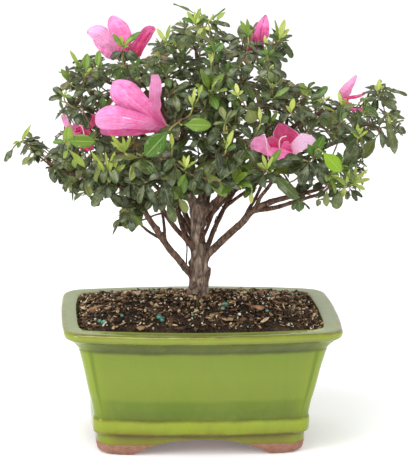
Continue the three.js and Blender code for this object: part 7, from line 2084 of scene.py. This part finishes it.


# Each lobe: left edge, right edge (picture units, foot to tip), depth along it (mm, minus = towards the viewer).
# In every lobe, deep paints the whole lobe deeper (above zero) or paler (below zero): partly its own colour, partly
# painted shade and painted light.
FLOWERS = [
    dict(name="flower_top_left", foot=(124.0, 58.5), y=-30, axis=(-0.05, -0.25, 0.97), size=0.86, tube=(2.2, 3.6, 12), lobes=[
        dict(left=[(122, 60), (115, 59.6), (108, 58.8), (103.4, 55), (98.4, 49.4), (94.6, 44), (93.0, 40.4)],
             right=[(125, 57), (117, 49), (109, 42), (102, 38), (95.6, 37)], dys=[2, 3, 4, 4], seed=2.0, keel=0.8, ruffle=0.8, deep=-0.32, edge=0.5),
        dict(left=[(122, 59), (115, 55), (108, 50.6), (101, 46), (96, 42.4), (92.2, 38.6), (89.2, 35.6), (87.2, 33)],
             right=[(125.6, 57), (119.6, 48), (114, 39.6), (110.4, 33.6), (106.4, 28), (101, 25.4), (95.2, 25.6), (90, 27.6), (87.2, 30.6)],
             dys=[0, -5, -9, -7], seed=1.0, keel=1.0, ruffle=0.7, deep=-0.42, edge=0.7),
        dict(left=[(122, 58), (117.6, 48), (112.6, 38), (109.4, 31), (107.6, 26), (107.8, 21), (109.6, 17.4), (112, 15.8)],
             right=[(126.4, 58), (129.6, 47), (131.6, 38), (131.4, 33), (129.8, 29), (127.8, 25), (123.6, 21), (119.4, 18), (115.8, 16.2), (113.4, 15.6)],
             dys=[1, 4, 7, 9], seed=3.3, keel=0.9, ruffle=0.6, deep=-0.12, edge=0.8),
        dict(left=[(123, 58), (124.6, 52), (127, 46.4), (132, 42.4), (136.4, 38), (139.6, 33.4), (142, 29.4), (145.6, 26.6), (149.4, 25.5)],
             right=[(129, 60), (136, 59), (140.4, 56.6), (143.4, 50.6), (147.2, 44), (151, 38), (154.2, 32.2), (155.9, 28.8), (153.6, 26.4)],
             dys=[-1, -3, -4, -3], seed=4.1, keel=-1.2, ruffle=0.6, deep=0.22, edge=0.5, outer=0.4),
        dict(left=[(131.4, 59), (134.4, 52), (136.6, 45), (140.6, 38.4), (146, 32), (151.4, 28.4)],
             right=[(137.6, 59), (140.4, 54), (143, 47), (146.6, 40), (151, 33.4), (154.6, 29.6)],
             dys=[-3, -5, -6, -4], seed=5.7, keel=1.4, ruffle=0.4, deep=0.78, edge=0.0, outer=0.2, cols=9)],
        behind=[dict(tip=(121.0, 42.0), dy=24, width=14.0, seed=5.0, ruffle=1.0, deep=0.1)], stamens=[[(124, 56, -31), (122.6, 50, -32), (121.4, 45, -33)], [(124, 56, -31), (125, 49, -32), (125.6, 43.6, -33)]]),
    dict(name="flower_front_left", foot=(168.4, 129.8), y=-54, axis=(-0.88, -0.08, 0.36), size=1.1, tube=(2.4, 5.4, 20), lobes=[
        dict(left=[(166, 130.6), (148, 124), (133, 113), (124, 106.4)], right=[(168, 127), (163.4, 117), (160.4, 110.6), (157, 104), (150, 99)],
             dys=[2, 5, 6, 8], seed=10.2, keel=0.6, ruffle=0.8, deep=-0.28, edge=0.0),
        dict(left=[(166, 131), (156, 121), (151, 109), (149.4, 99), (149.2, 88), (149.8, 79.4), (151.6, 74.6)],
             right=[(168, 127.4), (163.6, 118), (160.2, 111), (161.2, 105), (160.2, 98), (161.8, 90), (160.8, 80), (158.4, 74.4)],
             dys=[0, 2, 3, 6], seed=7.1, keel=0.7, ruffle=0.9, deep=-0.3, edge=-0.5),
        dict(left=[(166, 131.4), (152, 125), (137, 117.6), (123.4, 110.4), (114.4, 103), (110.4, 96.6), (110.2, 90), (111.6, 84.4), (113.6, 80.9)],
             right=[(167.4, 128), (160.4, 117.6), (155, 108), (149.6, 100), (142.4, 91.4), (136.4, 85.4), (130.4, 81.2), (123.4, 79.6), (117.4, 79.5)],
             dys=[-1, -5, -9, -12, -12], seed=6.3, keel=1.3, ruffle=0.9, flame=0.5, deep=-0.08, edge=0.3),
        dict(left=[(166, 132), (150, 133), (138, 135.2), (120, 136.2), (108, 135.7), (101.6, 134.2), (99.8, 131.4)],
             right=[(167, 129.6), (150, 127), (131, 126), (116, 125), (106, 124.6), (100, 127.4)],
             dys=[-1, -5, -9, -11], seed=9.4, keel=-0.8, ruffle=1.0, deep=0.42, edge=0.3),
        dict(left=[(166, 131.6), (150, 130), (130, 129), (113, 129.6), (102, 129), (97, 126.2), (95.0, 122)],
             right=[(167.4, 128.6), (151, 117), (136, 111.4), (125, 108.4), (114, 105.2), (106, 106.4), (99, 110.4), (95.4, 114.6)],
             dys=[-2, -8, -14, -17, -18], seed=8.8, keel=1.3, ruffle=1.0, flame=0.08, deep=-0.1, edge=0.2)],
        behind=[], stamens=[[(138, 119.4, -66), (130, 118.6, -69), (120, 116.6, -71)]]),
    dict(name="flower_right", foot=(287.0, 157.0), y=-46, axis=(-0.1, -0.72, 0.68), size=0.95, tube=(2.3, 3.6, 9), lobes=[
        dict(left=[(281, 154), (275, 147), (272.4, 140.4), (272.8, 134), (274.8, 129), (277.2, 125), (280.2, 122)],
             right=[(294, 151), (298, 143), (300.4, 137), (298, 132.8), (293.4, 129.4), (289, 126.8), (285, 123.6), (282.4, 121.6)],
             dys=[0, 3, 7, 10], seed=12.4, keel=-1.0, ruffle=0.8, flame=1.0, deep=0.68, edge=-1.0, outer=0.0),
        dict(left=[(272, 152), (267.6, 146), (266.4, 140.4), (268, 137)], right=[(286, 154), (282, 146), (278.4, 140), (272.6, 136.6)],
             dys=[-1, -1, 0], seed=13.1, keel=-0.6, ruffle=0.5, deep=0.7, edge=-0.5, outer=0.0, cols=9),
        dict(left=[(283, 153), (288, 147), (293, 141), (297.6, 135.8), (301, 133.3), (306, 133.5), (311, 135.4), (315, 138.4)],
             right=[(284, 160), (290.6, 159.8), (295, 156), (298.4, 152.8), (303.4, 150.2), (308.4, 147.4), (312.8, 143.8), (316, 140.6)],
             dys=[-3, -6, -8, -6], seed=13.6, keel=0.7, ruffle=0.7, deep=-1.0, edge=-0.5, outer=0.3),
        dict(left=[(281, 156), (281.4, 150), (282.4, 145), (284.4, 141)], right=[(293, 157), (292.6, 152), (290.6, 146), (288.4, 141)],
             dys=[-6, -8, -7], seed=14.9, keel=-0.8, ruffle=0.5, deep=0.5, edge=-0.5, outer=0.0, cols=9),
        dict(left=[(279, 156), (271, 148), (268, 141.6), (266, 137), (262.4, 134), (257.6, 133.8), (253.4, 136.8), (251.2, 141.6), (249.9, 145.6)],
             right=[(277, 157), (270, 156), (264.6, 155), (261, 152.4), (257, 151.8), (253.4, 152.8), (250.4, 151), (249.5, 148.4)],
             dys=[-3, -7, -8, -5], seed=11.0, keel=0.8, tilt=1.5, ruffle=1.5, deep=-0.3, edge=-0.6),
        dict(left=[(276, 147.6), (271, 147.4), (268.4, 150), (268.6, 154), (272, 157.6), (276, 159.2)],
             right=[(283, 148.4), (288, 150.4), (292.6, 153.4), (293.6, 157), (289.4, 160), (281.6, 160)],
             dys=[-7, -11, -13, -11], seed=15.7, keel=0.8, ruffle=1.0, deep=-0.05, edge=-0.8)],
        behind=[], stamens=[[(280, 150, -60), (279.2, 145, -63), (279.6, 140.6, -65), (281.6, 137.4, -66), (285.4, 136.3, -66)],
                            [(268.4, 160, -64), (267.2, 150, -67), (266.2, 141, -68), (265.2, 136.6, -67)]]),
    dict(name="flower_top_bud", foot=(258.6, 46.5), y=-4, axis=(0.1, -0.08, 0.98), size=0.62, tube=(1.6, 2.6, 7), lobes=[
        dict(left=[(256, 47), (251.6, 41.6), (250.6, 38.8), (251.8, 34), (253.2, 29.6), (255, 26), (257.4, 23), (260, 20.4), (262.4, 17.4), (265, 14.9)],
             right=[(262, 47), (266.4, 40), (268.8, 34), (269, 28), (268.5, 21), (267.3, 17), (266.2, 15.1)],
             dys=[5, 5, 4, 1], seed=16.2, keel=-2.4, ruffle=0.4, deep=0.15, edge=0.4),
        dict(left=[(256, 47), (251.4, 41), (250.7, 38), (252.2, 33), (254.2, 28.4), (258.4, 22.6), (262.6, 17.8), (265, 15.6)],
             right=[(260, 47), (263.4, 41), (264.6, 34), (264.6, 27), (265.2, 20.4), (266.3, 16)],
             dys=[-1, -3, -3, 0], seed=17.9, keel=1.6, ruffle=0.4, deep=0.04, edge=0.6),
        dict(left=[(258, 47), (260.4, 39), (261.2, 32), (262.6, 25.6), (264.2, 19.6), (265.4, 15.4)],
             right=[(262, 47), (266.8, 39.6), (269.2, 33), (269.1, 27), (268.5, 21), (267.2, 16.8)],
             dys=[-2, -5, -5, -1], seed=18.3, keel=1.4, ruffle=0.4, deep=0.12, edge=0.8),
        dict(left=[(257, 47), (253, 41), (254, 34), (257.6, 26), (261.6, 20.6)], right=[(262, 47), (266, 40), (267.4, 33), (266.8, 26), (265.4, 20)],
             dys=[7, 9, 8, 3], seed=19.1, keel=-2.0, ruffle=0.4, deep=0.2, edge=0.3)],
        behind=[], stamens=[]),
    dict(name="flower_far_right", foot=(344.0, 106.0), y=-30, axis=(0.1, -0.3, 0.95), size=0.58, tube=(1.5, 2.4, 7), lobes=[
        dict(left=[(343, 105), (340.6, 97), (338.7, 91.4), (342, 87.2), (346, 82.8), (350, 79.2), (354, 76.2), (355.6, 75.3)],
             right=[(345, 105), (347.6, 97.6), (351, 93.4), (352.4, 88.8), (355, 83.8), (356.2, 79.8), (357, 75.8)],
             dys=[0, -2, -2, 0], seed=21.3, keel=1.2, ruffle=0.5, deep=-0.4, edge=0.9),
        dict(left=[(343, 104), (346, 97), (352, 95.4), (358, 94.6), (364.4, 92.9)], right=[(345, 106), (349.4, 99.6), (355, 98.8), (361, 97), (365.8, 93.9)],
             dys=[-2, -6, -9, -8], seed=22.2, keel=0.8, ruffle=0.6, deep=0.7, edge=-0.6),
        dict(left=[(343, 105), (346.6, 101.6), (350.6, 102.4)], right=[(344, 107), (348.4, 109), (353.2, 107.6)],
             dys=[-3, -9, -12], seed=23.9, keel=0.8, ruffle=0.6, deep=0.5, edge=-0.3),
        dict(left=[(344, 105), (352, 108), (360, 108.4), (368, 109.2)], right=[(345, 107), (352, 111), (360, 111.8), (368.2, 111.2)],
             dys=[-3, -8, -12, -12], seed=24.4, keel=0.8, ruffle=0.6, deep=0.3, edge=-0.3),
        dict(left=[(343, 105), (339, 110), (336.2, 112.6)], right=[(345, 107), (343, 114), (337.8, 117.4)],
             dys=[-3, -10, -14], seed=25.8, keel=0.6, ruffle=0.6, deep=1.0, edge=0.0)],
        behind=[], stamens=[[(344, 105, -29), (345.2, 100, -27), (345.8, 96.4, -26)]]),
    dict(name="flower_left_side", foot=(82.0, 138.5), y=-42, axis=(-0.3, -0.5, 0.75), size=0.74, tube=(1.9, 3.0, 9), lobes=[
        dict(left=[(80, 139), (72, 134), (66, 128.6), (62.4, 121), (60.8, 115.4)], right=[(83, 137), (75, 128), (69.4, 122.4), (68, 118), (63.8, 113.8)],
             dys=[0, -5, -9, -10], seed=26.1, keel=0.9, ruffle=0.8, deep=-0.3, edge=0.4),
        dict(left=[(81, 138), (84, 128), (86.6, 120), (89.4, 115.6), (92, 113)], right=[(84, 140), (91, 130), (95.6, 123.4), (95.4, 117), (94.2, 112.2)],
             dys=[0, -3, -5, -5], seed=27.7, keel=0.8, ruffle=0.8, deep=0.75, edge=0.2),
        dict(left=[(79, 141), (76, 134.6), (77, 128.6), (79.6, 126)], right=[(85, 141), (90.8, 136.6), (90, 130), (85, 126.2)],
             dys=[-2, -5, -5], seed=28.8, keel=-0.8, ruffle=0.6, deep=0.95, edge=0.0, outer=0.0),
        dict(left=[(79, 139), (82, 145), (88, 144), (93.4, 145.6)], right=[(78, 142), (81, 150.4), (88, 151), (94, 149.8)],
             dys=[-3, -9, -13, -14], seed=29.4, keel=0.7, ruffle=0.9, deep=1.0, edge=0.0),
        dict(left=[(80, 139), (76, 132), (74, 126), (76, 121)], right=[(84, 138), (83, 130), (81, 124), (79, 120)],
             dys=[1, 4, 7, 8], seed=30.9, keel=0.8, ruffle=0.8, deep=0.3, edge=0.0)],
        behind=[], stamens=[[(78.6, 124.8, -52), (81.4, 126.2, -54), (83.2, 130.6, -55), (84.4, 135.8, -56)]]),
]
# Small loose shreds of colour at the foot of the bud: sepals and petals of a flower that is closing.
SHREDS = [((252, 50), (248.5, 46.5), 3.4, 0.8, -14), ((255, 52), (258, 47.6), 3.0, 0.85, -14)]


def make_flowers():
    petal = petal_material()
    calyx_m = plain_plant_material("green_calyx", srgb(112, 128, 56), srgb(170, 186, 96), 0.6, 500, 0.35)
    fil_m = plain_plant_material("pale_filament", srgb(240, 150, 186), srgb(255, 232, 238), 0.45, 400, 0.2)
    total = 0
    for f in FLOWERS:
        base = unproj(*f["foot"], f["y"])
        b = Build()
        r0, r1, length = f["tube"]
        funnel(b, base, f["axis"], r0, r1, length)
        for l in f["lobes"]:
            blade(b, y=f["y"], **l)
        for l in f["behind"]:
            l = dict(l)
            tip = unproj(*l.pop("tip"), f["y"] + l.pop("dy"))
            lobe_shell(b, base, f["axis"], tip, l.pop("width"), l.pop("seed"), tube_r=2.3 * max(0.8, f["size"]), **l)
        if f["name"] == "flower_top_bud":
            for (a, t, w, deep, y) in SHREDS:
                lobe_shell(b, unproj(*a, y), unproj(*t, y) - unproj(*a, y) + np.array([0, 0, 0.5]), unproj(*t, y - 1), w, w * 3, rows=10, cols=7, ruffle=0.4, tube_r=0.5, deep=deep)
        total += b.tris_count()
        b.make(f["name"] + "_petals", petal, slot="petal", replaces=(f["name"] + "_corolla",))
        c = Build()
        green_cup(c, base, f["axis"], f["size"])
        flower_stalk(c, base, f["axis"])
        total += c.tris_count()
        c.make(f["name"] + "_cup_and_stalk", calyx_m, slot="calyx", replaces=(f["name"] + "_calyx",))
        if f["stamens"]:
            s = Build()
            for pts in f["stamens"]:
                filament(s, s, [unproj(px, py, y) for px, py, y in pts], r=0.42)
            total += s.tris_count()
            s.make(f["name"] + "_filaments", fil_m, slot="stamen", replaces=(f["name"] + "_stamens",))
    print("flowers", total)


make_flowers()


# ------------------------------------------------------------------ floor and light
def make_stage():
    me = bpy.data.meshes.new("floor")
    n = 1
    me.from_pydata([(-6, -3, 0), (6, -3, 0), (6, 9, 0), (-6, 9, 0)], [], [(0, 1, 2, 3)])
    m = Mat("studio_floor", Roughness=0.9)
    m.b.inputs["Specular IOR Level"].default_value = 0.0
    tint = m.ramp(m.noise(3.0, 2, 0.5), [(0.3, (0.985, 0.985, 0.985, 1)), (0.7, (1.0, 1.0, 1.0, 1))])
    m.set("Base Color", tint)
    m.b.inputs["Emission Color"].default_value = (1, 1, 1, 1)
    m.b.inputs["Emission Strength"].default_value = 0.12
    me.materials.append(m.m)
    o = bpy.data.objects.new("studio_floor", me)
    scene.collection.objects.link(o)
    w = bpy.data.worlds.new("studio")
    scene.world = w
    w.use_nodes = True
    nt = w.node_tree
    nt.nodes.clear()
    out = nt.nodes.new("ShaderNodeOutputWorld")
    bg = nt.nodes.new("ShaderNodeBackground")
    bg.inputs["Color"].default_value = (1, 1, 1, 1)
    bg.inputs["Strength"].default_value = 0.9
    nt.links.new(bg.outputs[0], out.inputs[0])

    def area(name, place, at, size, power, tint=(1, 1, 1)):
        d = bpy.data.lights.new(name, "AREA")
        d.shape = "RECTANGLE"
        d.size, d.size_y = size
        d.energy = power
        d.color = tint
        l = bpy.data.objects.new(name, d)
        scene.collection.objects.link(l)
        l.location = place
        l.rotation_mode = "QUATERNION"
        l.rotation_quaternion = (Vector(at) - Vector(place)).to_track_quat("-Z", "Y")
        return l
    area("top_softbox", (-0.25, -0.25, 1.25), (0, 0, 0.16), (0.8, 0.6), 8.0)
    area("left_softbox", (-1.15, -0.75, 0.75), (0, 0, 0.18), (0.5, 0.6), 7.0)
    area("right_softbox", (1.2, -0.5, 0.8), (0, 0, 0.18), (0.6, 0.8), 2.5)
    v = scene.view_settings
    v.view_transform = "Standard"
    v.look = "None"
    v.exposure = 0.0
    v.gamma = 1.0


make_stage()
